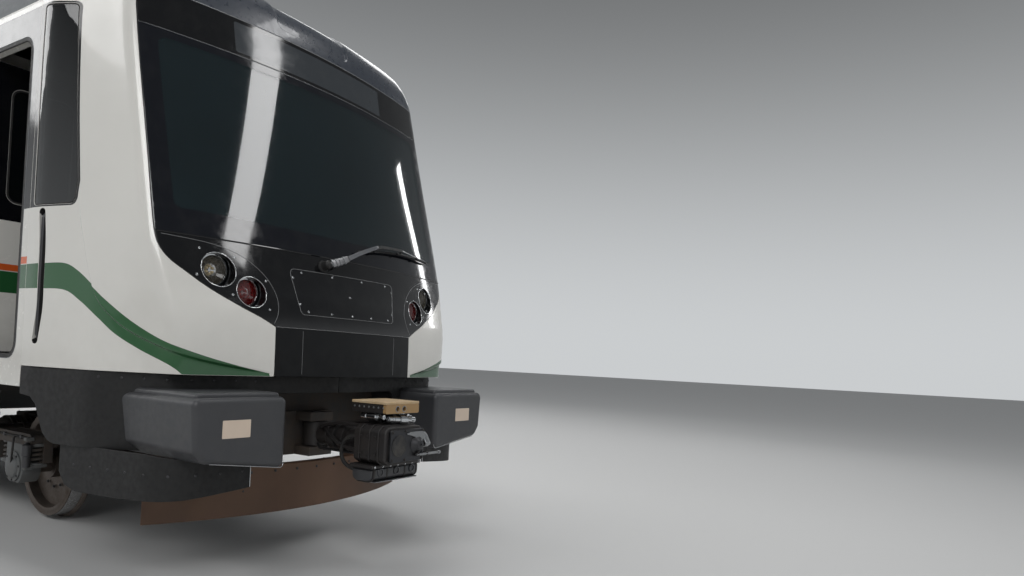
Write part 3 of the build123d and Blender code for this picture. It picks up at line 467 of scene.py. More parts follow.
# Materials
class Graph:
    """A short way to write a material's nodes."""

    def __init__(self, name):
        self.material = bpy.data.materials.new(name)
        self.material.use_nodes = True
        self.tree = self.material.node_tree
        self.tree.nodes.clear()
        self.shader = self.tree.nodes.new("ShaderNodeBsdfPrincipled")
        output = self.tree.nodes.new("ShaderNodeOutputMaterial")
        self.tree.links.new(self.shader.outputs[0], output.inputs[0])
        self.coordinates = self.tree.nodes.new("ShaderNodeTexCoord").outputs["Object"]
        self.axes = None

    def put(self, kind, **sockets):
        node = self.tree.nodes.new(kind)
        for name, value in sockets.items():
            self.join(value, node.inputs[name.replace("_", " ")])
        return node

    def join(self, value, socket):
        if isinstance(value, bpy.types.NodeSocket):
            self.tree.links.new(value, socket)
        else:
            socket.default_value = value

    def stretched(self, x=1.0, y=1.0, z=1.0):
        node = self.put("ShaderNodeMapping", Vector=self.coordinates)
        node.inputs["Scale"].default_value = (x, y, z)
        return node.outputs[0]

    def axis(self, name):
        if self.axes is None:
            self.axes = self.put("ShaderNodeSeparateXYZ", Vector=self.coordinates)
        return self.axes.outputs[name]

    def noise(self, scale, detail=3.0, roughness=0.5, vector=None):
        node = self.put("ShaderNodeTexNoise", Scale=scale, Detail=detail, Roughness=roughness,
                        Vector=self.coordinates if vector is None else vector)
        return node.outputs[0]

    def cells(self, scale):
        return self.put("ShaderNodeTexVoronoi", Scale=scale, Vector=self.coordinates).outputs["Distance"]

    def maths(self, operation, a, b=0.0, clamp=False):
        node = self.tree.nodes.new("ShaderNodeMath")
        node.operation = operation
        node.use_clamp = clamp
        self.join(a, node.inputs[0])
        self.join(b, node.inputs[1])
        return node.outputs[0]

    def spread(self, value, start, end, low=0.0, high=1.0):
        node = self.tree.nodes.new("ShaderNodeMapRange")
        self.join(value, node.inputs["Value"])
        node.inputs["From Min"].default_value = start
        node.inputs["From Max"].default_value = end
        node.inputs["To Min"].default_value = low
        node.inputs["To Max"].default_value = high
        return node.outputs[0]

    def mix(self, share, a, b):
        node = self.tree.nodes.new("ShaderNodeMix")
        node.data_type = "RGBA"
        self.join(share, node.inputs[0])
        for value, index in ((a, 6), (b, 7)):
            self.join(value if isinstance(value, bpy.types.NodeSocket) else linear(value), node.inputs[index])
        return node.outputs[2]

    def varied(self, colour, scale, detail, dark, light):
        """The colour drifting between a darker and a paler shade of it."""
        return self.mix(self.noise(scale, detail), shaded(colour, dark), shaded(colour, light))

    def bump(self, height, strength, distance):
        node = self.put("ShaderNodeBump", Height=height, Strength=strength, Distance=distance)
        previous = self.shader.inputs["Normal"]
        if previous.is_linked:
            self.tree.links.new(previous.links[0].from_socket, node.inputs["Normal"])
        self.tree.links.new(node.outputs[0], previous)

    def set(self, **sockets):
        for name, value in sockets.items():
            socket = self.shader.inputs[name.replace("_", " ")]
            if name == "Base_Color" and not isinstance(value, bpy.types.NodeSocket):
                value = linear(value)
            self.join(value, socket)
        return self


def linear(colour):
    """An sRGB colour in steps of 255, as linear light."""
    if len(colour) == 4 and max(colour) <= 1:
        return colour
    result = []
    for c in colour[:3]:
        c /= 255
        result.append(c / 12.92 if c <= 0.04045 else ((c + 0.055) / 1.055) ** 2.4)
    return (*result, 1.0)


def shaded(colour, factor):
    return tuple(min(255, c * factor) for c in colour)


def paint(name, colour, rough=0.25, coat=0.5, dirt=0.15, dust=(120, 112, 100)):
    """Gloss paint: slow colour drift, dust that gathers low down, and orange peel."""
    g = Graph(name)
    base = g.varied(colour, 1.7, 4, 0.965, 1.03)
    low = g.spread(g.axis("Z"), 2.2, 0.9)
    patch = g.spread(g.noise(6.0, 6, 0.65), 0.35, 0.75)
    share = g.maths("MULTIPLY", g.maths("MULTIPLY", low, patch), dirt)
    base = g.mix(share, base, dust)
    worn = g.spread(g.noise(23.0, 5, 0.6), 0.3, 0.7, rough * 0.75, rough * 1.35)
    g.set(Base_Color=base, Roughness=worn, Coat_Weight=coat, Coat_Roughness=0.06)
    g.bump(g.noise(260.0, 2), 0.036, 0.0008)
    return g.material


def gloss_black(name, colour=(10, 11, 14), rough=0.05, dust=0.03, coat=0.2, shine=0.5):
    g = Graph(name)
    film = g.spread(g.noise(9.0, 6, 0.6), 0.45, 0.8)
    base = g.mix(g.maths("MULTIPLY", film, dust), colour, (120, 118, 112))
    worn = g.spread(g.noise(17.0, 6, 0.6), 0.35, 0.75, rough, rough + 0.09)
    g.set(Base_Color=base, Roughness=worn, Coat_Weight=coat, Coat_Roughness=0.03, Specular_IOR_Level=shine)
    g.bump(g.noise(3.5, 2), 0.04, 0.004)
    return g.material


def glass(name, colour, solid, rough=0.02):
    g = Graph(name)
    base = g.varied(colour, 2.2, 3, 0.85, 1.15)
    smear = g.spread(g.noise(11.0, 6, 0.6), 0.4, 0.8, rough, rough + 0.05)
    g.set(Base_Color=base, Roughness=smear, IOR=1.52, Alpha=solid, Coat_Weight=0.7, Coat_Roughness=0.02)
    g.bump(g.noise(2.6, 2), 0.03, 0.004)
    return g.material


def plastic(name, colour, rough=0.55, grain=900.0, depth=0.12, dust=0.2):
    """Moulded plastic with a fine grain and dust in its hollows."""
    g = Graph(name)
    base = g.varied(colour, 3.0, 5, 0.88, 1.12)
    film = g.spread(g.noise(14.0, 8, 0.7), 0.4, 0.8)
    base = g.mix(g.maths("MULTIPLY", film, dust), base, (126, 118, 106))
    worn = g.spread(g.noise(31.0, 4), 0.3, 0.7, rough * 0.85, min(1.0, rough * 1.2))
    g.set(Base_Color=base, Roughness=worn)
    g.bump(g.cells(grain), depth, 0.0006)
    g.bump(g.noise(40.0, 3), 0.05, 0.001)
    return g.material


def rubber(name, colour=(24, 24, 25), rough=0.75):
    g = Graph(name)
    film = g.spread(g.noise(16.0, 8, 0.7), 0.4, 0.8)
    base = g.mix(g.maths("MULTIPLY", film, 0.3), g.varied(colour, 5.0, 4, 0.8, 1.25), (110, 104, 96))
    g.set(Base_Color=base, Roughness=g.spread(g.noise(60.0, 3), 0.3, 0.7, rough - 0.12, rough + 0.12))
    g.bump(g.noise(420.0, 3), 0.12, 0.0006)
    return g.material


def metal(name, colour, rough=0.3, brushed=(1, 1, 30), grime=0.15, grime_tone=(58, 50, 42), depth=0.05):
    """Bare metal with brushing along one way, smudges and grime."""
    g = Graph(name)
    lines = g.noise(60.0, 4, 0.6, g.stretched(*brushed))
    base = g.mix(lines, shaded(colour, 0.86), shaded(colour, 1.1))
    patch = g.spread(g.noise(7.0, 7, 0.68), 0.42, 0.78)
    share = g.maths("MULTIPLY", patch, grime)
    base = g.mix(share, base, grime_tone)
    worn = g.maths("ADD", g.spread(lines, 0.2, 0.8, rough * 0.7, rough * 1.4),
                   g.maths("MULTIPLY", share, 0.5), clamp=True)
    g.set(Base_Color=base, Roughness=worn, Metallic=g.spread(share, 0.0, 1.0, 1.0, 0.25))
    g.bump(lines, depth, 0.0005)
    return g.material


def chassis(name, colour, rough=0.6, grime=0.55, tone=(94, 74, 54)):
    """Painted steel under the floor: brake dust and road film over a rough casting."""
    g = Graph(name)
    base = g.varied(colour, 4.0, 5, 0.85, 1.15)
    film = g.spread(g.noise(5.0, 9, 0.7), 0.3, 0.72)
    fine = g.spread(g.noise(70.0, 6, 0.7), 0.35, 0.75)
    share = g.maths("MULTIPLY",
                    g.maths("ADD", g.maths("MULTIPLY", film, 0.75), g.maths("MULTIPLY", fine, 0.35),
                            clamp=True), grime)
    base = g.mix(share, base, tone)
    g.set(Base_Color=base, Roughness=g.spread(share, 0.0, 1.0, rough, 0.92))
    g.bump(g.noise(180.0, 5, 0.65), 0.18, 0.0012)
    g.bump(g.noise(24.0, 3), 0.08, 0.002)
    return g.material


def roof_coating(name, colour=(118, 121, 123)):
    """Grey slip-proof roof coating: sprayed grit, soot from the line and rain marks."""
    g = Graph(name)
    base = g.varied(colour, 1.4, 5, 0.9, 1.08)
    streak = g.spread(g.noise(9.0, 7, 0.65, g.stretched(0.8, 3, 3)), 0.42, 0.85)
    base = g.mix(g.maths("MULTIPLY", streak, 0.22), base, (78, 75, 72))
    g.set(Base_Color=base, Roughness=g.spread(g.noise(50.0, 3), 0.3, 0.7, 0.6, 0.8))
    g.bump(g.cells(420.0), 0.25, 0.0012)
    return g.material


def vinyl(name, colour=(88, 92, 97)):
    """Floor covering with fine dark and pale chips, and wear along the aisle."""
    g = Graph(name)
    chips = g.cells(240.0)
    base = g.mix(g.spread(chips, 0.12, 0.2), (150, 152, 154), colour)
    darker = g.spread(g.noise(310.0, 2), 0.62, 0.68)
    base = g.mix(darker, base, (48, 50, 54))
    wear = g.spread(g.noise(3.0, 6, 0.6), 0.45, 0.7)
    base = g.mix(g.maths("MULTIPLY", wear, 0.25), base, (108, 102, 94))
    g.set(Base_Color=base, Roughness=g.spread(wear, 0, 1, 0.42, 0.62))
    g.bump(g.noise(500.0, 2), 0.08, 0.0005)
    return g.material


def fabric(name, colour=(44, 62, 96), second=(58, 80, 120)):
    """Flat-woven seat cover: warp and weft, with a little fluff."""
    g = Graph(name)
    warp = g.maths("SINE", g.maths("MULTIPLY", g.axis("X"), 2600.0))
    weft = g.maths("SINE", g.maths("MULTIPLY", g.maths("ADD", g.axis("Y"), g.axis("Z")), 2600.0))
    weave = g.maths("MULTIPLY", warp, weft)
    base = g.mix(g.spread(weave, -1, 1), colour, second)
    base = g.mix(g.spread(g.noise(90.0, 4), 0.4, 0.7, 0.0, 0.35), base, shaded(second, 1.25))
    g.set(Base_Color=base, Roughness=0.9, Sheen_Weight=0.4, Sheen_Roughness=0.45)
    g.bump(weave, 0.35, 0.0008)
    g.bump(g.noise(160.0, 4), 0.2, 0.001)
    return g.material


# Tones of the livery, and the finishes made from them
WHITE_TONE = (218, 216, 210)
GREEN_TONE = (38, 88, 50)
ORANGE_TONE = (206, 92, 40)

WHITE = paint("white_shell", WHITE_TONE, rough=0.2, dirt=0.12)
GREEN = paint("green_stripe", GREEN_TONE, rough=0.2, dirt=0.1, dust=(96, 100, 84))
ORANGE = paint("orange_stripe", ORANGE_TONE, rough=0.2, dirt=0.1)
BLACK = gloss_black("black_gloss")
LOWER_BLACK = gloss_black("lower_panel_black", (8, 9, 11), 0.1, 0.02, 0.0, 0.22)
BAND_BLACK = gloss_black("black_window_band", (14, 15, 18), 0.06)
BLACK_LINE = plastic("black_seal_line", (20, 20, 21), 0.5, dust=0.1)
SCREEN = glass("tinted_screen", (20, 36, 40), 0.6)
DISPLAY = gloss_black("display_window", (52, 56, 60), 0.08)
FRIT = gloss_black("frit_border", (9, 12, 20), 0.04, 0.03)
SIDE_GLASS = glass("tinted_window", (12, 15, 17), 0.78)
FAIRING = paint("fairing_blue_grey", (44, 50, 60), rough=0.3, coat=0.35, dirt=0.05)
# Pale strips in the panel seams; the one along the panel foot is a painted highlight
SEAM_LINE = plastic("pale_seams_and_highlight", (128, 129, 130), 0.45, dust=0.08)
CHROME = metal("chrome_trim", (214, 216, 218), 0.1, grime=0.05)
STEEL = metal("brushed_steel", (158, 160, 162), 0.3)
BRIGHT_STEEL = metal("bright_steel", (186, 188, 190), 0.2, grime=0.1)
DARK_STEEL = metal("dark_steel", (84, 84, 86), 0.42, grime=0.35)
WHEEL_STEEL = metal("wheel_steel", (112, 104, 98), 0.45, (1, 1, 1), 0.75, (70, 54, 42), 0.12)
TREAD = metal("rolled_tread", (176, 176, 176), 0.22, (1, 1, 1), 0.12)
MOULDED = plastic("moulded_grey", (58, 59, 62), 0.4, 1100.0, 0.1, 0.05)
BLACK_PLASTIC = plastic("black_plastic", (20, 20, 21), 0.5, dust=0.05)
SKIRT_BLACK = plastic("skirt_black", (12, 12, 13), 0.56, 700.0, 0.06, 0.02)
RUBBER = rubber("seal_rubber")
TAN = paint("tan_coupler_paint", (162, 130, 86), 0.38, 0.25, 0.3, (88, 74, 58))
BROWN = chassis("brown_deflector", (92, 66, 50), 0.5, 0.5, (104, 84, 66))
CHASSIS = chassis("chassis_paint", (50, 52, 54))
MOTOR = chassis("motor_casing", (60, 64, 66), 0.6, 0.65)
CASE = chassis("underfloor_case", (92, 96, 98), 0.5, 0.4, (96, 84, 70))
ROOF = roof_coating("roof_coating")
UNIT = paint("roof_unit_paint", (156, 158, 160), 0.42, 0.15, 0.1)
UNIT_DARK = plastic("grille_dark", (34, 35, 37), 0.6, dust=0.3)
INSULATOR = plastic("insulator_silicone", (118, 44, 34), 0.4, 300.0, 0.06, 0.15)
CARBON = plastic("contact_carbon", (38, 38, 40), 0.5, 500.0, 0.1, 0.1)
COPPER = metal("copper_braid", (176, 112, 76), 0.4, (30, 30, 1), 0.25, (60, 80, 60))
LINING = plastic("lining_panel", (206, 205, 198), 0.38, 500.0, 0.05, 0.05)
DESK = plastic("desk_top", (56, 60, 66), 0.42, 600.0, 0.1, 0.06)
FLOOR = vinyl("floor_vinyl")
SEAT_SHELL = plastic("seat_shell", (196, 198, 200), 0.35, 400.0, 0.05, 0.05)
DRIVER_FABRIC = fabric("driver_fabric", (30, 31, 34), (46, 48, 52))
POLE = metal("pole_steel", (198, 200, 202), 0.16, (1, 1, 12), 0.04)
REFLECTOR = metal("lamp_reflector", (226, 228, 230), 0.06, (1, 1, 1), 0.0)
LENS = glass("clear_lens", (120, 112, 96), 0.12, 0.01)
RED_LENS = glass("red_lens", (110, 10, 10), 0.35, 0.03)
LED = plastic("warm_led", (206, 186, 146), 0.3, 300.0, 0.04, 0.0)
RED_LED = plastic("red_led", (150, 26, 22), 0.3, 300.0, 0.04, 0.0)
BELLOWS = rubber("bellows_rubber", (62, 64, 68), 0.8)


# Nose skin
# Level sections of the cab: height, setback of the middle, half width where the front arc ends,
# setback and half width where the pillar ends, half width of the body
NOSE_ROWS = (
    (1180, 195, 1232, 899, 1504, HALF_WIDTH),
    (1275, 197, 1240, 900, 1505, HALF_WIDTH),
    (1600, 205, 1270, 905, 1510, HALF_WIDTH),
    (1820, 255, 1310, 920, 1512, HALF_WIDTH),
    (2135, 335, 1349, 950, 1515, HALF_WIDTH),
    (3480, 690, 1334, 1190, 1505, HALF_WIDTH),
    (3650, 728, 1322, 1240, 1500, HALF_WIDTH),
    (3820, 762, 1290, 1275, 1478, 1580),
    (3980, 830, 1180, 1310, 1370, 1480),
    (4080, 950, 1010, 1340, 1215, 1320),
    (4140, 1120, 820, 1370, 1010, 1120),
)
FRONT_RADIUS = 5000
TURN_X, TURN_Y = 120, 78
TAPER_START = 1420
MASK_REAR = 1540
CREASE = 2135
EAVES = 4140
EAVES_HALF = 1120
CROWN = 4175
CAP = 400
ROUNDING = 84
MASK_BOTTOM = 1275


def smooth_columns(heights, rows):
    """The section values at many heights, on a curve that never overshoots its rows."""
    rows = np.asarray(rows, float)
    x = rows[:, 0]
    step = np.diff(x)
    result = []
    for column in rows[:, 1:].T:
        slope = np.diff(column) / step
        tangent = np.zeros(len(x))
        tangent[0], tangent[-1] = slope[0], slope[-1]
        for i in range(1, len(x) - 1):
            if slope[i - 1] * slope[i] > 0:
                w0, w1 = 2 * step[i] + step[i - 1], step[i] + 2 * step[i - 1]
                tangent[i] = (w0 + w1) / (w0 / slope[i - 1] + w1 / slope[i])
        k = np.clip(np.searchsorted(x, heights, side="right") - 1, 0, len(step) - 1)
        u = (heights - x[k]) / step[k]
        h = step[k]
        result.append(
            (2 * u**3 - 3 * u**2 + 1) * column[k] + (u**3 - 2 * u**2 + u) * h * tangent[k]
            + (3 * u**2 - 2 * u**3) * column[k + 1] + (u**3 - u**2) * h * tangent[k + 1]
        )
    return np.array(result).T


def roof_height(y):
    """Height of the rounded roof over a half width."""
    return CROWN - (CROWN - EAVES) * (y / EAVES_HALF) ** 2


class Skin:
    """The cab's outer surface over t, the girth from the middle, and v, the height.

    Above the eaves v runs on over the roof to the mask's rear edge.
    """

    STEP = 5.0
    GIRTH = 2700.0

    def __init__(self):
        self.t = np.arange(0, self.GIRTH, self.STEP)
        self.v = np.arange(NOSE_ROWS[0][0], EAVES + CAP + 1, self.STEP)
        heights = self.v[self.v <= EAVES]
        values = smooth_columns(heights, NOSE_ROWS)
        table = [self.row(h, row) for h, row in zip(heights, values)]
        edge = table[-1]
        for v in self.v[self.v > EAVES]:
            r = (v - EAVES) / CAP
            s = edge[:, 0] + (MASK_REAR - edge[:, 0]) * r
            y = np.minimum(edge[:, 1], EAVES_HALF)
            h = EAVES + (roof_height(y) - EAVES) * (1 - (1 - r) ** 2)
            table.append(np.stack([s, y, h], 1))
        self.table = np.array(table)
        place = self.table * (-1, 1, 1) + (NOSE, 0, 0)
        by_v = np.gradient(place, self.STEP, axis=0)
        by_t = np.gradient(place, self.STEP, axis=1)
        normal = np.cross(by_t, by_v)
        length = np.linalg.norm(normal, axis=2, keepdims=True)
        normal = normal / np.maximum(length, 1e-9)
        flat = length[..., 0] < 1e-6
        normal[flat] = (0, 0, 1)
        self.normals = normal

    def row(self, height, values):
        middle, front_half, pillar_setback, pillar_half, body_half = values
        arc_y = np.linspace(0, front_half, 60)
        arc_s = middle + arc_y**2 / (2 * FRONT_RADIUS)
        end = arc_s[-1]
        rest = np.array([
            (end + TURN_X * 0.36, front_half + TURN_Y * 0.66),
            (end + TURN_X, front_half + TURN_Y),
            (pillar_setback, pillar_half),
            (TAPER_START, body_half),
            (MASK_REAR + 900, body_half),
        ])
        s = np.concatenate([arc_s, rest[:, 0]])
        y = np.concatenate([arc_y, rest[:, 1]])
        girth = np.concatenate([[0], np.cumsum(np.hypot(np.diff(s), np.diff(y)))])
        fine = np.arange(0, girth[-1], 4.0)
        s, y = np.interp(fine, girth, s), np.interp(fine, girth, y)
        width = int(ROUNDING / 4) | 1
        kernel = np.ones(width) / width
        for _ in range(2):
            pad = width // 2
            wide_s = np.concatenate([s[pad:0:-1], s, s[-1] + np.arange(1, pad + 1) * 4.0])
            wide_y = np.concatenate([-y[pad:0:-1], y, np.full(pad, y[-1])])
            s, y = np.convolve(wide_s, kernel, "valid"), np.convolve(wide_y, kernel, "valid")
        girth = np.concatenate([[0], np.cumsum(np.hypot(np.diff(s), np.diff(y)))])
        return np.stack([np.interp(self.t, girth, s), np.interp(self.t, girth, y),
                         np.full(len(self.t), height)], 1)

    def look_up(self, table, t, v):
        t, v = np.abs(np.asarray(t, float)), np.asarray(v, float)
        i = np.clip((v - self.v[0]) / self.STEP, 0, len(self.v) - 1.001)
        j = np.clip(t / self.STEP, 0, len(self.t) - 1.001)
        i0, j0 = i.astype(int), j.astype(int)
        fi, fj = (i - i0)[..., None], (j - j0)[..., None]
        low = table[i0, j0] * (1 - fj) + table[i0, j0 + 1] * fj
        high = table[i0 + 1, j0] * (1 - fj) + table[i0 + 1, j0 + 1] * fj
        return low * (1 - fi) + high * fi

    def sides(self, values, t):
        return values * np.stack([np.ones_like(t), np.where(t < 0, -1.0, 1.0), np.ones_like(t)], -1)

    def place(self, t, v):
        t = np.asarray(t, float)
        return self.sides(self.look_up(self.table, t, v) * (-1, 1, 1) + (NOSE, 0, 0), t)

    def normal(self, t, v):
        t = np.asarray(t, float)
        n = self.look_up(self.normals, t, v)
        return self.sides(n / np.linalg.norm(n, axis=-1, keepdims=True), t)

    def section(self, v):
        return self.look_up(self.table, self.t, np.full(len(self.t), float(v)))

    def t_at_width(self, y, v):
        """Girth where the skin is that far from the middle plane."""
        return float(np.interp(abs(y), self.section(v)[:, 1], self.t)) * (-1 if y < 0 else 1)

    def t_at_setback(self, setback, v):
        return float(np.interp(setback, self.section(v)[:, 0], self.t))

    def v_at_setback(self, setback, t):
        """Place on the roof part, above the eaves, that lies at a setback."""
        start = self.look_up(self.table, np.array([t]), np.array([float(EAVES)]))[0, 0]
        return EAVES + CAP * (setback - start) / (MASK_REAR - start)


SKIN = Skin()


class Displaced:
    """The skin moved along its normals by depth(t, v)."""

    REACH = 2.0

    def __init__(self, depth):
        self.depth = depth

    def place(self, t, v):
        t, v = np.asarray(t, float), np.asarray(v, float)
        return SKIN.place(t, v) + SKIN.normal(t, v) * self.depth(t, v)[..., None]

    def normal(self, t, v):
        t, v = np.asarray(t, float), np.asarray(v, float)
        e = self.REACH
        by_t = self.place(t + e, v) - self.place(t - e, v)
        by_v = self.place(t, v + e) - self.place(t, v - e)
        n = np.cross(by_t, by_v)
        size = np.linalg.norm(n, axis=-1, keepdims=True)
        plain = SKIN.normal(t, v)
        return np.where(size > 1e-6, n / np.maximum(size, 1e-9), plain)


def inside(points, loop):
    """Which points lie inside a closed loop, by counting crossings."""
    x, y = points[:, 0], points[:, 1]
    result = np.zeros(len(points), bool)
    for (x0, y0), (x1, y1) in zip(loop, np.roll(loop, -1, axis=0)):
        if y0 == y1:
            continue
        crosses = (y0 > y) != (y1 > y)
        result ^= crosses & (x < (x1 - x0) * (y - y0) / (y1 - y0) + x0)
    return result


def distance_to(points, line, closed=False):
    """Distance of points from a line of segments."""
    best = np.full(len(points), 1e9)
    line = np.asarray(line, float)
    ends = np.roll(line, -1, axis=0) if closed else line[1:]
    for a, b in zip(line, ends):
        d = b - a
        u = np.clip(((points - a) @ d) / max(float(d @ d), 1e-9), 0, 1)
        best = np.minimum(best, np.linalg.norm(points - a - u[:, None] * d, axis=1))
    return best


def triangles(loops, lines, spacing):
    """Points and triangles that fill the first loop less the others, along the lines too."""
    outer = loops[0]
    low, high = outer.min(0), outer.max(0)
    rows = np.arange(low[1] + spacing * 0.5, high[1], spacing * 0.87)
    lattice = []
    for k, row in enumerate(rows):
        xs = np.arange(low[0] + spacing * (0.25 + 0.5 * (k % 2)), high[0], spacing)
        lattice.append(np.stack([xs, np.full(len(xs), row)], 1))
    lattice = np.concatenate(lattice) if lattice else np.zeros((0, 2))
    keep = inside(lattice, outer)
    for loop in loops[1:]:
        keep &= ~inside(lattice, loop)
    lattice = lattice[keep]
    for loop in loops:
        lattice = lattice[distance_to(lattice, loop, closed=True) > spacing * 0.45]
    for line in lines:
        if len(lattice):
            lattice = lattice[distance_to(lattice, line) > spacing * 0.45]
    points, edges = [], []
    for loop in loops:
        base = len(points)
        points.extend(loop)
        edges.extend((base + i, base + (i + 1) % len(loop)) for i in range(len(loop)))
    for line in lines:
        base = len(points)
        points.extend(line)
        edges.extend((base + i, base + i + 1) for i in range(len(line) - 1))
    points.extend(lattice)
    made = delaunay_2d_cdt([Vector(p) for p in points], edges, [], 0, 0.01)
    verts = np.array([tuple(p) for p in made[0]])
    faces = np.array([tuple(f) for f in made[2]])
    middle = verts[faces].mean(1)
    keep = inside(middle, outer)
    for loop in loops[1:]:
        keep &= ~inside(middle, loop)
    a, b, c = (verts[faces[:, i]] for i in range(3))
    area = (b[:, 0] - a[:, 0]) * (c[:, 1] - a[:, 1]) - (b[:, 1] - a[:, 1]) * (c[:, 0] - a[:, 0])
    faces[area < 0] = faces[area < 0][:, ::-1]
    keep &= np.abs(area) > 0.01
    return verts, faces[keep]


def skin_shape(loops, thickness, surface=SKIN, lines=(), spacing=45, rim=2.5, lift=0.0, slot_of=None, slot=0,
               edge_slot=None, step=16):
    """A shell on the skin: an outline and holes in (t, v), with rounded rims, a back and its own normals."""
    loops = [distinct(loop) for loop in loops]
    loops = [loop if (signed_area(loop) > 0) == (i == 0) else loop[::-1] for i, loop in enumerate(loops)]
    loops = [sampled(loop, step, closed=True) for loop in loops]
    drawn = [inset_any(loop, rim) for loop in loops]
    verts, faces = triangles(drawn, [sampled(line, step) for line in lines], spacing)
    t, v = verts.T
    normal = surface.normal(t, v)
    front = surface.place(t, v) + normal * lift
    shape = Shape()
    slots = np.full(len(faces), slot) if slot_of is None else slot_of(verts[faces].mean(1))
    for number in np.unique(slots):
        shape_faces = faces[slots == number]
        used, local = np.unique(shape_faces, return_inverse=True)
        shape.add(front[used], local.reshape(-1, 3).tolist(), int(number), normal[used])
    back = front - normal * thickness
    shape.add(back, faces[:, ::-1].tolist(), slot if edge_slot is None else edge_slot, -normal)
    for loop, inner in zip(loops, drawn):
        n = surface.normal(*loop.T)
        place = surface.place(*loop.T) + n * lift
        inner_place = surface.place(*inner.T) + surface.normal(*inner.T) * lift
        outward = place - inner_place
        outward /= np.maximum(np.linalg.norm(outward, axis=1, keepdims=True), 1e-6)
        rings = [
            (inner_place, n),
            (inner_place + outward * rim * 0.71 - n * rim * 0.29, n * 0.71 + outward * 0.71),
            (inner_place + outward * rim - n * rim, outward),
            (inner_place + outward * rim - n * thickness, outward),
        ]
        count = len(loop)
        rim_verts = np.concatenate([r[0] for r in rings])
        rim_normals = np.concatenate([r[1] for r in rings])
        rim_faces = []
        for i in range(len(rings) - 1):
            for j in range(count):
                k = (j + 1) % count
                rim_faces.append((i * count + j, (i + 1) * count + j, (i + 1) * count + k, i * count + k))
        shape.add(rim_verts, rim_faces, slot if edge_slot is None else edge_slot, rim_normals)
    return shape


def inset_any(loop, distance):
    """A loop drawn in towards the piece: an outline shrinks, and a hole, which turns the other way, grows."""
    if signed_area(loop) > 0:
        return inset(loop, distance)
    return inset(loop[::-1], -distance)[::-1]


def shrunk(loop, gap):
    return inset(distinct(loop), gap)


def both_sides(line):
    """A closed outline from its right-hand edge, bottom to top, and the mirror image of that."""
    line = np.asarray(line, float)
    return np.concatenate([line * (-1, 1), line[::-1]])


def on_front(points):
    """(half width, height) places as (t, v)."""
    return np.array([(SKIN.t_at_width(y, h), h) for y, h in points])


def on_side(points):
    """(setback, height) places as (t, v) on the side with positive t."""
    return np.array([(SKIN.t_at_setback(s, h), h) for s, h in points])


def circle_on_front(y, height, radius):
    return on_front(circle(y, height, radius))


# Outlines on the nose as (half width, height): where the black front meets the white mask
LOWER_HALF = 664
PANEL_FOOT = 1602
EDGE_POINTS = ((LOWER_HALF, PANEL_FOOT), (762, 1654), (904, 1719), (1084, 1814), (1222, 1909), (1302, 1972),
               (1346, 2045), (1361, 2135), (1362, 2300), (1357, 2560), (1352, 2900), (1348, 3240),
               (1344, 3480), (1338, 3640), (1318, 3760))
FAIRING_POINTS = ((1318, 3760), (1268, 3850), (1165, 3985), (1010, 4080), (830, EAVES))
FAIRING_REAR = 1400
SCREEN_TOP = 3480
DISPLAY_TOP = 3760
GAP = 3.0


def edge_line(low, high):
    """The black front's edge between two heights, as (t, v)."""
    smooth = curve_through(EDGE_POINTS, 24)
    heights = smooth[:, 1]
    width = np.interp([low, high], heights, smooth[:, 0])
    within = smooth[(heights > low + 1) & (heights < high - 1)]
    return on_front([(width[0], low), *within, (width[1], high)])


def fairing_line():
    side = on_front(curve_through(FAIRING_POINTS, 24))
    t_edge = side[-1][0]
    rear = [(t_edge, SKIN.v_at_setback(s, t_edge)) for s in (1300, 1370)]
    corner = [(t_edge - 12, SKIN.v_at_setback(1394, t_edge - 12)),
              (t_edge - 45, SKIN.v_at_setback(FAIRING_REAR, t_edge - 45))]
    across = [(t, SKIN.v_at_setback(FAIRING_REAR, t)) for t in np.arange(t_edge - 90, 0, -45)]
    return np.concatenate([side, rear, corner, across])


# Fold ridge of the mask, from the foot of the front up to the quarter window: (setback, half width, height)
RIDGE_POINTS = (
    (248, 698, 1306), (333, 1152, 1381), (533, 1356, 1475), (723, 1439, 1575), (863, 1492, 1704),
    (932, 1514, 1855), (982, 1522, 2010), (1038, 1529, 2198), (1083, 1528, 2452),
)
RIDGE_DEPTH = 17.0
RIDGE_FLANK = 20.0
RIDGE_FADE = 430.0
# Edges of the green stripe from the side to the front, as (setback, half width, height)
STRIPE_TOP = ((MASK_REAR, 1600, 1927), (1350, 1590, 1930), (1172, 1555, 1930), (1060, 1535, 1887),
              (928, 1513, 1800), (810, 1472, 1705), (660, 1414, 1595), (469, 1333, 1489), (334, 1153, 1405),
              (281, 905, 1339), (249, 700, 1297))
STRIPE_BOTTOM = (
    (MASK_REAR, 1599, 1771), (1350, 1585, 1770), (1155, 1553, 1762), (1024, 1530, 1701), (868, 1495, 1594),
    (754, 1448, 1501), (595, 1379, 1412), (406, 1298, 1326), (350, 1240, MASK_BOTTOM),
)
# Quarter window and the black field round it, in (setback, height)
QUARTER_OUTLINE = ((1108, 2302), (1490, 2302), (1490, 3600), (1244, 3600), (1194, 3234), (1145, 2839),
                   (1090, 2440))
QUARTER_RADII = (45, 30, 30, 40, 0, 0, 0)
BLACK_OUTLINE = ((MASK_REAR, 2290), (1090, 2290), (1072, 2440), (1127, 2839), (1176, 3234), (1224, 3612),
                 (MASK_REAR, 3612))
BLACK_RADII = (0, 58, 0, 0, 0, 52, 0)
# Setbacks of the groove's two sides, then its lowest and highest height
GRAB_GROOVE = (1362, 1418, 1420, 2280)
SHELL = 30.0


def near_skin(points):
    """(setback, half width, height) places brought onto the skin, as (t, v)."""
    result = []
    for s, y, h in points:
        section = SKIN.section(h)
        k = int(np.argmin(np.hypot(section[:, 0] - s, section[:, 1] - y)))
        result.append((SKIN.t[k], h))
    return np.array(result)


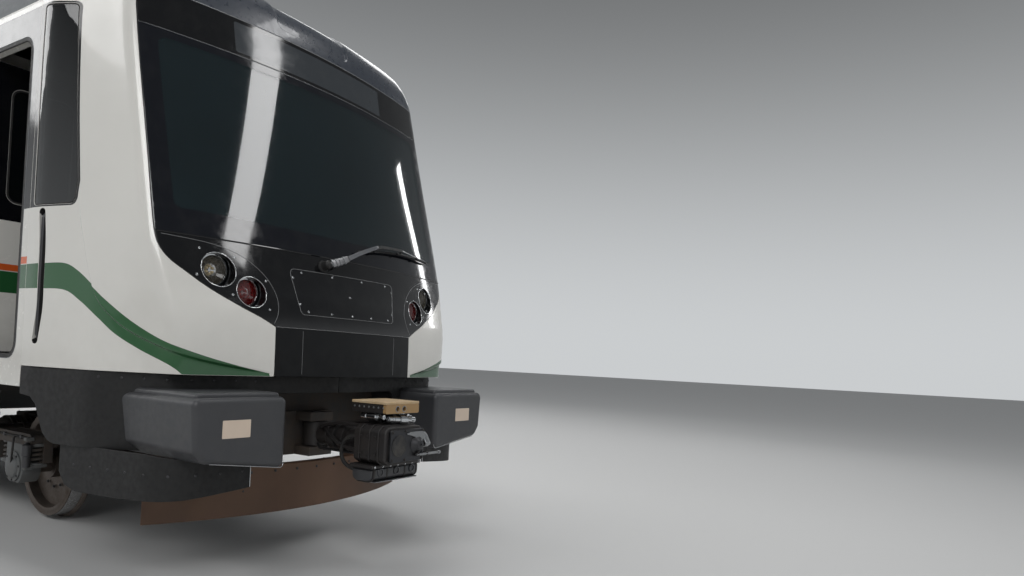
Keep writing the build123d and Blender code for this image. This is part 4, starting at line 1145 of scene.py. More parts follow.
RIDGE = curve_through(near_skin(RIDGE_POINTS), 16)
GREEN_TOP = curve_through(near_skin(STRIPE_TOP), 18)
GREEN_BOTTOM = curve_through(near_skin(STRIPE_BOTTOM), 18)


def smoothstep(low, high, value):
    u = np.clip((value - low) / (high - low), 0, 1)
    return u * u * (3 - 2 * u)


def ridge_depth(t, v):
    """How far the mask stands over the skin: less than zero on the flank below the ridge, and fading out."""
    t, v = np.abs(t), np.asarray(v, float)
    shape = np.broadcast(t, v).shape
    points = np.stack([np.broadcast_to(t, shape).ravel(), np.broadcast_to(v, shape).ravel()], 1)
    best = np.full(len(points), 1e9)
    side = np.zeros(len(points))
    share = np.zeros(len(points))
    ends = np.linspace(0, 1, len(RIDGE))
    for i, (a, b) in enumerate(zip(RIDGE, RIDGE[1:])):
        d = b - a
        u = np.clip(((points - a) @ d) / (d @ d), 0, 1)
        foot = a + u[:, None] * d
        away = points - foot
        distance = np.linalg.norm(away, axis=1)
        closer = distance < best
        best = np.where(closer, distance, best)
        side = np.where(closer, away[:, 0] * d[1] - away[:, 1] * d[0], side)
        share = np.where(closer, ends[i] + (ends[i + 1] - ends[i]) * u, share)
    below = side > 0
    flank = smoothstep(0, RIDGE_FLANK, best) * (1 - smoothstep(RIDGE_FLANK * 2, RIDGE_FADE, best))
    strength = smoothstep(-0.02, 0.1, share) * (1 - smoothstep(0.72, 1.0, share))
    behind = 1 - smoothstep(MASK_REAR - 160, MASK_REAR - 20,
                            SKIN.look_up(SKIN.table, points[:, 0], points[:, 1])[:, 0])
    depth = np.where(below, -RIDGE_DEPTH * flank * strength * behind, 0.0)
    return depth.reshape(shape)


MASK_SKIN = Displaced(ridge_depth)


def offset_line(line, distance):
    """A line moved sideways, to the left of its run for a positive distance."""
    along = np.gradient(line, axis=0)
    along /= np.linalg.norm(along, axis=1)[:, None]
    return line + np.stack([-along[:, 1], along[:, 0]], 1) * distance


def mirror_line(line):
    return np.asarray(line) * (-1, 1)


def mask_loops():
    heights = [*np.arange(MASK_BOTTOM, EAVES - 20, 60), EAVES]
    foot = on_front([(LOWER_HALF, MASK_BOTTOM)])
    rear = on_side([(MASK_REAR, h) for h in heights])
    bottom = [(t, MASK_BOTTOM) for t in np.linspace(foot[0][0], rear[0][0], 40)[:-1]]
    eaves_t = SKIN.t_at_setback(TAPER_START + 6, EAVES)
    roof_edge = [(t, EAVES + GAP / 2) for t in np.linspace(rear[-1][0], eaves_t + GAP / 2, 4)]
    roof_rise = [(eaves_t + GAP / 2, v) for v in np.linspace(EAVES + GAP / 2, EAVES + CAP, 12)[1:]]
    across = [(t, EAVES + CAP) for t in np.linspace(eaves_t, 0, 20)[1:]]
    outer = np.array([*bottom, *rear, *roof_edge, *roof_rise, *across])
    front = np.concatenate([foot, edge_line(PANEL_FOOT, DISPLAY_TOP), fairing_line()[1:]])
    loop = np.concatenate([outer, mirror_line(outer)[::-1][1:], mirror_line(front), front[::-1]])
    quarter = on_side(rounded(QUARTER_OUTLINE, QUARTER_RADII))
    s0, s1, h0, h1 = GRAB_GROOVE
    groove = on_side(rectangle(s0, s1, h0, h1, 26))
    return [shrunk(loop, GAP / 2), quarter, mirror_line(quarter), groove, mirror_line(groove)]


def stripe_slots(middle):
    """0 for white, 1 for green and 2 for black, by where a triangle's middle lies."""
    t, v = np.abs(middle[:, 0]), middle[:, 1]
    behind = [(BLACK_EDGE[-1][0] + 90, BLACK_EDGE[-1][1]), (BLACK_EDGE[0][0] + 90, BLACK_EDGE[0][1])]
    black = inside(np.stack([t, v], 1), np.concatenate([BLACK_EDGE, behind]))
    top = np.interp(t, *sorted_by_t(GREEN_TOP))
    bottom = np.interp(t, *sorted_by_t(GREEN_BOTTOM))
    bottom = np.where(t < GREEN_BOTTOM[:, 0].min(), MASK_BOTTOM - 10, bottom)
    green = (v < top) & (v > bottom) & (t > GREEN_TOP[:, 0].min() - 5)
    return np.where(black, 2, green.astype(int))


def sorted_by_t(line):
    order = np.argsort(line[:, 0])
    return line[order, 0], line[order, 1]


BLACK_EDGE = on_side(rounded(BLACK_OUTLINE, BLACK_RADII))


def make_mask():
    lines = [RIDGE, GREEN_TOP, GREEN_BOTTOM, BLACK_EDGE]
    for distance in (-34, -21, -14, -7, 8):
        lines.append(offset_line(RIDGE, distance))
    lines += [mirror_line(line) for line in lines]
    shape = skin_shape(mask_loops(), SHELL, MASK_SKIN, lines, 46, slot_of=stripe_slots)
    shape.piece("mask_shell", "car_body", [WHITE, GREEN, BAND_BLACK], ["cab_mask"], "white_shell")


def quarter_windows():
    panes = Shape()
    seals = Shape()
    outer = on_side(rounded(QUARTER_OUTLINE, QUARTER_RADII))
    for sign in (1, -1):
        panes.join(skin_shape([shrunk(outer, 7) * (sign, 1)], 12, spacing=70, lift=-3.0, rim=2.0))
        seals.join(skin_shape([shrunk(outer, 0.6) * (sign, 1), shrunk(outer, 9) * (sign, 1)], 26, spacing=14,
                              lift=-1.5, rim=2.5, step=24))
    panes.piece("quarter_panes", "car_body", [SIDE_GLASS], ["quarter_windows"], "tinted_glass")
    seals.piece("quarter_seals", "car_body", [RUBBER], slot="rubber")


# Hatch: lower and upper corner; lamps: place and radius, all in (half width, height)
HATCH_CORNERS = ((456, 1702), (515, 2010))
HATCH_RADIUS = 32
LAMPS = {"headlamp": (1013, 1938, 108), "tail_lamp": (812, 1815, 100)}


def hatch_loop(grow=0.0):
    low, high = HATCH_CORNERS
    corners = [(-low[0], low[1]), (low[0], low[1]), (high[0], high[1]), (-high[0], high[1])]
    loop = rounded(corners, HATCH_RADIUS)
    loop = inset(loop, -grow) if grow else loop
    return on_front(sampled(loop, 20, closed=True))


def front_pane(low, high, gap, field, spacing):
    """Glass of the front between two heights, with slot 1 over a field of (half width, height)."""
    field = on_front(sampled(field, 24, closed=True))
    return skin_shape([shrunk(both_sides(edge_line(low, high)), gap)], 13, lines=[closed(field)],
                      spacing=spacing, slot_of=lambda m: inside(m, field).astype(int), edge_slot=0)


def front_glass():
    clear = rounded([(-1243, 2300), (0, 2286), (1243, 2300), (1238, 3420), (-1238, 3420)],
                    (44, 0, 44, 60, 60))
    screen = front_pane(CREASE, SCREEN_TOP, GAP / 2, clear, 70)
    screen.piece("screen_glass", "car_body", [FRIT, SCREEN], ["windscreen"], "tinted_glass")
    display = front_pane(SCREEN_TOP, DISPLAY_TOP, GAP, rectangle(-720, 720, 3506, 3728, 14), 60)
    display.piece("display_glass", "car_body", [BLACK, DISPLAY], ["destination_glass"], "tinted_glass")
    groove = Shape()
    # Bright steel strips sunk in the grooves over the screen and over the display: a painted highlight of the
    # groove edges
    for height, depth in ((SCREEN_TOP, 4.0), (DISPLAY_TOP, 3.0)):
        half = SKIN.t_at_width(np.interp(height, [p[1] for p in EDGE_POINTS], [p[0] for p in EDGE_POINTS]),
                               height)
        line = [(t, height) for t in np.linspace(-half + 6, half - 6, 60)]
        seam_strip(groove, line, 3.2, -depth)
    groove.piece("groove_highlight_strips", "car_body", [BRIGHT_STEEL])


# Half width, lowest height and rear setback of the fairing's sunk panel
RECESS = (355, 3832, 1330)
RECESS_DEPTH = 16.0


def recess_line(shift=0.0):
    """Outline of the fairing's sunk centre panel, up over the front of the roof."""
    half, foot, rear = RECESS
    top = SKIN.v_at_setback(rear, 0.0)
    return rectangle(-half - shift, half + shift, foot - shift, top + shift, 60, 6)


def recess_depth(t, v):
    line = recess_line()
    shape = np.broadcast(t, v).shape
    points = np.stack([np.broadcast_to(t, shape).ravel(), np.broadcast_to(v, shape).ravel()], 1)
    within = inside(points, line)
    distance = distance_to(points, line, closed=True)
    signed = np.where(within, distance, -distance)
    return (-RECESS_DEPTH * smoothstep(-4, 12, signed)).reshape(shape)


def make_fairing():
    loop = shrunk(both_sides(fairing_line()), GAP / 2)
    lines = [closed(recess_line(shift)) for shift in (5, 0, -4, -8, -13)]
    shape = skin_shape([loop], 26, Displaced(recess_depth), lines, 48)
    shape.piece("fairing_shell", "car_body", [FAIRING], ["roof_fairing"], "black_gloss")


def pod_seam():
    """The fine seam that sets the lamps' pod apart from the rest of the panel: (half width, height)."""
    points = ((676, 1622), (640, 1700), (636, 1800), (690, 1912), (790, 2006), (900, 2062), (1060, 2100),
              (1330, 2118))
    return on_front(curve_through(points, 20))


def panel_seams():
    trim = Shape()
    seam_strip(trim, closed(hatch_loop(2.0)), 1.7, -1.2)
    for sign in (1, -1):
        seam_strip(trim, pod_seam() * (sign, 1), 1.6, 0.2)
    # Along the panel foot the pale strip is a painted highlight of the lower panel's top edge
    seam_strip(trim, np.array([(t, PANEL_FOOT + 1) for t in np.linspace(-LOWER_HALF, LOWER_HALF, 30)]), 1.8,
               -0.6)
    for y in (-456, 456):
        seam = [(y, h) for h in np.linspace(MASK_BOTTOM + 20, PANEL_FOOT - 16, 12)]
        seam_strip(trim, on_front(seam), 1.2, 0.1)
    trim.piece("panel_seams", "car_body", [SEAM_LINE])


def screen_foot_lip():
    crease = Shape()
    half = SKIN.t_at_width(1350, CREASE)
    seam_strip(crease, np.array([(t, CREASE - 2) for t in np.linspace(-half, half, 70)]), 4.5, 1.0)
    crease.piece("screen_foot_lip", "car_body", [BLACK])


def panel_screws():
    screws = Shape()
    low = HATCH_CORNERS[0]
    spots = [(y, 1992) for y in (-420, -150, 150, 420)] + [(y, 1722) for y in (-400, -200, 0, 200, 400)]
    spots += [(side * (low[0] + 6 + k * 16), 1770 + k * 90) for side in (-1, 1) for k in (0, 2)] + [(0, 1860)]
    spots += [(side * y, h) for side in (-1, 1) for y, h in ((700, 1712), (705, 1900), (905, 2030),
                                                             (940, 1786), (1120, 2060), (1150, 1890))]
    for y, h in spots:
        t = SKIN.t_at_width(y, h)
        place, normal = SKIN.place(t, h), SKIN.normal(t, h)
        dome(screws, place, normal, 8.5)
    screws.piece("panel_screws", "car_body", [BRIGHT_STEEL])


def front_panels():
    line = edge_line(PANEL_FOOT, CREASE)
    loop = shrunk(both_sides(line), GAP / 2)
    holes = [hatch_loop(4.0)]
    for y, height, radius in LAMPS.values():
        for sign in (1, -1):
            holes.append(circle_on_front(y, height, radius) * (sign, 1))
    shape = skin_shape([loop, *holes], 34, spacing=44, rim=3.0, step=14)
    shape.piece("upper_panel", "car_body", [BLACK], ["front_panel"], "black_gloss")
    hatch = skin_shape([hatch_loop(0.0)], 30, spacing=60, rim=2.5)
    hatch.piece("hatch_panel", "car_body", [BLACK], ["front_hatch"], "black_gloss")
    low = on_front([(LOWER_HALF, MASK_BOTTOM), (LOWER_HALF, PANEL_FOOT)])
    lower = skin_shape([shrunk(both_sides(low), GAP / 2)], 30, spacing=60)
    lower.piece("lower_panel", "car_body", [LOWER_BLACK], ["lower_front_panel"], "black_gloss")


def dome(shape, place, axis, radius, slot=0):
    """A low screw head with a hexagon socket."""
    profile = [(-1, radius), (radius * 0.12, radius), (radius * 0.34, radius * 0.8),
               (radius * 0.42, radius * 0.45), (radius * 0.42, radius * 0.4),
               (radius * 0.12, radius * 0.36), (radius * 0.1, 0.2)]
    shape.lathe(profile, place, axis, 12, slot)


def seam_strip(shape, line, radius, lift):
    """A fine round strip that follows a line on the skin."""
    t, v = np.asarray(line, float).T
    shape.tube(SKIN.place(t, v) + SKIN.normal(t, v) * lift, radius, 6)


# Distance of a lamp's lens behind the panel's face
LENS_DEPTH = 66


def lamps():
    for name, (y, height, radius) in LAMPS.items():
        shape = Shape()
        lens_x = SKIN.place(SKIN.t_at_width(y, height), height)[0] - LENS_DEPTH
        hole = circle_on_front(y, height, radius)
        normals = SKIN.normal(*hole.T)
        edge = SKIN.place(*hole.T) - normals
        wall, inner = (np.array([(lens_x - 4, *p) for p in circle(y, height, r)])
                       for r in (radius, radius - 9))
        shape.grid([edge, edge * 0.25 + wall * 0.75, wall, inner], 0, closed=True, flip=True)
        shape.tube(closed(edge) + normals.mean(0), 2.6, 8, 1)
        centre = (lens_x, y, height)
        r = radius - 6
        shape.lathe([(-3, r), (5, r), (9, r - 3), (9, r - 9), (2, r - 12)], centre, (1, 0, 0), 48, 1,
                    closed=False)
        bowl = [(-46, 30), (-44, 46), (-30, 62), (-16, 76), (-4, r - 12)]
        shape.lathe(bowl[::-1], centre, (1, 0, 0), 40, 0, closed=False)
        shape.lathe([(-46, 44), (-30, 46), (-26, 42), (-34, 30), (-40, 14), (-40, 2)], centre, (1, 0, 0),
                    32, 2)
        for k in range(6):
            a = 2 * pi * (k + 0.5) / 6
            spot = (lens_x - 30, y + 24 * cos(a), height + 24 * sin(a))
            shape.lathe([(-10, 9), (2, 9), (6, 6)], spot, (1, 0, 0), 12, 3)
        shape.lathe([(3, r - 8), (5, r - 14), (9, r * 0.6), (10.5, r * 0.3), (11, 1)], centre, (1, 0, 0),
                    44, 4)
        shape.mirrored()
        clear = name == "headlamp"
        slots = [BLACK, CHROME, REFLECTOR, LED if clear else RED_LED, LENS if clear else RED_LENS]
        node = "headlamps" if clear else "tail_lamps"
        shape.piece(name + "_units", "car_body", slots, [node], "lamp_clear" if clear else "lamp_red")


def grab_rails():
    shape = Shape()
    s0, s1, h0, h1 = GRAB_GROOVE
    loop = on_side(rectangle(s0, s1, h0, h1, 26))
    edge = SKIN.place(*loop.T) - SKIN.normal(*loop.T) * 2
    deep = edge - (0, 58, 0)
    shape.grid([edge, deep], 0, closed=True)
    shape.add(deep, [list(range(len(deep)))], 0)
    middle = at((s0 + s1) / 2)
    y = HALF_WIDTH - 20
    path = [(middle, y - 36, h0 + 36), (middle, y - 10, h0 + 40), (middle, y, h0 + 62), (middle, y, h0 + 120)]
    path += [(middle, y, h) for h in np.linspace(h0 + 300, h1 - 300, 4)]
    path += [(middle, y, h1 - 120), (middle, y, h1 - 62), (middle, y - 10, h1 - 40),
             (middle, y - 36, h1 - 36)]
    shape.tube(path, 13, 14, 1)
    shape.mirrored()
    shape.piece("grab_rails", "car_body", [BLACK_PLASTIC, DARK_STEEL], ["cab_grab_rails"], "steel_rail")


make_mask()
quarter_windows()
front_glass()
make_fairing()
front_panels()
panel_seams()
screen_foot_lip()
panel_screws()
lamps()
grab_rails()


# Wiper: cap on its spindle, clamped sleeve, bent bar and the blade along the foot of the screen, in
# (y, height) on the front and the lift over it
WIPER_CAP = (-222, 2061)
WIPER_ARM = ((-200, 2067, 58), (-160, 2077, 66), (-60, 2115, 74), (100, 2187, 76), (300, 2264, 74),
             (660, 2305, 52))
BLADE = ((120, 2217, 20), (320, 2248, 20), (520, 2270, 20), (720, 2281, 20), (920, 2281, 20),
         (1100, 2273, 20))


def over_screen(y, h, lift):
    t = SKIN.t_at_width(abs(y), h) * (1 if y >= 0 else -1)
    return SKIN.place(t, h) + SKIN.normal(t, h) * lift


def flat_bar(shape, path, widths, thicknesses, slot=0):
    """A bar along a path over the screen, wide up and down the glass and thin across it."""
    path = np.asarray(path, float)
    along = np.gradient(path, axis=0)
    along /= np.linalg.norm(along, axis=1)[:, None]
    rings = []
    for place, way, width, thickness in zip(path, along, widths, thicknesses):
        out = unit(np.array((0.93, 0.12, 0.34)) - way * np.dot(way, (0.93, 0.12, 0.34)))
        up = np.cross(out, way)
        half, deep = width / 2, thickness / 2
        cut = min(half, deep) * 0.35
        corners = [(-half + cut, -deep), (half - cut, -deep), (half, -deep + cut), (half, deep - cut),
                   (half - cut, deep), (-half + cut, deep), (-half, deep - cut), (-half, -deep + cut)]
        rings.append([place + up * a + out * b for a, b in corners])
    return shape.rings(rings, slot)


def wiper():
    shape = Shape()
    foot = over_screen(*WIPER_CAP, 0)
    out = unit(over_screen(*WIPER_CAP, 10) - foot)
    shape.lathe([(-4, 44), (6, 44), (12, 38), (20, 34), (58, 32), (70, 26), (76, 12), (76, 0.5)], foot, out,
                28, 0)
    arm = np.array([over_screen(*row) for row in WIPER_ARM])
    line = curve_through(arm[:5], 14)
    run = np.linspace(0, 1, len(line))
    first = line[run <= 0.34]
    flat_bar(shape, first, np.interp(np.linspace(0, 1, len(first)), (0, 0.3, 1), (44, 54, 46)),
             np.full(len(first), 30.0), 1)
    for share in (0.12, 0.34, 0.56, 0.78):
        spot = first[int(share * (len(first) - 1))]
        flat_bar(shape, [spot - (0, 5, 2), spot + (0, 5, 2)], (60, 60), (36, 36), 2)
    second = line[run >= 0.32]
    flat_bar(shape, second, np.linspace(34, 26, len(second)), np.linspace(20, 14, len(second)), 3)
    for offset in (-7, 0, 7):
        ridge = second + np.array((9.0, 0, 5.0)) + np.array((0, -0.36, 0.93)) * offset
        shape.tube(ridge[2:-2], 1.8, 6, 3)
    third = curve_through(arm[3:], 14)
    third = third[np.linalg.norm(third - arm[4], axis=1).argmin():]
    flat_bar(shape, third, np.linspace(30, 22, len(third)), np.linspace(12, 9, len(third)), 0)
    shape.lathe([(-14, 8), (14, 8), (16, 5), (16, 0.5)], arm[4] - out * 6, out, 16, 2)
    blade = curve_through([over_screen(*row) for row in BLADE], 16)
    flat_bar(shape, blade + out * 10, np.full(len(blade), 14.0), np.full(len(blade), 10.0), 0)
    flat_bar(shape, blade - out * 4, np.full(len(blade), 5.0), np.full(len(blade), 20.0), 0)
    for share in (0.2, 0.5, 0.8):
        spot = blade[int(share * (len(blade) - 1))]
        shape.lathe([(-4, 12), (24, 12), (27, 9), (27, 0.5)], spot, out, 14, 0)
    link = arm[-1]
    spot = blade[np.linalg.norm(blade - link, axis=1).argmin()]
    shape.tube([link, (link + spot) / 2 + out * 4, spot + out * 10], 9, 10, 0)
    far = blade[-1]
    strip = curve_through([link, over_screen(860, 2296, 34), over_screen(1085, 2278, 30)], 16)
    flat_bar(shape, strip, np.full(len(strip), 7.0), np.full(len(strip), 5.0), 2)
    shape.tube([strip[-1], far + out * 12], 4, 8, 2)
    shape.piece("wiper_arm", "car_body", [BLACK_PLASTIC, EDGE_GREY, STEEL, ARM_SLEEVE], ["wiper"], "rubber")


ARM_SLEEVE = plastic("wiper_sleeve", (96, 98, 102), 0.45, 500.0, 0.08, 0.1)
EDGE_GREY = metal("clamped_sleeve", (150, 150, 152), 0.35, (1, 1, 1), 0.2)
wiper()


# Body sides, in (setback, height) on the car's left and mirrored to its right
class Level:
    """A flat upright side of the body, drawn in from the full half width."""

    def __init__(self, drawn_in=0.0):
        self.y = HALF_WIDTH - drawn_in

    def place(self, s, h):
        s, h = np.asarray(s, float), np.asarray(h, float)
        return np.stack([at(s), np.full(s.shape, self.y), h], -1)

    def normal(self, s, h):
        return np.broadcast_to((0.0, 1.0, 0.0), (*np.asarray(s).shape, 3)).copy()


class End:
    """A flat face across the car at x, which looks forward for facing 1 and back for facing -1."""

    def __init__(self, x, facing):
        self.x = x
        self.facing = facing

    def place(self, y, h):
        y = np.asarray(y, float)
        return np.stack([np.full(y.shape, float(self.x)), self.facing * y, np.asarray(h, float)], -1)

    def normal(self, y, h):
        return np.broadcast_to((float(self.facing), 0.0, 0.0), (*np.asarray(y).shape, 3)).copy()


SIDE = Level(2.0)
BODY_REAR = NOSE - REAR
SKIRT_HEIGHT = 1140
WALL_TOP = 3650
FLOOR_TOP = 1300
DOOR_BOTTOM, DOOR_TOP, DOOR_WIDTH = 1278, 3430, 1400
DOOR_COUNT, FIRST_DOOR, LAST_DOOR = 4, 4150, 2610
DOOR_PITCH = (BODY_REAR - FIRST_DOOR - LAST_DOOR) / (DOOR_COUNT - 1)
DOORS = [FIRST_DOOR + i * DOOR_PITCH for i in range(DOOR_COUNT)]
WINDOW_LOW, WINDOW_TOP, WINDOW_RADIUS = 2400, 3420, 70
WINDOW_PIER, WINDOW_MARGIN, REAR_WINDOW = 130, 235, 900
WINDOW_LENGTH = (DOOR_PITCH - DOOR_WIDTH - WINDOW_PIER) / 2 - WINDOW_MARGIN
CAB_DOOR_FRONT, CAB_DOOR_WIDTH, CAB_SILL, CAB_DOOR_TOP = 1657, 650, 1340, 3420
CAB_GAP = 7
BAND_LOW, BAND_TOP, BAND_RADIUS = 2290, 3612, 60
GREEN_LOW, GREEN_TOP_EDGE = 1772, 1926
ORANGE_LOW, ORANGE_TOP = 1931, 1978
BLACK_BAND = (1, BAND_LOW, BAND_TOP)
STRIPES = ((2, GREEN_LOW, GREEN_TOP_EDGE), (3, ORANGE_LOW, ORANGE_TOP))


def window_spans():
    spans = []
    for door in DOORS[:-1]:
        middle = door + DOOR_PITCH / 2
        for side in (-1, 1):
            centre = middle + side * (WINDOW_LENGTH + WINDOW_PIER) / 2
            spans.append((centre - WINDOW_LENGTH / 2, centre + WINDOW_LENGTH / 2))
    rear_middle = (DOORS[-1] + DOOR_WIDTH / 2 + BODY_REAR - 60) / 2
    spans.append((rear_middle - REAR_WINDOW / 2, rear_middle + REAR_WINDOW / 2))
    return spans


WINDOWS = window_spans()


def striped(middle, *bands):
    """Slots by the heights of triangles' middles: 0, or the slot of the band (slot, low, top) round one."""
    h = middle[:, 1]
    result = np.zeros(len(h), int)
    for slot, low, top in bands:
        result[(h > low) & (h < top)] = slot
    return result


def level_lines(start, end, heights):
    return [np.array([(start, h), (end, h)], float) for h in heights]


def doorway(door):
    return rectangle(door - DOOR_WIDTH / 2, door + DOOR_WIDTH / 2, DOOR_BOTTOM, DOOR_TOP, 60)


def cab_doorway(shrink=0.0):
    """The cab doorway: round at the front, nearly square at the hinges."""
    x0 = CAB_DOOR_FRONT - CAB_GAP + shrink
    x1 = CAB_DOOR_FRONT + CAB_DOOR_WIDTH + CAB_GAP - shrink
    radii = (90 - shrink, 12, 12, 90 - shrink)
    return rectangle(x0, x1, CAB_SILL + shrink, CAB_DOOR_TOP - shrink, radii)


def window_opening(span, grow=0.0):
    return rectangle(span[0] - grow, span[1] + grow, WINDOW_LOW - grow, WINDOW_TOP + grow,
                     WINDOW_RADIUS + grow)


def both(shape, make):
    """Makes a left piece and its mirror image on the right."""
    other = Shape()
    other.join(shape, mirror=True)
    make(shape, "left")
    make(other, "right")


def side_walls():
    start, end = MASK_REAR + 2, BODY_REAR - 2
    outer = np.array([(start, SKIRT_HEIGHT), (end, SKIRT_HEIGHT), (end, WALL_TOP), (start, WALL_TOP)], float)
    openings = [*map(doorway, DOORS), cab_doorway(), *map(window_opening, WINDOWS)]
    rail = CAB_DOOR_FRONT + CAB_DOOR_WIDTH + 90
    openings.append(rectangle(rail - 28, rail + 28, GRAB_GROOVE[2], GRAB_GROOVE[3], 26))
    band = rectangle(start - 1, BODY_REAR - 40, BAND_LOW, BAND_TOP, (0, BAND_RADIUS, BAND_RADIUS, 0))
    lines = [closed(band), *level_lines(start, end, (GREEN_LOW, GREEN_TOP_EDGE, ORANGE_LOW, ORANGE_TOP))]

    def slots(middle):
        result = striped(middle, *STRIPES)
        result[inside(middle, band)] = 1
        return result

    wall = skin_shape([outer, *openings], 58, SIDE, lines, 400, rim=2.0, slot_of=slots, step=120)
    both(wall, lambda shape, side: shape.piece(f"side_wall_{side}_panel", "car_body",
                                               [WHITE_BODY, BAND_BLACK, GREEN, ORANGE],
                                               [f"side_wall_{side}"], "white_paint"))


def gasket(loop, radius, lift, slot=0):
    """A round seal along a closed loop on the side."""
    s, h = closed(loop).T
    return Shape().tube(SIDE.place(s, h) + SIDE.normal(s, h) * lift, radius, 6, slot, caps=False)


def side_windows():
    panes, seals = Shape(), Shape()
    for span in WINDOWS:
        panes.join(skin_shape([window_opening(span, -3)], 10, Level(4.0), spacing=500, rim=1.5, step=200))
        seals.join(skin_shape([window_opening(span, -1), window_opening(span, -13)], 24, Level(1.0),
                              spacing=60, rim=2.0, step=80))
        vent_low = WINDOW_TOP - 260
        seals.box(at(span[1] - 14), at(span[0] + 14), HALF_WIDTH - 14, HALF_WIDTH - 1.5, vent_low - 9,
                  vent_low + 9, 2)
    panes.mirrored()
    seals.mirrored()
    panes.piece("side_panes", "car_body", [SIDE_GLASS], ["side_windows"], "tinted_glass")
    seals.piece("side_window_seals", "car_body", [RUBBER], slot="rubber")


# Width, lowest and highest height
LEAF_WINDOW = (430, 2420, 3300)


def door_leaves():
    width, low, top = LEAF_WINDOW
    leaves, panes, seals = Shape(), Shape(), Shape()
    for door in DOORS:
        for side in (-1, 1):
            edge = door + side * (DOOR_WIDTH / 2 - 4)
            middle = door + side * 1.5
            x0, x1 = min(edge, middle), max(edge, middle)
            radii = (0, 56, 56, 0) if side > 0 else (56, 0, 0, 56)
            loop = rectangle(x0, x1, DOOR_BOTTOM + 4, DOOR_TOP - 4, radii)
            leaf_middle = door + side * DOOR_WIDTH / 4
            window = rectangle(leaf_middle - width / 2, leaf_middle + width / 2, low, top, WINDOW_RADIUS)
            lines = level_lines(x0, x1, (*ORANGE_DOOR, BAND_LOW))
            leaves.join(skin_shape([loop, window], 32, Level(3.0), lines, 300, rim=4.0, step=100,
                                   slot_of=lambda m: striped(m, BLACK_BAND, (2, *ORANGE_DOOR))))
            panes.join(skin_shape([inset(window, 3)], 10, Level(5.0), spacing=400, rim=1.5, step=150))
            seals.join(skin_shape([inset(window, 1), inset(window, 12)], 20, Level(2.0), spacing=60,
                                  rim=2.0, step=80))
            grip = leaf_middle - side * (width / 2 + 62)
            seals.join(skin_shape([rectangle(grip - 22, grip + 22, 2180, 2290, 20),
                                   rectangle(grip - 16, grip + 16, 2186, 2284, 15)], 8, Level(1.0),
                                  spacing=30, rim=1.5))
        seals.box(at(door) - 7, at(door) + 7, HALF_WIDTH - 30, HALF_WIDTH - 0.8, DOOR_BOTTOM + 6,
                  DOOR_TOP - 6, 3)
        seals.join(gasket(inset(doorway(door), 3), 6.0, -3.5))
    both(leaves, lambda shape, side: shape.piece(f"passenger_leaves_{side}", "car_body",
                                                 [WHITE_BODY, BAND_BLACK, ORANGE],
                                                 [f"passenger_doors_{side}"], "door_paint"))
    panes.mirrored()
    panes.piece("door_panes", "car_body", [SIDE_GLASS], ["door_windows"], "tinted_glass")
    seals.mirrored()
    seals.piece("door_seals", "car_body", [RUBBER], slot="rubber")


ORANGE_DOOR = (1780, 1985)
CAB_PANE = (420, 2420, 3250)
HINGE_HEIGHTS = (1560, 2330, 3200)


def cab_door_fittings(door, x_hinge):
    """Handle plate, handle and lock outside, hinge knuckles and the rail inside."""
    handle_s = CAB_DOOR_FRONT + 62
    door.join(skin_shape([rectangle(handle_s - 30, handle_s + 30, 2085, 2235, 24)], 4, Level(1.5),
                         spacing=60, rim=1.5, slot=6))
    handle = Shape()
    y = HALF_WIDTH - 4
    handle.box(at(handle_s) - 9, at(handle_s) + 9, y - 8, y + 3, 2110, 2205, 4, 6)
    handle.lathe([(-2, 15), (3, 15), (5, 12), (5, 0.5)], (at(handle_s), HALF_WIDTH - 5, 2060), (0, 1, 0),
                 20, 6)
    inside_y = HALF_WIDTH - 41
    for height in HINGE_HEIGHTS:
        for low_end in (height - 90, height + 31):
            handle.lathe([(0, 4), (1, 6), (58, 6), (59, 4), (59, 0.5)], (x_hinge, HALF_WIDTH - 40, low_end),
                         (0, 0, 1), 18, 6)
            handle.box(x_hinge + 1, x_hinge + 34, HALF_WIDTH - 39, HALF_WIDTH - 32, low_end, low_end + 59,
                       1.5, 6)
    handle.tube([(at(handle_s), inside_y + 9, 1700), (at(handle_s), inside_y - 30, 1712),
                 (at(handle_s), inside_y - 36, 1740), (at(handle_s), inside_y - 36, 2010),
                 (at(handle_s), inside_y - 30, 2038), (at(handle_s), inside_y + 9, 2050)], 9, 10, 6)
    door.join(handle)


def cab_door_frames():
    """Seal, bright edge and black border round each cab doorway, and its sill."""
    frames = Shape()
    frames.join(gasket(inset(cab_doorway(), 2.5), 5.0, -3.0, 0))
    frames.join(gasket(cab_doorway(-25), 2.2, -0.6, 1))
    frames.join(skin_shape([cab_doorway(-24), cab_doorway(1)], 3, Level(0.6), spacing=60, rim=1.0, slot=2,
                           step=60))
    frames.box(at(CAB_DOOR_FRONT + CAB_DOOR_WIDTH), at(CAB_DOOR_FRONT), HALF_WIDTH - 58, HALF_WIDTH - 2,
               CAB_SILL - 3, CAB_SILL + 3, 1.5, 1)
    frames.mirrored()
    frames.piece("cab_door_frames", "car_body", [RUBBER, STEEL, BLACK_LINE])


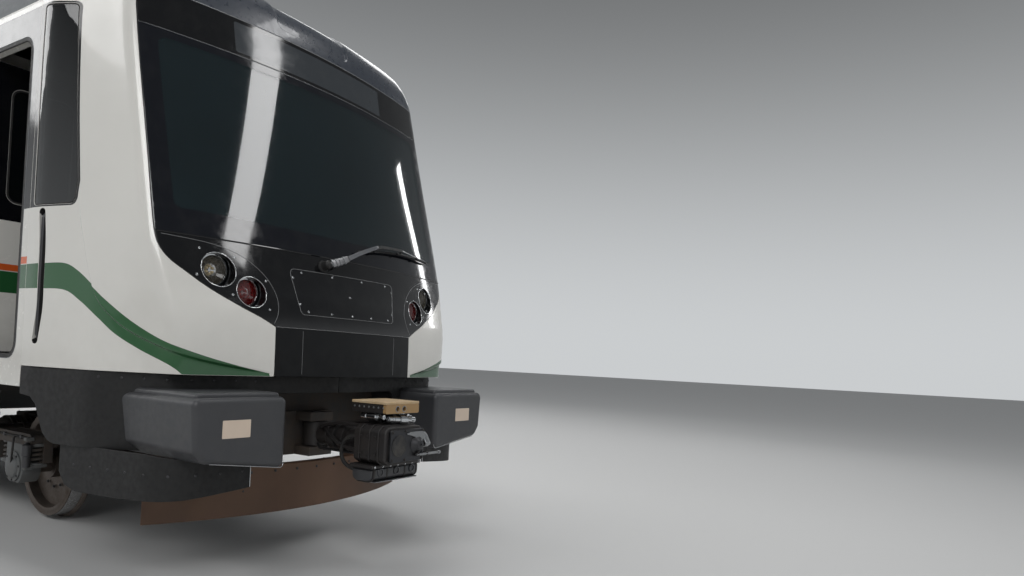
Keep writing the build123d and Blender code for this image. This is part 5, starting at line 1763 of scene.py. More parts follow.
def cab_doors():
    x_hinge = at(CAB_DOOR_FRONT + CAB_DOOR_WIDTH)
    loop = cab_doorway(CAB_GAP + 1)
    width, low, top = CAB_PANE
    middle = CAB_DOOR_FRONT + CAB_DOOR_WIDTH / 2
    window = rectangle(middle - width / 2, middle + width / 2, low, top, WINDOW_RADIUS)
    lines = level_lines(loop[:, 0].min(), loop[:, 0].max(),
                        (GREEN_LOW, GREEN_TOP_EDGE, ORANGE_LOW, ORANGE_TOP, BAND_LOW))
    door = skin_shape([loop, window], 30, Level(3.0), lines, 200, rim=4.0, step=60,
                      slot_of=lambda m: striped(m, BLACK_BAND, *STRIPES))
    door.join(skin_shape([inset(window, 3)], 10, Level(7.0), spacing=300, rim=1.5, slot=4, step=100))
    door.join(skin_shape([inset(window, 1), inset(window, 13)], 24, Level(2.5), spacing=60, rim=2.0, slot=5,
                         step=60))
    door.join(skin_shape([inset(window, -28), inset(window, 4)], 9, Level(32.0), spacing=80, rim=1.0, slot=5,
                         step=60))
    cab_door_fittings(door, x_hinge)
    materials = [WHITE_BODY, BAND_BLACK, GREEN, ORANGE, SIDE_GLASS, RUBBER, STEEL]
    other = Shape()
    other.join(door, mirror=True)
    door.piece("cab_door_left_leaf", "cab_door_left", materials, ["cab_door_left"], "door_paint")
    other.turned((x_hinge, -(HALF_WIDTH - 40), 0), (0, 0, 1), 90)
    other.piece("cab_door_right_leaf", "cab_door_right", materials, ["cab_door_right"], "door_paint")


def roof_outline(inset_by):
    """Cross section of the roof between the two wall tops, in (y, height), drawn in by about inset_by."""
    heights = np.array([3650, 3700, 3760, 3820, 3870, 3920, 3960, 4000, 4035, 4065, 4090, 4110, 4128, 4140],
                       float)
    halves = smooth_columns(heights, NOSE_ROWS)[:, 4]
    half = [*zip(halves, heights), *((y, roof_height(y)) for y in (900, 640, 380, 130))]
    half = np.array(half) - np.array([0.9, 0.6]) * inset_by
    return np.concatenate([half, (half * (-1, 1))[::-1]])


def roof_gutters():
    gutter = Shape()
    gutter.box(REAR + 6, at(MASK_REAR + 6), HALF_WIDTH - 14, HALF_WIDTH - 1, WALL_TOP - 8, WALL_TOP + 10, 4)
    for door in DOORS:
        gutter.box(at(door + 760), at(door - 760), HALF_WIDTH - 12, HALF_WIDTH - 0.5, DOOR_TOP + 62,
                   DOOR_TOP + 74, 3, 0)
    gutter.mirrored()
    gutter.piece("roof_gutters", "car_body", [WHITE_BODY])


def door_lamps():
    lights = Shape()
    for door in DOORS:
        lights.lathe([(-6, 20), (0.5, 20), (1.2, 17), (1.2, 0.5)], (at(door), HALF_WIDTH - 2, 3560),
                     (0, 1, 0), 24, 0)
    lights.mirrored()
    lights.piece("door_lamps", "car_body", [RED_LENS])


def roof_shell():
    shape = Shape()
    outer, inner = roof_outline(2.0), roof_outline(50)
    xs = [REAR + 2, *np.linspace(REAR + 2, at(MASK_REAR + 2), 14)[1:-1], at(MASK_REAR + 2)]
    shape.grid([[(x, y, h) for y, h in outer] for x in xs], 0)
    shape.grid([[(x, y, h) for y, h in inner] for x in xs], 0, flip=True)
    for x, flip in ((xs[0], True), (xs[-1], False)):
        shape.grid([[(x, y, h) for y, h in outer], [(x, y, h) for y, h in inner]], 0, flip=flip)
    for y in (-900, -600, -300, 300, 600, 900):
        h = roof_height(y)
        shape.box(REAR + 60, at(MASK_REAR + 60), y - 16, y + 16, h - 8, h + 5, 4, 0)
    shape.piece("roof_shell", "car_body", [ROOF], ["roof"], "roof_paint")


GANGWAY_HALF, GANGWAY_TOP = 700, 3330


def rear_wall_fittings():
    """Cable boxes with their leads, and grab rails beside the gangway."""
    trim = Shape()
    for side in (-1, 1):
        trim.box(REAR - 40, REAR + 1, side * 960 - 45, side * 960 + 45, 1500, 1800, 8, 0)
        trim.tube([(REAR - 20, side * 960, 1500), (REAR - 60, side * 950, 1380),
                   (REAR - 90, side * 900, 1290)], 22, 10, 1)
        trim.tube([(REAR - 2, side * 1330, 1400), (REAR - 50, side * 1330, 1410),
                   (REAR - 56, side * 1330, 1440), (REAR - 56, side * 1330, 1960),
                   (REAR - 50, side * 1330, 1990), (REAR - 2, side * 1330, 2000)], 14, 10, 2)
    trim.piece("rear_wall_fittings", "car_body", [CASE, BLACK_PLASTIC, STEEL])


def rear_wall():
    outer = np.array([(-(HALF_WIDTH - 4), SKIRT_HEIGHT), *roof_outline(4.0)[::-1],
                      (HALF_WIDTH - 4, SKIRT_HEIGHT)])
    opening = rectangle(-GANGWAY_HALF, GANGWAY_HALF, FLOOR_TOP, GANGWAY_TOP, 40)
    shape = skin_shape([outer, opening], 57, End(REAR + 1, -1), spacing=300, rim=3.0, step=80)
    for side in (-1, 1):
        for k in range(8):
            h = 1420 + k * 260
            shape.box(REAR - 14, REAR + 2, side * 1180 - 160, side * 1180 + 160, h, h + 22, 4, 1)
        shape.box(REAR - 22, REAR + 2, side * 1480 - 30, side * 1480 + 30, 1200, 3560, 6, 0)
    shape.piece("rear_wall_panel", "car_body", [WHITE_BODY, BLACK_PLASTIC], ["rear_end_wall"], "white_paint")


BELLOWS_FOLDS = 6
RINGS_PER_FOLD = 6
FOLD_DEPTH = 46
BELLOWS_LENGTH = 296.0


def evenly_round(loop, x):
    """Places at x, spaced evenly along a closed loop of (y, height)."""
    loop = closed(loop)
    run = run_along(loop)
    shares = np.linspace(0, 1, 48, endpoint=False)
    return [(x, np.interp(u * run[-1], run, loop[:, 0]), np.interp(u * run[-1], run, loop[:, 1]))
            for u in shares]


def bellows():
    shape = Shape()
    half, top = GANGWAY_HALF + 108, GANGWAY_TOP + 108
    outer = rectangle(-half, half, SKIRT_HEIGHT + 4, top, 110, 6)
    inner = rectangle(-GANGWAY_HALF - 2, GANGWAY_HALF + 2, FLOOR_TOP - 2, GANGWAY_TOP + 2, 60, 6)
    front, back = REAR - 1, REAR - 1 - BELLOWS_LENGTH
    rings = []
    for i in range(BELLOWS_FOLDS * RINGS_PER_FOLD + 1):
        u = i / (BELLOWS_FOLDS * RINGS_PER_FOLD)
        fold = 0.5 - 0.5 * cos(2 * pi * u * BELLOWS_FOLDS)
        ring = inset(outer, FOLD_DEPTH * (1 - fold ** 0.6))
        rings.append([(front - BELLOWS_LENGTH * u, y, h) for y, h in ring])
    shape.grid(rings, 0, closed=True, flip=True)
    shape.grid([[(x, y, h) for y, h in inner] for x in (front, back)], 1, closed=True)
    for x, flip in ((front, False), (back, True)):
        shape.grid([evenly_round(inset(outer, FOLD_DEPTH), x), evenly_round(inner, x)], 0, closed=True,
                   flip=flip)
    shape.piece("bellows_folds", "car_body", [BELLOWS, BLACK_PLASTIC], ["gangway_bellows"], "rubber")
    plate = rectangle(-half + 4, half - 4, SKIRT_HEIGHT + 8, top - 4, 100, 6)
    hole = rectangle(-GANGWAY_HALF - 12, GANGWAY_HALF + 12, FLOOR_TOP - 12, GANGWAY_TOP + 12, 60, 6)
    end_frame = skin_shape([plate, hole], 12, End(back - 2.5, -1), spacing=200, rim=2.0, step=80)
    end_frame.piece("gangway_end_frame", "car_body", [DARK_STEEL])


WHITE_BODY = paint("white_body_paint", WHITE_TONE, rough=0.22, dirt=0.3)
side_walls()
side_windows()
door_leaves()
cab_doors()
cab_door_frames()
roof_shell()
roof_gutters()
door_lamps()
rear_wall()
rear_wall_fittings()
bellows()


# Roof units: louvred sides, fans under wire guards, lifting eyes and flanges
# Each row holds the setback of the front, the length, the width, the highest height and the count of fans
UNIT_ROWS = ((1960, 900, 1500, 4430, 0), (8600, 3200, 1900, 4480, 3), (12500, 2200, 1700, 4440, 2),
             (16400, 3200, 1900, 4480, 3))
SLATS = 7


def louvre(shape, x0, x1, y, side, low, high):
    """A framed bank of sloping slats on an upright side of a unit."""
    shape.box(x0, x1, y - side * 6, y + side * 2, low, high, 1, 1)
    shape.box(x0 - 14, x1 + 14, y - side * 6, y + side * 9, high, high + 14, 3, 0)
    shape.box(x0 - 14, x1 + 14, y - side * 6, y + side * 9, low - 14, low, 3, 0)
    for x in (x0 - 7, x1 + 7):
        shape.box(x - 7, x + 7, y - side * 6, y + side * 9, low - 14, high + 14, 3, 0)
    pitch = (high - low) / SLATS
    for k in range(SLATS):
        h = low + (k + 0.5) * pitch
        slat = [(y + side * 1, h + pitch * 0.42), (y + side * 1, h + pitch * 0.28),
                (y + side * 11, h - pitch * 0.42), (y + side * 13, h - pitch * 0.3)]
        shape.prism(slat, 0, x0, x1, 0.8, 0)


def fan(shape, x, top, radius):
    """A sunk fan with a hub and blades under a guard of wire rings."""
    shape.lathe([(0, radius + 26), (7, radius + 26), (12, radius + 20), (12, radius + 2), (2, radius)],
                (x, 0, top), (0, 0, 1), 48, 0, closed=False)
    shape.lathe([(0.5, radius + 4), (1.0, 0.5)], (x, 0, top), (0, 0, 1), 48, 1)
    shape.lathe([(0, 74), (9, 74), (12, 68), (12, 0.5)], (x, 0, top), (0, 0, 1), 28, 2)
    for k in range(7):
        a = 2 * pi * k / 7
        inner, outer = 70, radius - 12
        blade = []
        for r, spread, rise in ((inner, 0.34, 3), (outer, 0.24, 4)):
            blade.append([(x + r * cos(a - spread), r * sin(a - spread), top + 2),
                          (x + r * cos(a + spread), r * sin(a + spread), top + rise + 5)])
        shape.grid(blade, 2, flip=True)
        shape.grid(blade, 2)
    for r in np.linspace(90, radius, 8):
        turns = np.linspace(0, 2 * pi, 41)
        shape.tube([(x + r * cos(a), r * sin(a), top + 17) for a in turns], 2.6, 5, 3, caps=False)
    for k in range(4):
        a = pi / 4 * k
        c, s = cos(a) * (radius + 18), sin(a) * (radius + 18)
        shape.tube([(x - c, -s, top + 15), (x, 0, top + 18), (x + c, s, top + 15)], 4, 6, 3)
    for k in range(8):
        a = 2 * pi * (k + 0.5) / 8
        shape.bolt((x + (radius + 14) * cos(a), (radius + 14) * sin(a), top + 11), (0, 0, 1), 9, 3)


def lifting_eye(shape, x, y, h):
    turns = np.linspace(0, pi, 9)
    shape.tube([(x - 26, y, h - 4), *[(x - 26 * cos(a), y, h + 22 * sin(a)) for a in turns],
                (x + 26, y, h - 4)], 7, 8, 3)
    shape.box(x - 40, x + 40, y - 16, y + 16, h - 3, h + 5, 2, 3)


def unit_side(shape, x0, x1, half, foot, top, side):
    """The long side of a roof unit: its foot flange, its banks of slats, their bolts and the lifting eyes."""
    y = side * half
    shape.box(x0 + 20, x1 - 20, y - side * 4, y + side * 46, foot - 2, foot + 10, 3, 3)
    run = x1 - x0 - 160
    count = max(1, int(run // 560))
    bank = run / count
    for k in range(count):
        start = x0 + 80 + k * bank
        louvre(shape, start + 40, start + bank - 40, y, side, foot + 56, top - 96)
        for x in (start + 90, start + bank - 90):
            shape.bolt((x, y + side * 30, foot + 9), (0, 0, 1), 12, 3)
        for x in (start + 18, start + bank - 18):
            shape.lathe([(0, 14), (5, 14), (8, 10), (8, 0.5)], (x, y, top - 120), (0, side, 0), 16, 3)
    for x in (x0 + 120, x1 - 120):
        lifting_eye(shape, x, side * (half - 110), top)


def unit_end(shape, x, half, foot, top, side):
    """The short end of a roof unit: two bolted covers and a cable down to the roof."""
    for y in (-half * 0.5, half * 0.5):
        shape.box(x - 4, x + side * 6, y - half * 0.34, y + half * 0.34, foot + 60, top - 90, 4, 0)
        for dy in (-1, 1):
            for h in (foot + 84, top - 114):
                shape.bolt((x + side * 6, y + dy * half * 0.29, h), (side, 0, 0), 10, 3)
    shape.tube([(x - side * 4, 0, foot + 120), (x + side * 60, 0, foot + 116), (x + side * 110, 0, foot + 70),
                (x + side * 130, 0, CROWN - 10)], 24, 12, 1)


def roof_units():
    shape = Shape()
    for setback, length, width, top, fans in UNIT_ROWS:
        x0, x1, half = at(setback + length), at(setback), width / 2
        foot = roof_height(half) - 8
        shape.prism(rectangle(-half, half, foot, top - 1, (0, 0, 60, 60), 6), 0, x0, x1, 7, 0)
        for side in (-1, 1):
            unit_side(shape, x0, x1, half, foot, top, side)
        ribs = int(length // 500)
        for k in range(ribs):
            x = x0 + length * (k + 0.5) / ribs
            if fans == 0 or abs((k + 0.5) / ribs * fans % 1 - 0.5) > 0.28:
                shape.box(x - 9, x + 9, -half + 70, half - 70, top - 3, top + 4, 2, 0)
        for k in range(fans):
            fan(shape, x0 + length * (k + 0.5) / fans, top - 1, 330)
        for x, side in ((x0, -1), (x1, 1)):
            unit_end(shape, x, half, foot, top, side)
    shape.piece("roof_unit_housings", "car_body", [UNIT, UNIT_DARK, CASE, DARK_STEEL], ["roof_units"],
                "unit_grey")


def roof_conduits():
    """Conduits in clips along the roof, and the domes of its aerials."""
    runs = Shape()
    for y in (-760, -700, 760):
        h = roof_height(y) + 24
        runs.tube([(at(19800), y, h), (at(2300), y, h)], 15, 10, 0)
        for k in range(22):
            x = at(2500 + k * 800)
            runs.box(x - 16, x + 16, y - 26, y + 26, roof_height(y) - 6, h + 19, 3, 1)
    for setback, y in ((2980, 0), (7600, 0), (20100, 380)):
        h = roof_height(y)
        runs.lathe([(-4, 120), (14, 120), (20, 108), (52, 84), (74, 52), (84, 20), (86, 0.5)],
                   (at(setback), y, h), (0, 0, 1), 32, 2)
    runs.piece("roof_conduits", "car_body", [DARK_STEEL, STEEL, LINING])


# Pantograph, folded; the places of its joints are (X, height)
BASE_X0, BASE_X1, BASE_HALF, BASE_HEIGHT, BEAM = at(5350), at(3350), 480, 4330, 50
SHAFT = (BASE_X0 + 170, BASE_HEIGHT + BEAM + 45)
KNEE = (SHAFT[0] + 1560, SHAFT[1] + 30)
HEAD_PIVOT = (KNEE[0] - 1640, KNEE[1] + 100)
STRIP_HEIGHT = HEAD_PIVOT[1] + 95
STRIP_HALF = 540


def coil(start, end, radius, turns):
    """A helix between two places in an upright fore-and-aft plane."""
    start, end = np.asarray(start, float), np.asarray(end, float)
    way = unit(end - start)
    across = np.array((0.0, 1.0, 0.0))
    over = np.cross(way, across)
    steps = np.linspace(0, 1, turns * 10 + 1)
    return [start + (end - start) * u + radius
            * (across * cos(2 * pi * turns * u) + over * sin(2 * pi * turns * u)) for u in steps]


INSULATOR_SHEDS = 5


def insulator(shape, x, y):
    """A ribbed insulator from the roof to the base frame, bolted at its foot and its head."""
    foot = roof_height(y)
    rise = BASE_HEIGHT - foot
    profile = [(-8, 78), (10, 78), (12, 60), (20, 44)]
    for k in range(INSULATOR_SHEDS):
        h = 24 + k * 22
        profile += [(h, 36), (h + 6, 36), (h + 9, 55), (h + 12, 55), (h + 16, 38)]
    profile += [(rise - 12, 40), (rise - 10, 58), (rise, 58)]
    shape.lathe(profile, (x, y, foot), (0, 0, 1), 32, 1)
    for k in range(4):
        a = pi / 4 + k * pi / 2
        shape.bolt((x + 66 * cos(a), y + 66 * sin(a), foot + 10), (0, 0, 1), 9, 2)
    shape.bolt((x, y, BASE_HEIGHT + BEAM), (0, 0, 1), 18, 2)


def base_side(shape, side):
    """One side of the base: the shaft's bearing on its lug, the lifting spring, a strap and two feet."""
    x0, x1, high = BASE_X0, BASE_X1, BASE_HEIGHT + BEAM
    y = side * 250
    lug = rounded([(SHAFT[0] - 60, high - 4), (SHAFT[0] + 60, high - 4), (SHAFT[0] + 34, SHAFT[1] + 34),
                   (SHAFT[0] - 34, SHAFT[1] + 34)], (4, 4, 26, 26), 5)
    shape.prism(lug, 1, y - 15, y + 15, 3, 0)
    shape.lathe([(-4, 42), (22, 42), (26, 36), (26, 25)], (SHAFT[0], y, SHAFT[1]), (0, side, 0), 28, 2)
    start, end = (SHAFT[0] + 60, side * 140, SHAFT[1] + 6), (x1 - 250, side * 140, high + 42)
    shape.tube(coil((start[0] + 260, start[1], start[2]), (end[0] - 240, end[1], end[2]), 30, 26), 5.5,
               6, 3)
    shape.tube([start, (start[0] + 262, start[1], start[2])], 11, 10, 2)
    shape.tube([(end[0] - 242, end[1], end[2]), end], 11, 10, 2)
    for x in (start[0] + 256, end[0] - 246):
        shape.lathe([(0, 38), (12, 38), (14, 30), (14, 8)], (x, side * 140, start[2]), (1, 0, 0), 24, 2)
    shape.box(end[0] - 20, end[0] + 30, side * 140 - 22, side * 140 + 22, high - 4, high + 66, 4, 0)
    shape.tube([(SHAFT[0] + 30, side * 292, SHAFT[1]), (SHAFT[0] + 10, side * 340, SHAFT[1] - 20),
                (SHAFT[0] - 20, side * 380, high + 10), (SHAFT[0] - 26, side * 420, high - 2)], 9, 8, 4)
    for x in (x0 + 600, x0 + 1200):
        shape.box(x - 30, x + 30, side * (BASE_HALF - BEAM) - 3, side * BASE_HALF + side * 2, high - 2,
                  high + 4, 2, 2)


def pantograph_base():
    shape = Shape()
    x0, x1 = BASE_X0, BASE_X1
    low, high = BASE_HEIGHT, BASE_HEIGHT + BEAM
    for side in (-1, 1):
        shape.box(x0, x1, side * (BASE_HALF - BEAM), side * BASE_HALF, low, high, 7, 0)
    for a, b in ((x0, x0 + BEAM), (x1 - BEAM, x1), (SHAFT[0] - 40, SHAFT[0] + 40), (x1 - 260, x1 - 200)):
        shape.box(a, b, -BASE_HALF + 4, BASE_HALF - 4, low + 1, high - 1, 6, 0)
    for x in (x0 + 150, x1 - 150):
        for side in (-1, 1):
            insulator(shape, x, side * (BASE_HALF - BEAM / 2))
    for side in (-1, 1):
        base_side(shape, side)
    shape.lathe([(0, 46), (8, 50), (300, 50), (308, 44), (312, 20), (470, 20), (474, 28), (500, 28),
                 (504, 10)], (x0 + 330, 0, high + 28), (1, 0, 0), 30, 2)
    shape.box(x0 + 300, x0 + 350, -60, 60, low + 10, high + 40, 4, 0)
    shape.box(x0 + 60, x0 + 300, -330, -200, high - 2, high + 70, 6, 0)
    shape.tube([(x0 + 180, -265, high - 30), (x0 + 180, -265, low - 40), (x0 + 150, -300, CROWN - 6)], 16,
               10, 5)
    for y in (-330, 330):
        rest = rounded([(y - 40, high - 2), (y + 40, high - 2), (y + 34, high + 60), (y - 34, high + 60)],
                       (0, 0, 14, 14), 4)
        shape.prism(rest, 0, x1 - 252, x1 - 208, 3, 0)
        shape.box(x1 - 256, x1 - 204, y - 30, y + 30, high + 58, high + 74, 5, 5)
    shape.piece("pantograph_frame", "car_body", [ARM_GREY, INSULATOR, DARK_STEEL, STEEL, COPPER, RUBBER],
                ["pantograph_base"], "chassis_paint")


def pantograph_arms():
    arm = Shape()
    a, b = np.array((SHAFT[0], 0, SHAFT[1])), np.array((KNEE[0], 0, KNEE[1]))
    arm.tube([(SHAFT[0], -280, SHAFT[1]), (SHAFT[0], 280, SHAFT[1])], 24, 24, 1)
    arm.tube([a + (b - a) * u for u in (0.0, 0.03, 0.2, 0.6, 0.97, 1.0)], (38, 42, 42, 40, 37, 34), 24, 0)
    arm.lathe([(-70, 40), (-66, 46), (66, 46), (70, 40), (70, 25)], a, (0, 1, 0), 30, 0)
    arm.lathe([(-60, 42), (-56, 48), (56, 48), (60, 42), (60, 21)], b, (0, 1, 0), 30, 0)
    for side in (-1, 1):
        web = rounded([(SHAFT[0] - 8, SHAFT[1] - 30), (SHAFT[0] + 300, SHAFT[1] - 8),
                       (SHAFT[0] + 300, SHAFT[1] + 14), (SHAFT[0] - 8, SHAFT[1] + 34)], 8, 4)
        arm.prism(web, 1, side * 44 - 4, side * 44 + 4, 1.5, 0)
    arm.tube([a + (40, 88, -20), b + (-60, 88, -36)], 14, 14, 1)
    for place in (a + (40, 0, -20), b + (-60, 0, -36)):
        arm.lathe([(-20, 22), (-16, 26), (16, 26), (20, 22), (20, 8)], place + (0, 88, 0), (0, 1, 0), 24, 1)
        arm.box(place[0] - 10, place[0] + 10, 30, 74, place[2] - 10, place[2] + 10, 3, 1)
    arm.tube([b + (-90, -44, 20), b + (-40, -62, 44), b + (20, -66, 40), b + (40, -70, 8)], 9, 8, 2)
    for u in (0.25, 0.5, 0.75):
        place = a + (b - a) * u
        arm.lathe([(-10, 43), (-8, 45), (8, 45), (10, 43)], place, b - a, 24, 1, closed=False)
    arm.piece("pantograph_arm_lower", "pantograph_lower_arm", [ARM_GREY, DARK_STEEL, COPPER],
              ["pantograph_lower_arm"], "chassis_paint")
    upper = Shape()
    c = np.array((HEAD_PIVOT[0], 0, HEAD_PIVOT[1]))
    upper.tube([b + (0, -165, 0), b + (0, 165, 0)], 20, 20, 1)
    for side in (-1, 1):
        start, end = b + (0, side * 150, 0), c + (0, side * 330, 0)
        upper.tube([start + (end - start) * u for u in (0, 0.03, 0.9, 1)], (23, 20, 17, 16), 18, 0)
        upper.lathe([(-24, 28), (-20, 32), (20, 32), (24, 28), (24, 20)], start, (0, 1, 0), 26, 0)
        upper.lathe([(-20, 22), (-16, 26), (16, 26), (20, 22), (20, 16)], end, (0, 1, 0), 26, 0)
    for u, v in ((0.1, 0.36), (0.36, 0.62), (0.62, 0.88)):
        for side in (-1, 1):
            p = b + (c - b) * u + (0, side * (150 + 180 * u), 0)
            q = b + (c - b) * v - (0, side * (150 + 180 * v), 0)
            upper.tube([p, q], 7, 8, 0)
        p = b + (c - b) * v
        upper.tube([p + (0, -(150 + 180 * v), 0), p + (0, 150 + 180 * v, 0)], 9, 10, 0)
    upper.tube([c + (0, -425, 0), c + (0, 425, 0)], 16, 18, 1)
    upper.piece("pantograph_arm_upper", "pantograph_upper_arm", [ARM_GREY, DARK_STEEL],
                ["pantograph_upper_arm"], "chassis_paint")


def pantograph_head():
    shape = Shape()
    hx = HEAD_PIVOT[0]
    for dx in (-190, 190):
        x = hx + dx
        shape.box(x - 25, x + 25, -STRIP_HALF, STRIP_HALF, STRIP_HEIGHT - 2, STRIP_HEIGHT + 10, 4, 0)
        shape.box(x - 22, x + 22, -STRIP_HALF - 10, STRIP_HALF + 10, STRIP_HEIGHT - 20, STRIP_HEIGHT - 2, 3,
                  1)
        for side in (-1, 1):
            horn = curve_through([(x, side * (STRIP_HALF - 6), STRIP_HEIGHT - 6),
                                  (x, side * 600, STRIP_HEIGHT - 10), (x, side * 690, STRIP_HEIGHT - 42),
                                  (x, side * 762, STRIP_HEIGHT - 92), (x, side * 792, STRIP_HEIGHT - 134)],
                                 14)
            shape.tube(horn, 11.5, 12, 1)
            for y in (STRIP_HALF - 40, STRIP_HALF - 180):
                shape.bolt((x - 22, side * y, STRIP_HEIGHT - 11), (-1, 0, 0), 8, 3)
    for side in (-1, 1):
        y = side * 400
        shape.box(hx - 190, hx + 190, y - 12, y + 12, STRIP_HEIGHT - 60, STRIP_HEIGHT - 20, 4, 1)
        hanger = rounded([(hx - 40, HEAD_PIVOT[1] - 34), (hx + 40, HEAD_PIVOT[1] - 34),
                          (hx + 52, STRIP_HEIGHT - 24), (hx - 52, STRIP_HEIGHT - 24)], (22, 22, 4, 4), 5)
        shape.prism(hanger, 1, y - 10, y + 10, 3, 1)
        shape.lathe([(-15, 26), (-12, 30), (12, 30), (15, 26), (15, 17)], (hx, y, HEAD_PIVOT[1]), (0, 1, 0),
                    26, 3)
        for dx in (-150, 150):
            spring = coil((hx + dx, y, STRIP_HEIGHT - 62), (hx + dx * 1.26, y, STRIP_HEIGHT - 18), 12, 5)
            shape.tube(spring, 2.6, 6, 3)
        shape.tube([(hx + 20, y + side * 16, HEAD_PIVOT[1] + 20),
                    (hx + 80, y + side * 34, HEAD_PIVOT[1] + 40),
                    (hx + 150, y + side * 30, STRIP_HEIGHT - 44),
                    (hx + 176, y + side * 16, STRIP_HEIGHT - 26)], 7, 8, 2)
    shape.piece("pantograph_pan", "pantograph_head", [CARBON, ARM_GREY, COPPER, DARK_STEEL],
                ["pantograph_head"], "contact_carbon")


ARM_GREY = paint("pantograph_arm_paint", (120, 124, 126), 0.4, 0.2, 0.2)
roof_units()
roof_conduits()
pantograph_base()
pantograph_arms()
pantograph_head()


# Bumper covers, skirt, aprons and deflector: outline of a cover's face in (half width, height)
COVER_FACE = ((745, 715), (1310, 790), (1370, 860), (1392, 1162), (745, 1162))
COVER_RADII = (42, 60, 60, 48, 42)
COVER_ROUND = 34
COVER_DEPTH = 800
PLINTH_SPAN = (772, 1352, 1100, 1188)
PLINTH_FRONT = 44
# Least and greatest Y, then lowest and highest height
PLATE_SPAN = (1013, 1204, 927, 1032)
ROUND_STEPS = 7


def pillow(shape, outline, front, rear, edge, slot=0):
    """A block along X from an outline in (y, height), with its front edge rounded over."""
    rings = []
    for k in range(ROUND_STEPS + 1):
        a = k / ROUND_STEPS * pi / 2
        ring = inset(outline, edge * (1 - sin(a)))
        rings.append([(front - edge * (1 - cos(a)), y, h) for y, h in ring])
    rings.append([(rear, y, h) for y, h in outline])
    rings = np.array(rings)
    if signed_area(outline) < 0:
        rings = rings[:, ::-1]
    return shape.rings(rings[:, ::-1], slot)


def cover_strips():
    trim = Shape()
    path = [(NOSE - 7, y, 715 + (y - 745) * 0.1327 + 3) for y in np.linspace(800, 1270, 14)]
    trim.tube([(NOSE - 9, 752, 752), (NOSE - 8, 756, 734), (NOSE - 7, 772, 722), *path], 3.0, 8, 0)
    trim.mirrored()
    trim.piece("cover_edge_strips", "car_body", [BRIGHT_STEEL])


def cover_plates():
    plates = Shape()
    plates.prism(rectangle(*PLATE_SPAN, 5), 0, NOSE - 2, NOSE + 1.5, 0.6, 0)
    plates.mirrored()
    plates.piece("blank_cover_plates", "car_body", [PLATE])


def bumper_covers():
    shape = Shape()
    face = rounded(COVER_FACE, COVER_RADII, 6)
    pillow(shape, face, NOSE, at(COVER_DEPTH), COVER_ROUND)
    pillow(shape, rectangle(*PLINTH_SPAN, 26), at(PLINTH_FRONT), at(COVER_DEPTH), 18)
    shape.mirrored()
    shape.piece("moulded_covers", "car_body", [MOULDED], ["bumper_covers"], "moulded_grey")


class Ribbon:
    """An upright sheet over a plan line of (setback, half width), by the run along it."""

    def __init__(self, points):
        self.line = curve_through(points, 12)
        self.run = run_along(self.line)

    def place(self, t, v):
        t = np.asarray(t, float)
        s, y = np.interp(t, self.run, self.line[:, 0]), np.interp(t, self.run, self.line[:, 1])
        return np.stack([at(s), y, np.broadcast_to(v, t.shape)], -1)

    def normal(self, t, v):
        t = np.asarray(t, float)
        e = 6.0
        ahead, behind = self.place(t + e, v), self.place(t - e, v)
        along = ahead - behind
        n = np.stack([along[..., 1], -along[..., 0], np.zeros(t.shape)], -1)
        return n / np.maximum(np.linalg.norm(n, axis=-1, keepdims=True), 1e-9)

    def at_setback(self, setback):
        return float(np.interp(setback, self.line[:, 0], self.run))

    def at_width(self, y):
        return float(np.interp(y, self.line[:, 1], self.run))


# Plan lines as (setback, half width)
SKIRT_LINE = ((330, 0), (333, 180), (349, 430), (388, 760), (436, 1030), (478, 1216), (530, 1275),
              (720, 1388), (900, 1492), (1100, 1532), (1300, 1566), (1440, 1590), (1538, 1598))
APRON_LINE = ((196, 842), (203, 980), (218, 1140), (246, 1260), (306, 1350), (420, 1404), (640, 1440),
              (900, 1478), (1160, 1516))


def skirt():
    ribbon = Ribbon(SKIRT_LINE)
    end = ribbon.run[-1] - 2
    coupler_side = ribbon.at_width(640)
    wave = [(ribbon.at_setback(s), h) for s, h in ((1180, 806), (1240, 824), (1290, 868), (1330, 950),
                                                   (1368, 1040), (1420, 1084), (1500, 1094))]
    loop = [(2, 1272), (2, 1158), (coupler_side - 40, 1158), (coupler_side, 1130), (coupler_side, 806),
            *wave, (end, 1096), (end, 1272)]
    shape = skin_shape([np.array(loop)], 20, ribbon, spacing=80, rim=2.5, step=40)
    shape.mirrored()
    shape.piece("skirt_shell", "car_body", [SKIRT_BLACK], ["front_skirt"], "black_skirt")
    apron = Ribbon(APRON_LINE)
    length = apron.run[-1]
    loop = [(3, 582), (apron.at_width(1260), 548), (apron.at_setback(640), 530), (length - 160, 528),
            (length - 60, 560), (length - 2, 640), (length - 2, 812), (apron.at_setback(420), 812),
            (apron.at_width(1260), 786), (3, 716)]
    lip = skin_shape([np.array(loop)], 12, apron, spacing=60, rim=4.0, step=30)
    lip.mirrored()
    lip.piece("skirt_aprons", "car_body", [SKIRT_BLACK], slot="black_skirt")
    edge = Shape()
    start = apron.place(np.array([3.0]), 0)[0]
    edge.tube([(start[0] + 1, start[1] + 1, 588), (start[0] + 1, start[1] + 1, 708)], 3.0, 8, 0)
    for k in range(9):
        t = np.array([60 + k * (length - 200) / 8])
        spot, facing = apron.place(t, 690)[0], apron.normal(t, 690)[0]
        dome(edge, spot - facing * 0.5, facing, 9, 1)
    for k in range(8):
        t = np.array([ribbon.at_width(700) + k * 140.0])
        spot, facing = ribbon.place(t, 1240)[0], ribbon.normal(t, 1240)[0]
        dome(edge, spot - facing * 0.5, facing, 9, 1)
    edge.mirrored()
    edge.piece("skirt_edge_trims", "car_body", [BRIGHT_STEEL, DARK_STEEL])


DEFLECTOR_SETBACK, DEFLECTOR_RADIUS = 520, 2600
# Lowest and highest height, and half width
DEFLECTOR_SPAN = (300, 640, 1180)


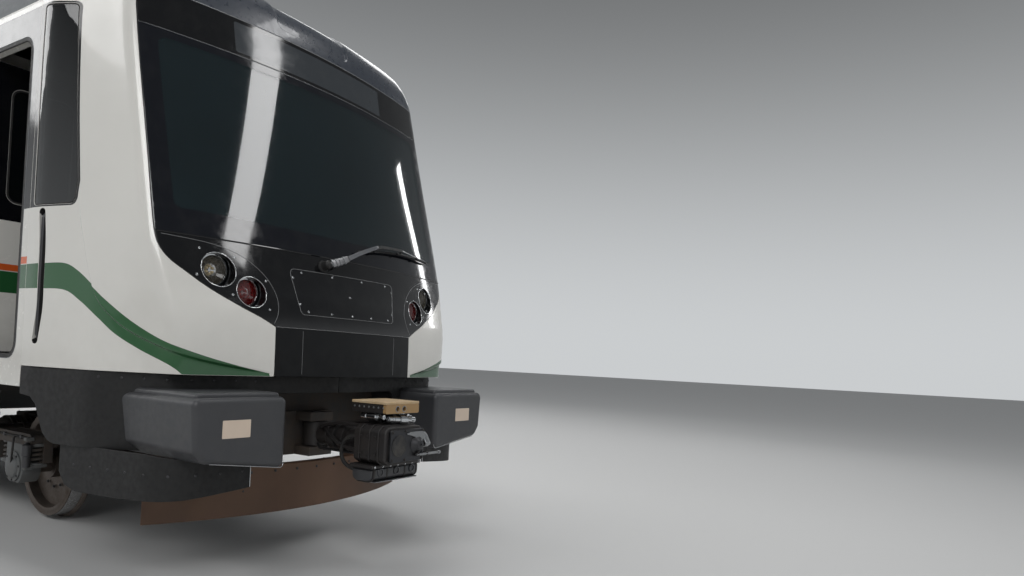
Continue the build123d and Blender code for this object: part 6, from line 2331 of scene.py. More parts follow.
def deflector():
    low, high, half = DEFLECTOR_SPAN
    shape = Shape()
    centre = at(DEFLECTOR_SETBACK + DEFLECTOR_RADIUS)
    section = [(0, low + 5), (4, low), (12, low), (16, low + 5), (16, high - 26), (22, high - 14),
               (60, high - 12), (60, high - 2), (10, high - 2), (0, high - 12)]
    turns = np.linspace(-np.arcsin(half / DEFLECTOR_RADIUS), np.arcsin(half / DEFLECTOR_RADIUS), 46)
    rings = [[(centre + (DEFLECTOR_RADIUS - d) * cos(a), (DEFLECTOR_RADIUS - d) * sin(a), h)
              for d, h in section] for a in turns]
    shape.rings(np.array(rings)[:, ::-1], 0)
    for y in (-980, -560, -200, 200, 560, 980):
        a = np.arcsin(y / DEFLECTOR_RADIUS)
        front = centre + (DEFLECTOR_RADIUS - 16) * cos(a)
        shape.prism([(front - 120, low + 60), (front, low + 14), (front, high - 14),
                     (front - 120, high - 14)], 1, y - 6, y + 6, 2, 0)
    for side in (-1, 1):
        y = side * 560
        shape.box(at(800), at(600), y - 50, y + 50, 420, 760, 6, 0)
        for h in (470, 560, 700):
            for dy in (-28, 28):
                shape.bolt((at(596), y + dy, h), (1, 0, 0), 14, 1)
    for y in np.linspace(-1080, 1080, 13):
        a = np.arcsin(y / DEFLECTOR_RADIUS)
        out = np.array([cos(a), sin(a), 0])
        spot = (centre + DEFLECTOR_RADIUS * cos(a), DEFLECTOR_RADIUS * sin(a), high - 46)
        shape.bolt(spot, out, 11, 1)
    shape.piece("deflector_plate", "car_body", [BROWN, DARK_STEEL], ["obstacle_deflector"], "brown_plate")


PLATE = paint("blank_plate_cream", (214, 196, 178), 0.45, 0.1, 0.1)
bumper_covers()
cover_strips()
cover_plates()
skirt()
deflector()


# Bogies: welded frames, axle boxes on coil springs, air springs, motors and tread brakes
BOGIE_CENTRES = {"front": NOSE - 3950, "rear": REAR + 3450}
HALF_BASE = 1150
WHEEL_RADIUS = 430
BEAM_FOOT, BEAM_HEAD, BEAM_DROP = 620, 700, 440
BEAM_Y = (900, 1060)
WHEEL_OUTER = 815


def ring_of_bolts(shape, centre, axis, radius, count, size, slot):
    axis = unit(axis)
    side = unit(np.cross(axis, (0.3, 0.2, 1.0)))
    other = np.cross(axis, side)
    for k in range(count):
        a = 2 * pi * (k + 0.5) / count
        shape.bolt(np.asarray(centre) + radius * (cos(a) * side + sin(a) * other), axis, size, slot)


FRAME_SLOT, BOX_SLOT, STEEL_SLOT, HOSE_SLOT, SPRING_SLOT = range(5)


def side_beam(shape, centre, outline, side):
    """A cranked beam with its flanges, a pipe in clips along it and two bump stops."""
    b, low, head = HALF_BASE, BEAM_FOOT, BEAM_HEAD
    shape.prism(outline, 1, side * BEAM_Y[0], side * BEAM_Y[1], 6, FRAME_SLOT)
    for y in BEAM_Y:
        shape.prism(inset(outline, -5), 1, side * y - 7, side * y + 7, 2, FRAME_SLOT)
    y = side * (BEAM_Y[1] + 12)
    pipe = [(b + 200, head - 26), (b - 260, head - 26), (b - 460, low - 30), (360, low - 50)]
    shape.tube([(centre - x, y, h) for x, h in pipe] + [(centre + x, y, h) for x, h in pipe[::-1]], 9, 8,
               HOSE_SLOT)
    for dx in (-b - 120, -b + 160, -520, -200, 200, 520, b - 160, b + 120):
        h = head - 26 if abs(dx) > b - 200 else low - 46
        shape.box(centre + dx - 12, centre + dx + 12, y - side * 14, y + side * 12, h - 14, h + 14, 3,
                  STEEL_SLOT)
    bump = [(-6, 60), (12, 60), (16, 48), (30, 44), (48, 30), (52, 14), (52, 0.5)]
    for dx in (-560, 560):
        shape.lathe(bump, (centre + dx, side * 980, low - 2), (0, 0, 1), 28, HOSE_SLOT)


def cross_beam(shape, centre, end):
    """A beam between the two side beams, with its stiffening plates."""
    x0, x1 = sorted((centre + end * 190, centre + end * 330))
    cross = rectangle(x0, x1, BEAM_DROP, BEAM_FOOT, 34)
    shape.prism(cross, 1, -BEAM_Y[0] - 6, BEAM_Y[0] + 6, 4, FRAME_SLOT)
    for y in (-700, -420, 520, 700):
        shape.prism(inset(cross, -9), 1, y - 8, y + 8, 3, FRAME_SLOT)


def axle_box(shape, axle, side):
    """An axle box with its bolted cover, and the two coil springs on its wings."""
    low = BEAM_FOOT
    box = rounded([(axle - 140, low + 2), (axle - 140, 380), (axle - 96, 302), (axle + 96, 302),
                   (axle + 140, 380), (axle + 140, low + 2)], (6, 60, 60, 60, 60, 6), 6)
    shape.prism(box, 1, side * 925, side * 1066, 8, BOX_SLOT)
    shape.lathe([(0, 122), (12, 122), (16, 116), (16, 96), (24, 92), (30, 78), (33, 40), (33, 0.5)],
                (axle, side * 1064, WHEEL_RADIUS), (0, side, 0), 40, BOX_SLOT)
    ring_of_bolts(shape, (axle, side * 1079, WHEEL_RADIUS), (0, side, 0), 107, 8, 12, STEEL_SLOT)
    shape.box(axle - 262, axle + 262, side * 940, side * 1052, 438, 466, 6, BOX_SLOT)
    y = side * 996
    for x in (axle - 204, axle + 204):
        shape.tube(coil_upright((x, y, 474), (x, y, low - 4), 50, 4), 11, 8, SPRING_SLOT)
        shape.lathe([(-8, 66), (6, 66), (10, 58), (10, 38)], (x, y, 466), (0, 0, 1), 28, BOX_SLOT)
        shape.lathe([(0, 38), (0, 62), (14, 66), (24, 66)], (x, y, low - 16), (0, 0, 1), 28, BOX_SLOT)


def damper(shape, x, side):
    shape.lathe([(-20, 14), (0, 16), (4, 30), (90, 30), (94, 36), (176, 36), (180, 24), (196, 14),
                 (196, 0.5)], (x, side * 1088, 448), (0, 0, 1), 26, STEEL_SLOT)
    for h in (446, 668):
        shape.box(x - 22, x + 22, side * 1046, side * 1106, h - 14, h + 14, 4, BOX_SLOT)


def tread_brake(shape, axle, end, side):
    """A brake block at the tread with its cylinder, bracket and hose."""
    tread = WHEEL_RADIUS + 7
    arc = np.linspace(-0.34, 0.34, 12)
    inner = [(axle - end * tread * cos(a), WHEEL_RADIUS + tread * sin(a)) for a in arc]
    outer = [(axle - end * (tread + 42) * cos(a), WHEEL_RADIUS + (tread + 42) * sin(a)) for a in arc[::-1]]
    shape.prism(inner + outer, 1, side * 715, side * 800, 3, SPRING_SLOT)
    x, y = axle - end * (tread + 38), side * 757
    shape.lathe([(0, 34), (50, 34), (54, 76), (64, 84), (150, 84), (158, 78), (162, 50), (190, 46),
                 (192, 0.5)], (x, y, WHEEL_RADIUS), (-end, 0, 0), 32, BOX_SLOT)
    shape.box(x - end * 90, x - end * 150, side * 690, side * 905, 470, 560, 6, FRAME_SLOT)
    shape.tube([(x - end * 170, y, 500), (x - end * 230, side * 780, 560), (x - end * 260, side * 860, 600),
                (x - end * 260, side * 905, 600)], 11, 10, HOSE_SLOT)


def bogie_frame(centre):
    shape = Shape()
    b, low, head, drop = HALF_BASE, BEAM_FOOT, BEAM_HEAD, BEAM_DROP
    half = [(b - 420, drop), (b - 260, low), (b + 260, low), (b + 260, head), (b - 300, head), (b - 450, low)]
    corners = [(centre + x, h) for x, h in half] + [(centre - x, h) for x, h in half[::-1]]
    radii = (60, 60, 14, 40, 70, 70)
    outline = rounded(corners, radii + radii[::-1])
    for side in (-1, 1):
        side_beam(shape, centre, outline, side)
    for end in (-1, 1):
        cross_beam(shape, centre, end)
        for side in (-1, 1):
            axle = centre + end * b
            axle_box(shape, axle, side)
            damper(shape, axle + end * 250, side)
            tread_brake(shape, axle, end, side)
            cable = [(axle, side * 1086, WHEEL_RADIUS + 20),
                     (axle + end * 60, side * 1110, WHEEL_RADIUS + 90),
                     (axle + end * 30, side * 1090, low + 40), (axle + end * 20, side * 1062, low + 60)]
            shape.tube(cable, 8, 8, HOSE_SLOT)
            guard_x = axle + end * 258
            shape.box(guard_x - 10, guard_x + 10, side * 905, side * 975, 470, low + 60, 3, FRAME_SLOT)
    shape.box(centre - 188, centre + 188, -160, 160, 476, low - 4, 14, FRAME_SLOT)
    shape.lathe([(-30, 128), (-24, 138), (-6, 138), (0, 130), (0, 118)], (centre, 0, low), (0, 0, 1), 40,
                STEEL_SLOT)
    for side in (-1, 1):
        link = [(centre - side * 60, side * 150, 540), (centre + side * 240, side * 330, 560)]
        shape.tube(link, 26, 16, STEEL_SLOT)
        for eye in link:
            shape.lathe([(-34, 40), (-30, 46), (30, 46), (34, 40), (34, 0.5)], eye, (0, 0, 1), 26,
                        HOSE_SLOT)
    return shape


def coil_upright(start, end, radius, turns):
    """A helix about an upright line."""
    start, end = np.asarray(start, float), np.asarray(end, float)
    return [start + (end - start) * u + radius
            * np.array((cos(2 * pi * turns * u), sin(2 * pi * turns * u), 0))
            for u in np.linspace(0, 1, turns * 12 + 1)]


def air_springs(centre):
    shape = Shape()
    profile = [(2, 150), (2, 224), (10, 236), (26, 236), (34, 206), (52, 196), (74, 204), (104, 236),
               (140, 248), (176, 238), (198, 214), (206, 206), (214, 214), (236, 238), (270, 248),
               (304, 236), (322, 212), (326, 206)]
    for side in (-1, 1):
        foot = (centre, side * 980, BEAM_FOOT)
        shape.lathe(profile, foot, (0, 0, 1), 56, 0, closed=False)
        shape.lathe([(322, 204), (326, 240), (334, 244), (350, 244), (356, 238), (362, 236), (362, 100)],
                    foot, (0, 0, 1), 56, 1)
        shape.lathe([(198, 214), (202, 222), (210, 222), (214, 214)], foot, (0, 0, 1), 56, 1, closed=False)
        ring_of_bolts(shape, (centre, side * 980, BEAM_FOOT + 26), (0, 0, 1), 222, 12, 9, 1)
    return shape


def motors(centre):
    shape = Shape()
    for end in (-1, 1):
        x, y, h = centre + end * (HALF_BASE - 480), end * 150, WHEEL_RADIUS + 30
        profile = [(-308, 60), (-306, 120), (-290, 168), (-262, 186), (-250, 190)]
        for k in range(11):
            start = -236 + k * 44
            profile += [(start, 190), (start + 3, 204), (start + 17, 204), (start + 20, 190)]
        profile += [(250, 190), (262, 186), (290, 168), (306, 120), (308, 60)]
        shape.lathe(profile, (x, y, h), (0, 1, 0), 48, 0)
        for side in (-1, 1):
            shape.lathe([(0, 70), (2, 74), (4, 74), (10, 40), (10, 0.5)], (x, y + side * 302, h),
                        (0, side, 0), 30, 1)
            ring_of_bolts(shape, (x, y + side * 286, h), (0, side, 0), 148, 10, 12, 1)
        face = centre + end * 330
        for dy in (-150, 150):
            shape.box(face, x, y + dy - 24, y + dy + 24, 505, 598, 6, 0)
            shape.bolt((face + end * 26, y + dy, 598), (0, 0, 1), 16, 1)
        shape.box(x - 90, x + 90, y - 110, y + 110, h + 170, h + 236, 8, 0)
        for dy in (-60, 0, 60):
            shape.tube([(x - end * 84, y + dy, h + 206), (x - end * 150, y + dy, h + 214),
                        (x - end * 230, y + dy * 0.8, h + 200), (centre + end * 300, y + dy * 0.7, 640)],
                       15, 10, 2)
        for dx in (-70, 70):
            for dy in (-90, 90):
                shape.bolt((x + dx, y + dy, h + 234), (0, 0, 1), 10, 1)
    return shape


def wheel_trims(axle):
    shape = Shape()
    for side in (-1, 1):
        middle = (axle, 0, WHEEL_RADIUS)
        inner = WHEEL_OUTER - 136
        shape.lathe([(inner + 42, 433.8), (inner + 74, 431.6), (WHEEL_OUTER - 5, 427.4)], middle,
                    (0, side, 0), 96, 0, closed=False)
        shape.lathe([(WHEEL_OUTER - 0.6, 372), (WHEEL_OUTER + 2.5, 376), (WHEEL_OUTER + 2.5, 398),
                     (WHEEL_OUTER - 0.6, 402)], middle, (0, side, 0), 96, 1, closed=False)
        ring_of_bolts(shape, (axle, side * (WHEEL_OUTER - 62), WHEEL_RADIUS), (0, side, 0), 200, 12, 15, 2)
    return shape


def bogies():
    number = 0
    for place, centre in BOGIE_CENTRES.items():
        body = "bogie_" + place
        bogie_frame(centre).piece(f"welded_frame_{place}", body, [CHASSIS, CASE, DARK_STEEL, RUBBER, MOTOR],
                                  [f"bogie_frame_{place}"], "chassis_paint")
        air_springs(centre).piece(f"air_bellows_{place}", body, [RUBBER, DARK_STEEL],
                                  [f"air_springs_{place}"], "rubber")
        motors(centre).piece(f"motor_casings_{place}", body, [MOTOR, DARK_STEEL, RUBBER],
                             [f"traction_motors_{place}"], "chassis_paint")
        for end in (-1, 1):
            number += 1
            wheel_trims(centre + end * HALF_BASE).piece(f"wheel_trims_{number}", f"wheelset_{number}",
                                                        [TREAD, WHEEL_STEEL, DARK_STEEL])


bogies()


# Underfloor cases: doors with hinges and latches, cooling banks and hangers
# Each row holds the length, the half width, the lowest height and the panels on a side, from the front
CASE_ROWS = ((2600, 1200, 620, 3), (2200, 1200, 640, 2), (1500, 1150, 660, 2), (1100, 700, 690, 1),
             (1300, 1100, 660, 1))
CASE_TOP = span("underfloor_cases")[2][1]
BOGIE_REACH = 1900


def case_side(shape, x0, length, y, side, low, doors):
    """The long side of a case: hinged doors with latches, and louvred panels in turn with them."""
    bank = (length - 80) / doors
    for k in range(doors):
        a = x0 + 40 + k * bank
        if (k + int(side > 0)) % 2 == 0:
            louvre(shape, a + 60, a + bank - 60, y, side, low + 120, CASE_TOP - 90)
            continue
        shape.box(a + 22, a + bank - 22, y - side * 4, y + side * 7, low + 72, CASE_TOP - 40, 4, 0)
        for x in (a + 120, a + bank - 120):
            shape.lathe([(-45, 9), (45, 9), (47, 6), (47, 0.5)], (x, y + side * 9, CASE_TOP - 44), (1, 0, 0),
                        14, 3)
            shape.box(x - 26, x + 26, y + side * 5, y + side * 17, low + 84, low + 128, 4, 3)
        for x in (a + 60, a + bank - 60):
            for h in (low + 110, (low + CASE_TOP) / 2, CASE_TOP - 76):
                shape.bolt((x, y + side * 6, h), (0, side, 0), 9, 3)


def underfloor_cases():
    shape = Shape()
    run = BOGIE_CENTRES["front"] - BOGIE_CENTRES["rear"] - 2 * BOGIE_REACH
    gap = (run - sum(row[0] for row in CASE_ROWS)) / (len(CASE_ROWS) - 1)
    front = BOGIE_CENTRES["front"] - BOGIE_REACH
    for length, half, low, doors in CASE_ROWS:
        x0, x1 = front - length, front
        shape.prism(rectangle(-half, half, low + 1, CASE_TOP - 2, (50, 50, 6, 6), 6), 0, x0 + 1, x1 - 1, 8, 0)
        for side in (-1, 1):
            case_side(shape, x0, length, side * half, side, low, doors)
        for x in (x0 + 160, x1 - 160):
            shape.box(x - 34, x + 34, -half - 6, half + 6, CASE_TOP - 34, CASE_TOP - 4, 4, 3)
            shape.box(x - 24, x + 24, -half + 40, half - 40, low - 4, low + 6, 3, 3)
        for y in (-half * 0.6, half * 0.6):
            shape.tube([(x1 - 4, y, CASE_TOP - 60), (x1 + 60, y, CASE_TOP - 56),
                        (x1 + 110, y, CASE_TOP - 20)], 26, 12, 1)
        front -= length + gap
    shape.piece("equipment_cases", "car_body", [CASE, UNIT_DARK, CASE, DARK_STEEL], ["underfloor_cases"],
                "chassis_paint")


def underfloor_pipes():
    runs = Shape()
    ends = (BOGIE_CENTRES["rear"] - 1500, BOGIE_CENTRES["front"] + 1500)
    for y, radius in ((-1340, 21), (-1290, 14), (1310, 17), (1360, 21)):
        h = CASE_TOP - 36
        runs.tube([(ends[0], y, h), (ends[1], y, h)], radius, 10, 0)
        for k in range(18):
            x = ends[0] + 200 + k * (ends[1] - ends[0] - 400) / 17
            runs.box(x - 10, x + 10, y - radius - 5, y + radius + 5, h - radius - 4, CASE_TOP + 6, 2, 1)
    runs.piece("underfloor_pipes", "car_body", [DARK_STEEL, CHASSIS])


underfloor_cases()
underfloor_pipes()


# Coupler: casting, cone and cup, guide horn, electric box, lower case and shank
COUPLER_HEIGHT = 840
COUPLER_FRONT = span("coupler_head")[0][1]
HEAD_FRONT = COUPLER_FRONT - 60
HEAD_BACK = at(-40)
PLATE_FRONT = HEAD_FRONT + 22
# Outlines in (y, height over the coupler's axis); the horn's is in (distance before the head, height)
HEAD_OUTLINE = ((-210, -100), (-160, -130), (150, -130), (190, -80), (190, 90), (140, 130), (-170, 130),
                (-210, 95))
CONE_Y = 92
HORN_OUTLINE = ((0, -10), (32, -22), (61, -6), (62, 10), (31, 62), (0, 90))
GATHERING_PLATE = ((-30, 76), (60, 54), (150, 20), (202, 4), (186, 60), (142, 92), (10, 90))
COUPLER_PIN = at(560)


def raised(outline):
    """An outline of (y, height over the coupler's axis) as (y, height)."""
    return np.array([(y, COUPLER_HEIGHT + h) for y, h in outline], float)


def rod_and_lever(shape, dark, bright):
    """The rod before the head, in its two eyes, and the lever at its left side."""
    rod_x, rod_h = COUPLER_FRONT - 12, COUPLER_HEIGHT - 68
    shape.tube([(rod_x, 64, rod_h), (rod_x, 200, rod_h), (rod_x, 304, rod_h)], 8.5, 14, 4)
    shape.lathe([(0, 11), (4, 13), (22, 13), (26, 9), (26, 0.5)], (rod_x, 296, rod_h), (0, 1, 0), 20, 4)
    for y in (84, 176):
        shape.box(PLATE_FRONT - 4, rod_x + 8, y - 9, y + 9, rod_h - 13, rod_h + 13, 3, dark)
    lever_x, lever_h = at(-120), COUPLER_HEIGHT - 20
    shape.tube([(lever_x, 150, lever_h), (lever_x, 300, lever_h), (lever_x, 326, lever_h)], 12, 16, bright)
    shape.lathe([(-2, 20), (4, 22), (26, 22), (33, 18), (34, 0.5)], (lever_x, 294, lever_h), (0, 1, 0), 24, 2)
    shape.lathe([(0, 40), (14, 40), (18, 34), (18, 12)], (lever_x, 190, lever_h), (0, 1, 0), 28, dark)


def coupler_head():
    dark, bright = 0, 1
    shape = Shape()
    body = rounded(raised(HEAD_OUTLINE), 26, 5)
    pillow(shape, body, HEAD_FRONT, HEAD_BACK + 20, 12, dark)
    shape.prism(inset(body, 10), 0, HEAD_BACK + 22, HEAD_BACK + 2, 8, dark)
    for x in (HEAD_BACK + 60, HEAD_BACK + 150, HEAD_BACK + 230):
        shape.prism(inset(body, -7), 0, x, x + 16, 4, dark)
    plate = rectangle(-175, 165, COUPLER_HEIGHT - 110, COUPLER_HEIGHT + 110, 18)
    shape.prism(plate, 0, HEAD_FRONT - 6, PLATE_FRONT, 3, bright)
    for y, h in ((-158, -94), (-158, 94), (-30, 98), (-30, -98), (148, -94), (148, 94)):
        shape.bolt((PLATE_FRONT - 1, y, COUPLER_HEIGHT + h), (1, 0, 0), 13, dark)
    reach = COUPLER_FRONT - PLATE_FRONT
    cone = [(-4, 66), (2, 66), (4, 62), (reach * 0.5, 49), (reach - 3, 33), (reach - 0.3, 28),
            (reach - 0.3, 10), (reach - 6, 8)]
    shape.lathe(cone, (PLATE_FRONT, CONE_Y, COUPLER_HEIGHT), (1, 0, 0), 40, bright)
    cup = [(1.5, 74), (3, 70), (1.0, 66), (-18, 54), (-36, 42), (-40, 36), (-40, 0.5)]
    shape.lathe(cup, (PLATE_FRONT + 1, -CONE_Y, COUPLER_HEIGHT), (1, 0, 0), 40, 3)
    horn = rounded([(HEAD_FRONT - 5 + d, COUPLER_HEIGHT + h) for d, h in HORN_OUTLINE], 6, 4)
    shape.prism(horn, 1, 150, 205, 5, 4)
    shape.prism(inset(horn, 9), 1, 148, 207, 2, dark)
    shape.prism([(HEAD_FRONT - 70, COUPLER_HEIGHT - 26), (HEAD_FRONT + 4, COUPLER_HEIGHT - 20),
                 (HEAD_FRONT + 4, COUPLER_HEIGHT + 96), (HEAD_FRONT - 70, COUPLER_HEIGHT + 64)], 1, 158,
                199, 4, dark)
    wedge = rounded(raised(GATHERING_PLATE), 4, 3)
    shape.prism(wedge, 0, PLATE_FRONT - 2, PLATE_FRONT + 12, 3, 4)
    for side, y in ((-1, -216), (1, 196)):
        for dx in (90, 150, 220):
            for h in (-60, 60):
                shape.bolt((HEAD_BACK + dx, y, COUPLER_HEIGHT + h), (0, side, 0), 12, dark)
    rod_and_lever(shape, dark, bright)
    shape.piece("coupler_casting", "front_coupler", [COUPLER_BLACK, EDGE_STEEL, RUBBER, UNIT_DARK, STEEL],
                ["coupler_head"], "coupler_steel")


def coupler_shank():
    dark, bright, band = 0, 1, 2
    shape = Shape()
    h = COUPLER_HEIGHT
    end = HEAD_BACK + 24 - COUPLER_PIN
    profile = [(84, 64), (90, 70), (170, 70), (176, 76), (186, 76), (190, 70), (232, 70), (238, 105),
               (244, 108), (292, 108), (298, 105), (300, 88), (324, 88), (328, 105), (334, 108), (384, 108),
               (390, 105), (394, 70), (450, 70), (456, 82), (486, 82), (490, 72), (end, 72)]
    shape.lathe(profile, (COUPLER_PIN, 0, h), (1, 0, 0), 40, dark)
    for k in range(5):
        x = COUPLER_PIN + 302 + k * 5.2
        shape.lathe([(-2.2, 90), (0, 96), (2.2, 90)], (x, 0, h), (1, 0, 0), 36, band, closed=False)
    for ring_x in (COUPLER_PIN + 268, COUPLER_PIN + 358):
        for k in range(8):
            a = 2 * pi * (k + 0.5) / 8
            shape.bolt((ring_x + 26, 98 * cos(a) * 0.9, h + 98 * sin(a) * 0.9), (1, 0, 0), 10, bright)
    shape.lathe([(-165, 32), (-162, 35), (162, 35), (165, 32), (165, 12), (160, 10)], (COUPLER_PIN, 0, h),
                (0, 0, 1), 28, bright)
    shape.lathe([(-90, 74), (-86, 85), (86, 85), (90, 74), (90, 38)], (COUPLER_PIN, 0, h), (0, 0, 1), 36,
                dark)
    for side in (-1, 1):
        y = side * 96
        x0, x1 = COUPLER_PIN + 130, HEAD_BACK + 10
        shape.tube([(x0, y * 0.6, h + 66), (x0 + 60, y, h + 78), (x0 + 240, y * 1.1, h + 112),
                    (x1 - 60, y * 1.1, h + 112), (x1, y, h + 96)], 13, 12, dark)
        shape.tube([(x0 + 10, y, h - 58), (x0 + 60, y * 1.25, h - 84), (x1 - 50, y * 1.25, h - 84),
                    (x1 + 6, y, h - 60)], 9, 12, bright)
        for x in (COUPLER_PIN + 230, COUPLER_PIN + 420):
            shape.box(x - 10, x + 10, side * 66 - 20, side * 110 + side * 10, h - 98, h - 66, 3, band)
    shape.tube([(COUPLER_PIN + 180, -60, h + 70), (COUPLER_PIN + 260, -120, h + 40),
                (COUPLER_PIN + 380, -128, h - 30), (HEAD_BACK + 10, -150, h - 70)], 15, 12, dark)
    shape.piece("coupler_shank", "front_coupler", [COUPLER_BLACK, DARK_STEEL, BLACK_PLASTIC],
                slot="coupler_steel")


# Setbacks of the rear and the front, half width, lowest and highest height
ELECTRIC = (20, -300, 180, 1050, 1135)
BORES = (-54, 14)


def slab(shape, outline, levels, slot):
    """A level block from an outline in (y, X), drawn in by the first of each (distance, height)."""
    rings = [[(x, y, h) for y, x in inset(outline, distance)] for distance, h in levels]
    shape.rings(np.array(rings)[:, ::-1], slot)


def electric_mount(shape, low, dark):
    """The two brackets that carry the box, on a foot over the head."""
    head_top = COUPLER_HEIGHT + 130
    bracket = [(at(-40), head_top - 6), (at(-160), head_top - 6), (at(-150), low + 4), (at(-60), low + 4)]
    for y in (-54, 54):
        shape.prism(bracket, 1, y - 8, y + 8, 3, dark)
    shape.box(at(-50), at(-150), -60, 60, head_top - 4, head_top + 14, 4, dark)


def chrome_fittings(shape, x1, low, chrome, dark):
    """Two cylinders along the box and two ringed plugs across it, in straps below it."""
    start, h = at(-140), low - 24
    for y in (-125, 125):
        profile = [(-96, 12), (-92, 26), (-60, 26), (-56, 29), (-46, 29), (-42, 24), (30, 24), (34, 29),
                   (44, 29), (48, 20), (54, 20), (56, 11), (90, 11), (92, 16), (104, 16), (106, 4)]
        shape.lathe(profile, (start, y, h), (1, 0, 0), 30, chrome)
        for x in (start - 70, start + 38):
            shape.box(x - 6, x + 6, y - 18, y + 18, h + 14, low + 6, 2, dark)
    ringed = [(-6, 18), (-2, 24), (20, 24), (22, 29), (30, 29), (32, 24), (38, 24), (40, 29), (48, 29),
              (50, 24), (86, 24), (88, 33), (128, 33), (132, 29), (150, 29), (152, 18), (186, 18),
              (188, 12), (188, 0.5)]
    for start, way in (((x1 - 44, -92, low - 36), (0.2, 0.97, -0.06)),
                       ((x1 - 120, 20, low - 34), (0.35, 0.92, -0.1))):
        shape.lathe(ringed, start, way, 30, chrome)
        shape.box(start[0] - 12, start[0] + 12, start[1] + 30, start[1] + 60, low - 16, low + 4, 3, dark)


def electric_box():
    rear, front, half, low, top = ELECTRIC
    chrome, dark, steel, top_slot = 1, 2, 3, 4
    shape = Shape()
    x0, x1 = at(rear), at(front)
    front_outline = rectangle(-half + 8, half - 8, low + 3, top - 18, 12, 4)
    bore_h = (low + top) / 2 - 8
    holes = [circle(y, bore_h, 17, 28) for y in BORES]
    shape.join(skin_shape([front_outline, *holes], 26, End(x1, 1), spacing=60, rim=2.5, step=16))
    # The box's body, with its sides in coupler black: painted shade on the sides of the tan box
    shape.prism(inset(front_outline, 0.5), 0, x0, x1 - 24, 3, dark)
    slab(shape, rectangle(-half, half, x0 + 2, x1, 14, 4),
         ((2, top - 18), (0, top - 15), (0, top - 4), (3, top - 0.5)), top_slot)
    for y in BORES:
        shape.lathe([(-60, 15), (-24, 15), (-22, 17.5)], (x1, y, bore_h), (1, 0, 0), 28, dark)
        shape.lathe([(-3, 22), (1.0, 22), (2.0, 20), (2.0, 17.2)], (x1, y, bore_h), (1, 0, 0), 28, steel,
                    closed=False)
    for k in range(7):
        shape.bolt((x0 + 30 + k * 44, half - 9, (low + top) / 2), (0, 1, 0), 8, steel)
        shape.bolt((x0 + 30 + k * 44, -half + 9, (low + top) / 2), (0, -1, 0), 8, steel)
    for x in (x0 + 40, x0 + 160, x1 - 40):
        for y in (-140, 140):
            shape.bolt((x, y, top - 2.6), (0, 0, 1), 4.2, steel)
    electric_mount(shape, low, dark)
    chrome_fittings(shape, x1, low, chrome, dark)
    shape.piece("electric_coupler", "front_coupler", [TAN, CHROME, COUPLER_BLACK, STEEL, TAN_TOP],
                ["coupler_electric_box"], "coupler_tan")


# Setbacks of the rear and the front, the span in Y and the lowest height
LOWER = (-60, -260, -230, 250, 590)


def lower_case():
    rear, front, y0, y1, low = LOWER
    top = COUPLER_HEIGHT - 131
    x0, x1 = at(rear), at(front)
    shape = Shape()
    outline = rounded([(x0 + 4, low + 20), (x0 + 50, low + 1), (x1 - 50, low + 1), (x1 - 4, low + 20),
                       (x1 - 2, top - 26), (x0 + 2, top - 26)], (40, 30, 30, 40, 12, 12), 5)
    shape.prism(outline, 1, y0 + 24, y1 - 24, 6, 0)
    for y in (y0 + 24, y1 - 24, y0 + 150, y1 - 150):
        shape.prism(inset(outline, -3), 1, y - 9, y + 9, 3, 1)
    for y in (y0 + 12, y1 - 12):
        shape.prism(inset(outline, 8), 1, y - 10, y + 10, 6, 0)
    slab(shape, rectangle(y0 - 10, y1 + 10, x0 - 10, x1 + 10, 12, 4),
         ((3, top - 23), (0, top - 20), (0, top - 4), (3, top - 1)), 1)
    for y in np.linspace(y0 + 14, y1 - 14, 7):
        shape.bolt((x1 + 9, y, top - 12), (1, 0, 0), 9, 2)
    for y in (y0 + 80, 10, y1 - 80):
        shape.lathe([(-4, 30), (6, 30), (10, 26), (10, 20), (4, 18), (4, 0.5)], (x1 - 5, y, low + 66),
                    (1, 0, 0), 28, 0)
    shape.box(x0 + 20, x1 + 7, y0 + 26, y1 - 26, low + 0.5, low + 9, 3, 3)
    shape.piece("valve_case", "front_coupler", [CASE_DARK, COUPLER_BLACK, BRIGHT_STEEL, STEEL],
                ["coupler_lower_case"], "coupler_steel")


# Control points of the hose, in (setback, y, height)
HOSE_ROUTE = ((-40, -150, 880), (118, -150, 880), (118, -150, 650), (-60, -150, 650))
HOSE_RADIUS = 14


def nurbs(name, points, radius, material):
    """A round line with the given places, in metres, as the control points of one spline."""
    data = bpy.data.curves.new(name, "CURVE")
    data.dimensions = "3D"
    data.bevel_depth = radius / 1000
    data.bevel_resolution = 5
    data.resolution_u = 24
    data.use_fill_caps = True
    spline = data.splines.new("NURBS")
    spline.points.add(len(points) - 1)
    for point, place in zip(spline.points, points):
        point.co = (*place, 1)
    spline.order_u = 3
    spline.use_endpoint_u = True
    data.materials.append(material)
    obj = bpy.data.objects.new(name, data)
    bpy.context.scene.collection.objects.link(obj)
    return obj


def coupler_hose():
    route = [(at(s) / 1000, y / 1000, (h + FLANGE_DEPTH) / 1000) for s, y, h in HOSE_ROUTE]
    hose = nurbs("air_hose", route, HOSE_RADIUS, RUBBER)
    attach(hose, "front_coupler")
    clamps = Shape()
    for s, y, h, way in ((-34, -150, 880, -1), (-54, -150, 650, -1)):
        clamps.lathe([(-14, 17), (-12, 19), (10, 19), (12, 15.5)], (at(s), y, h), (way, 0, 0), 24, 0)
        clamps.box(at(s) - 7, at(s) + 7, y - 6, y + 6, h + 17, h + 28, 2, 0)
    clamps.piece("air_hose_clamps", "front_coupler", [STEEL])


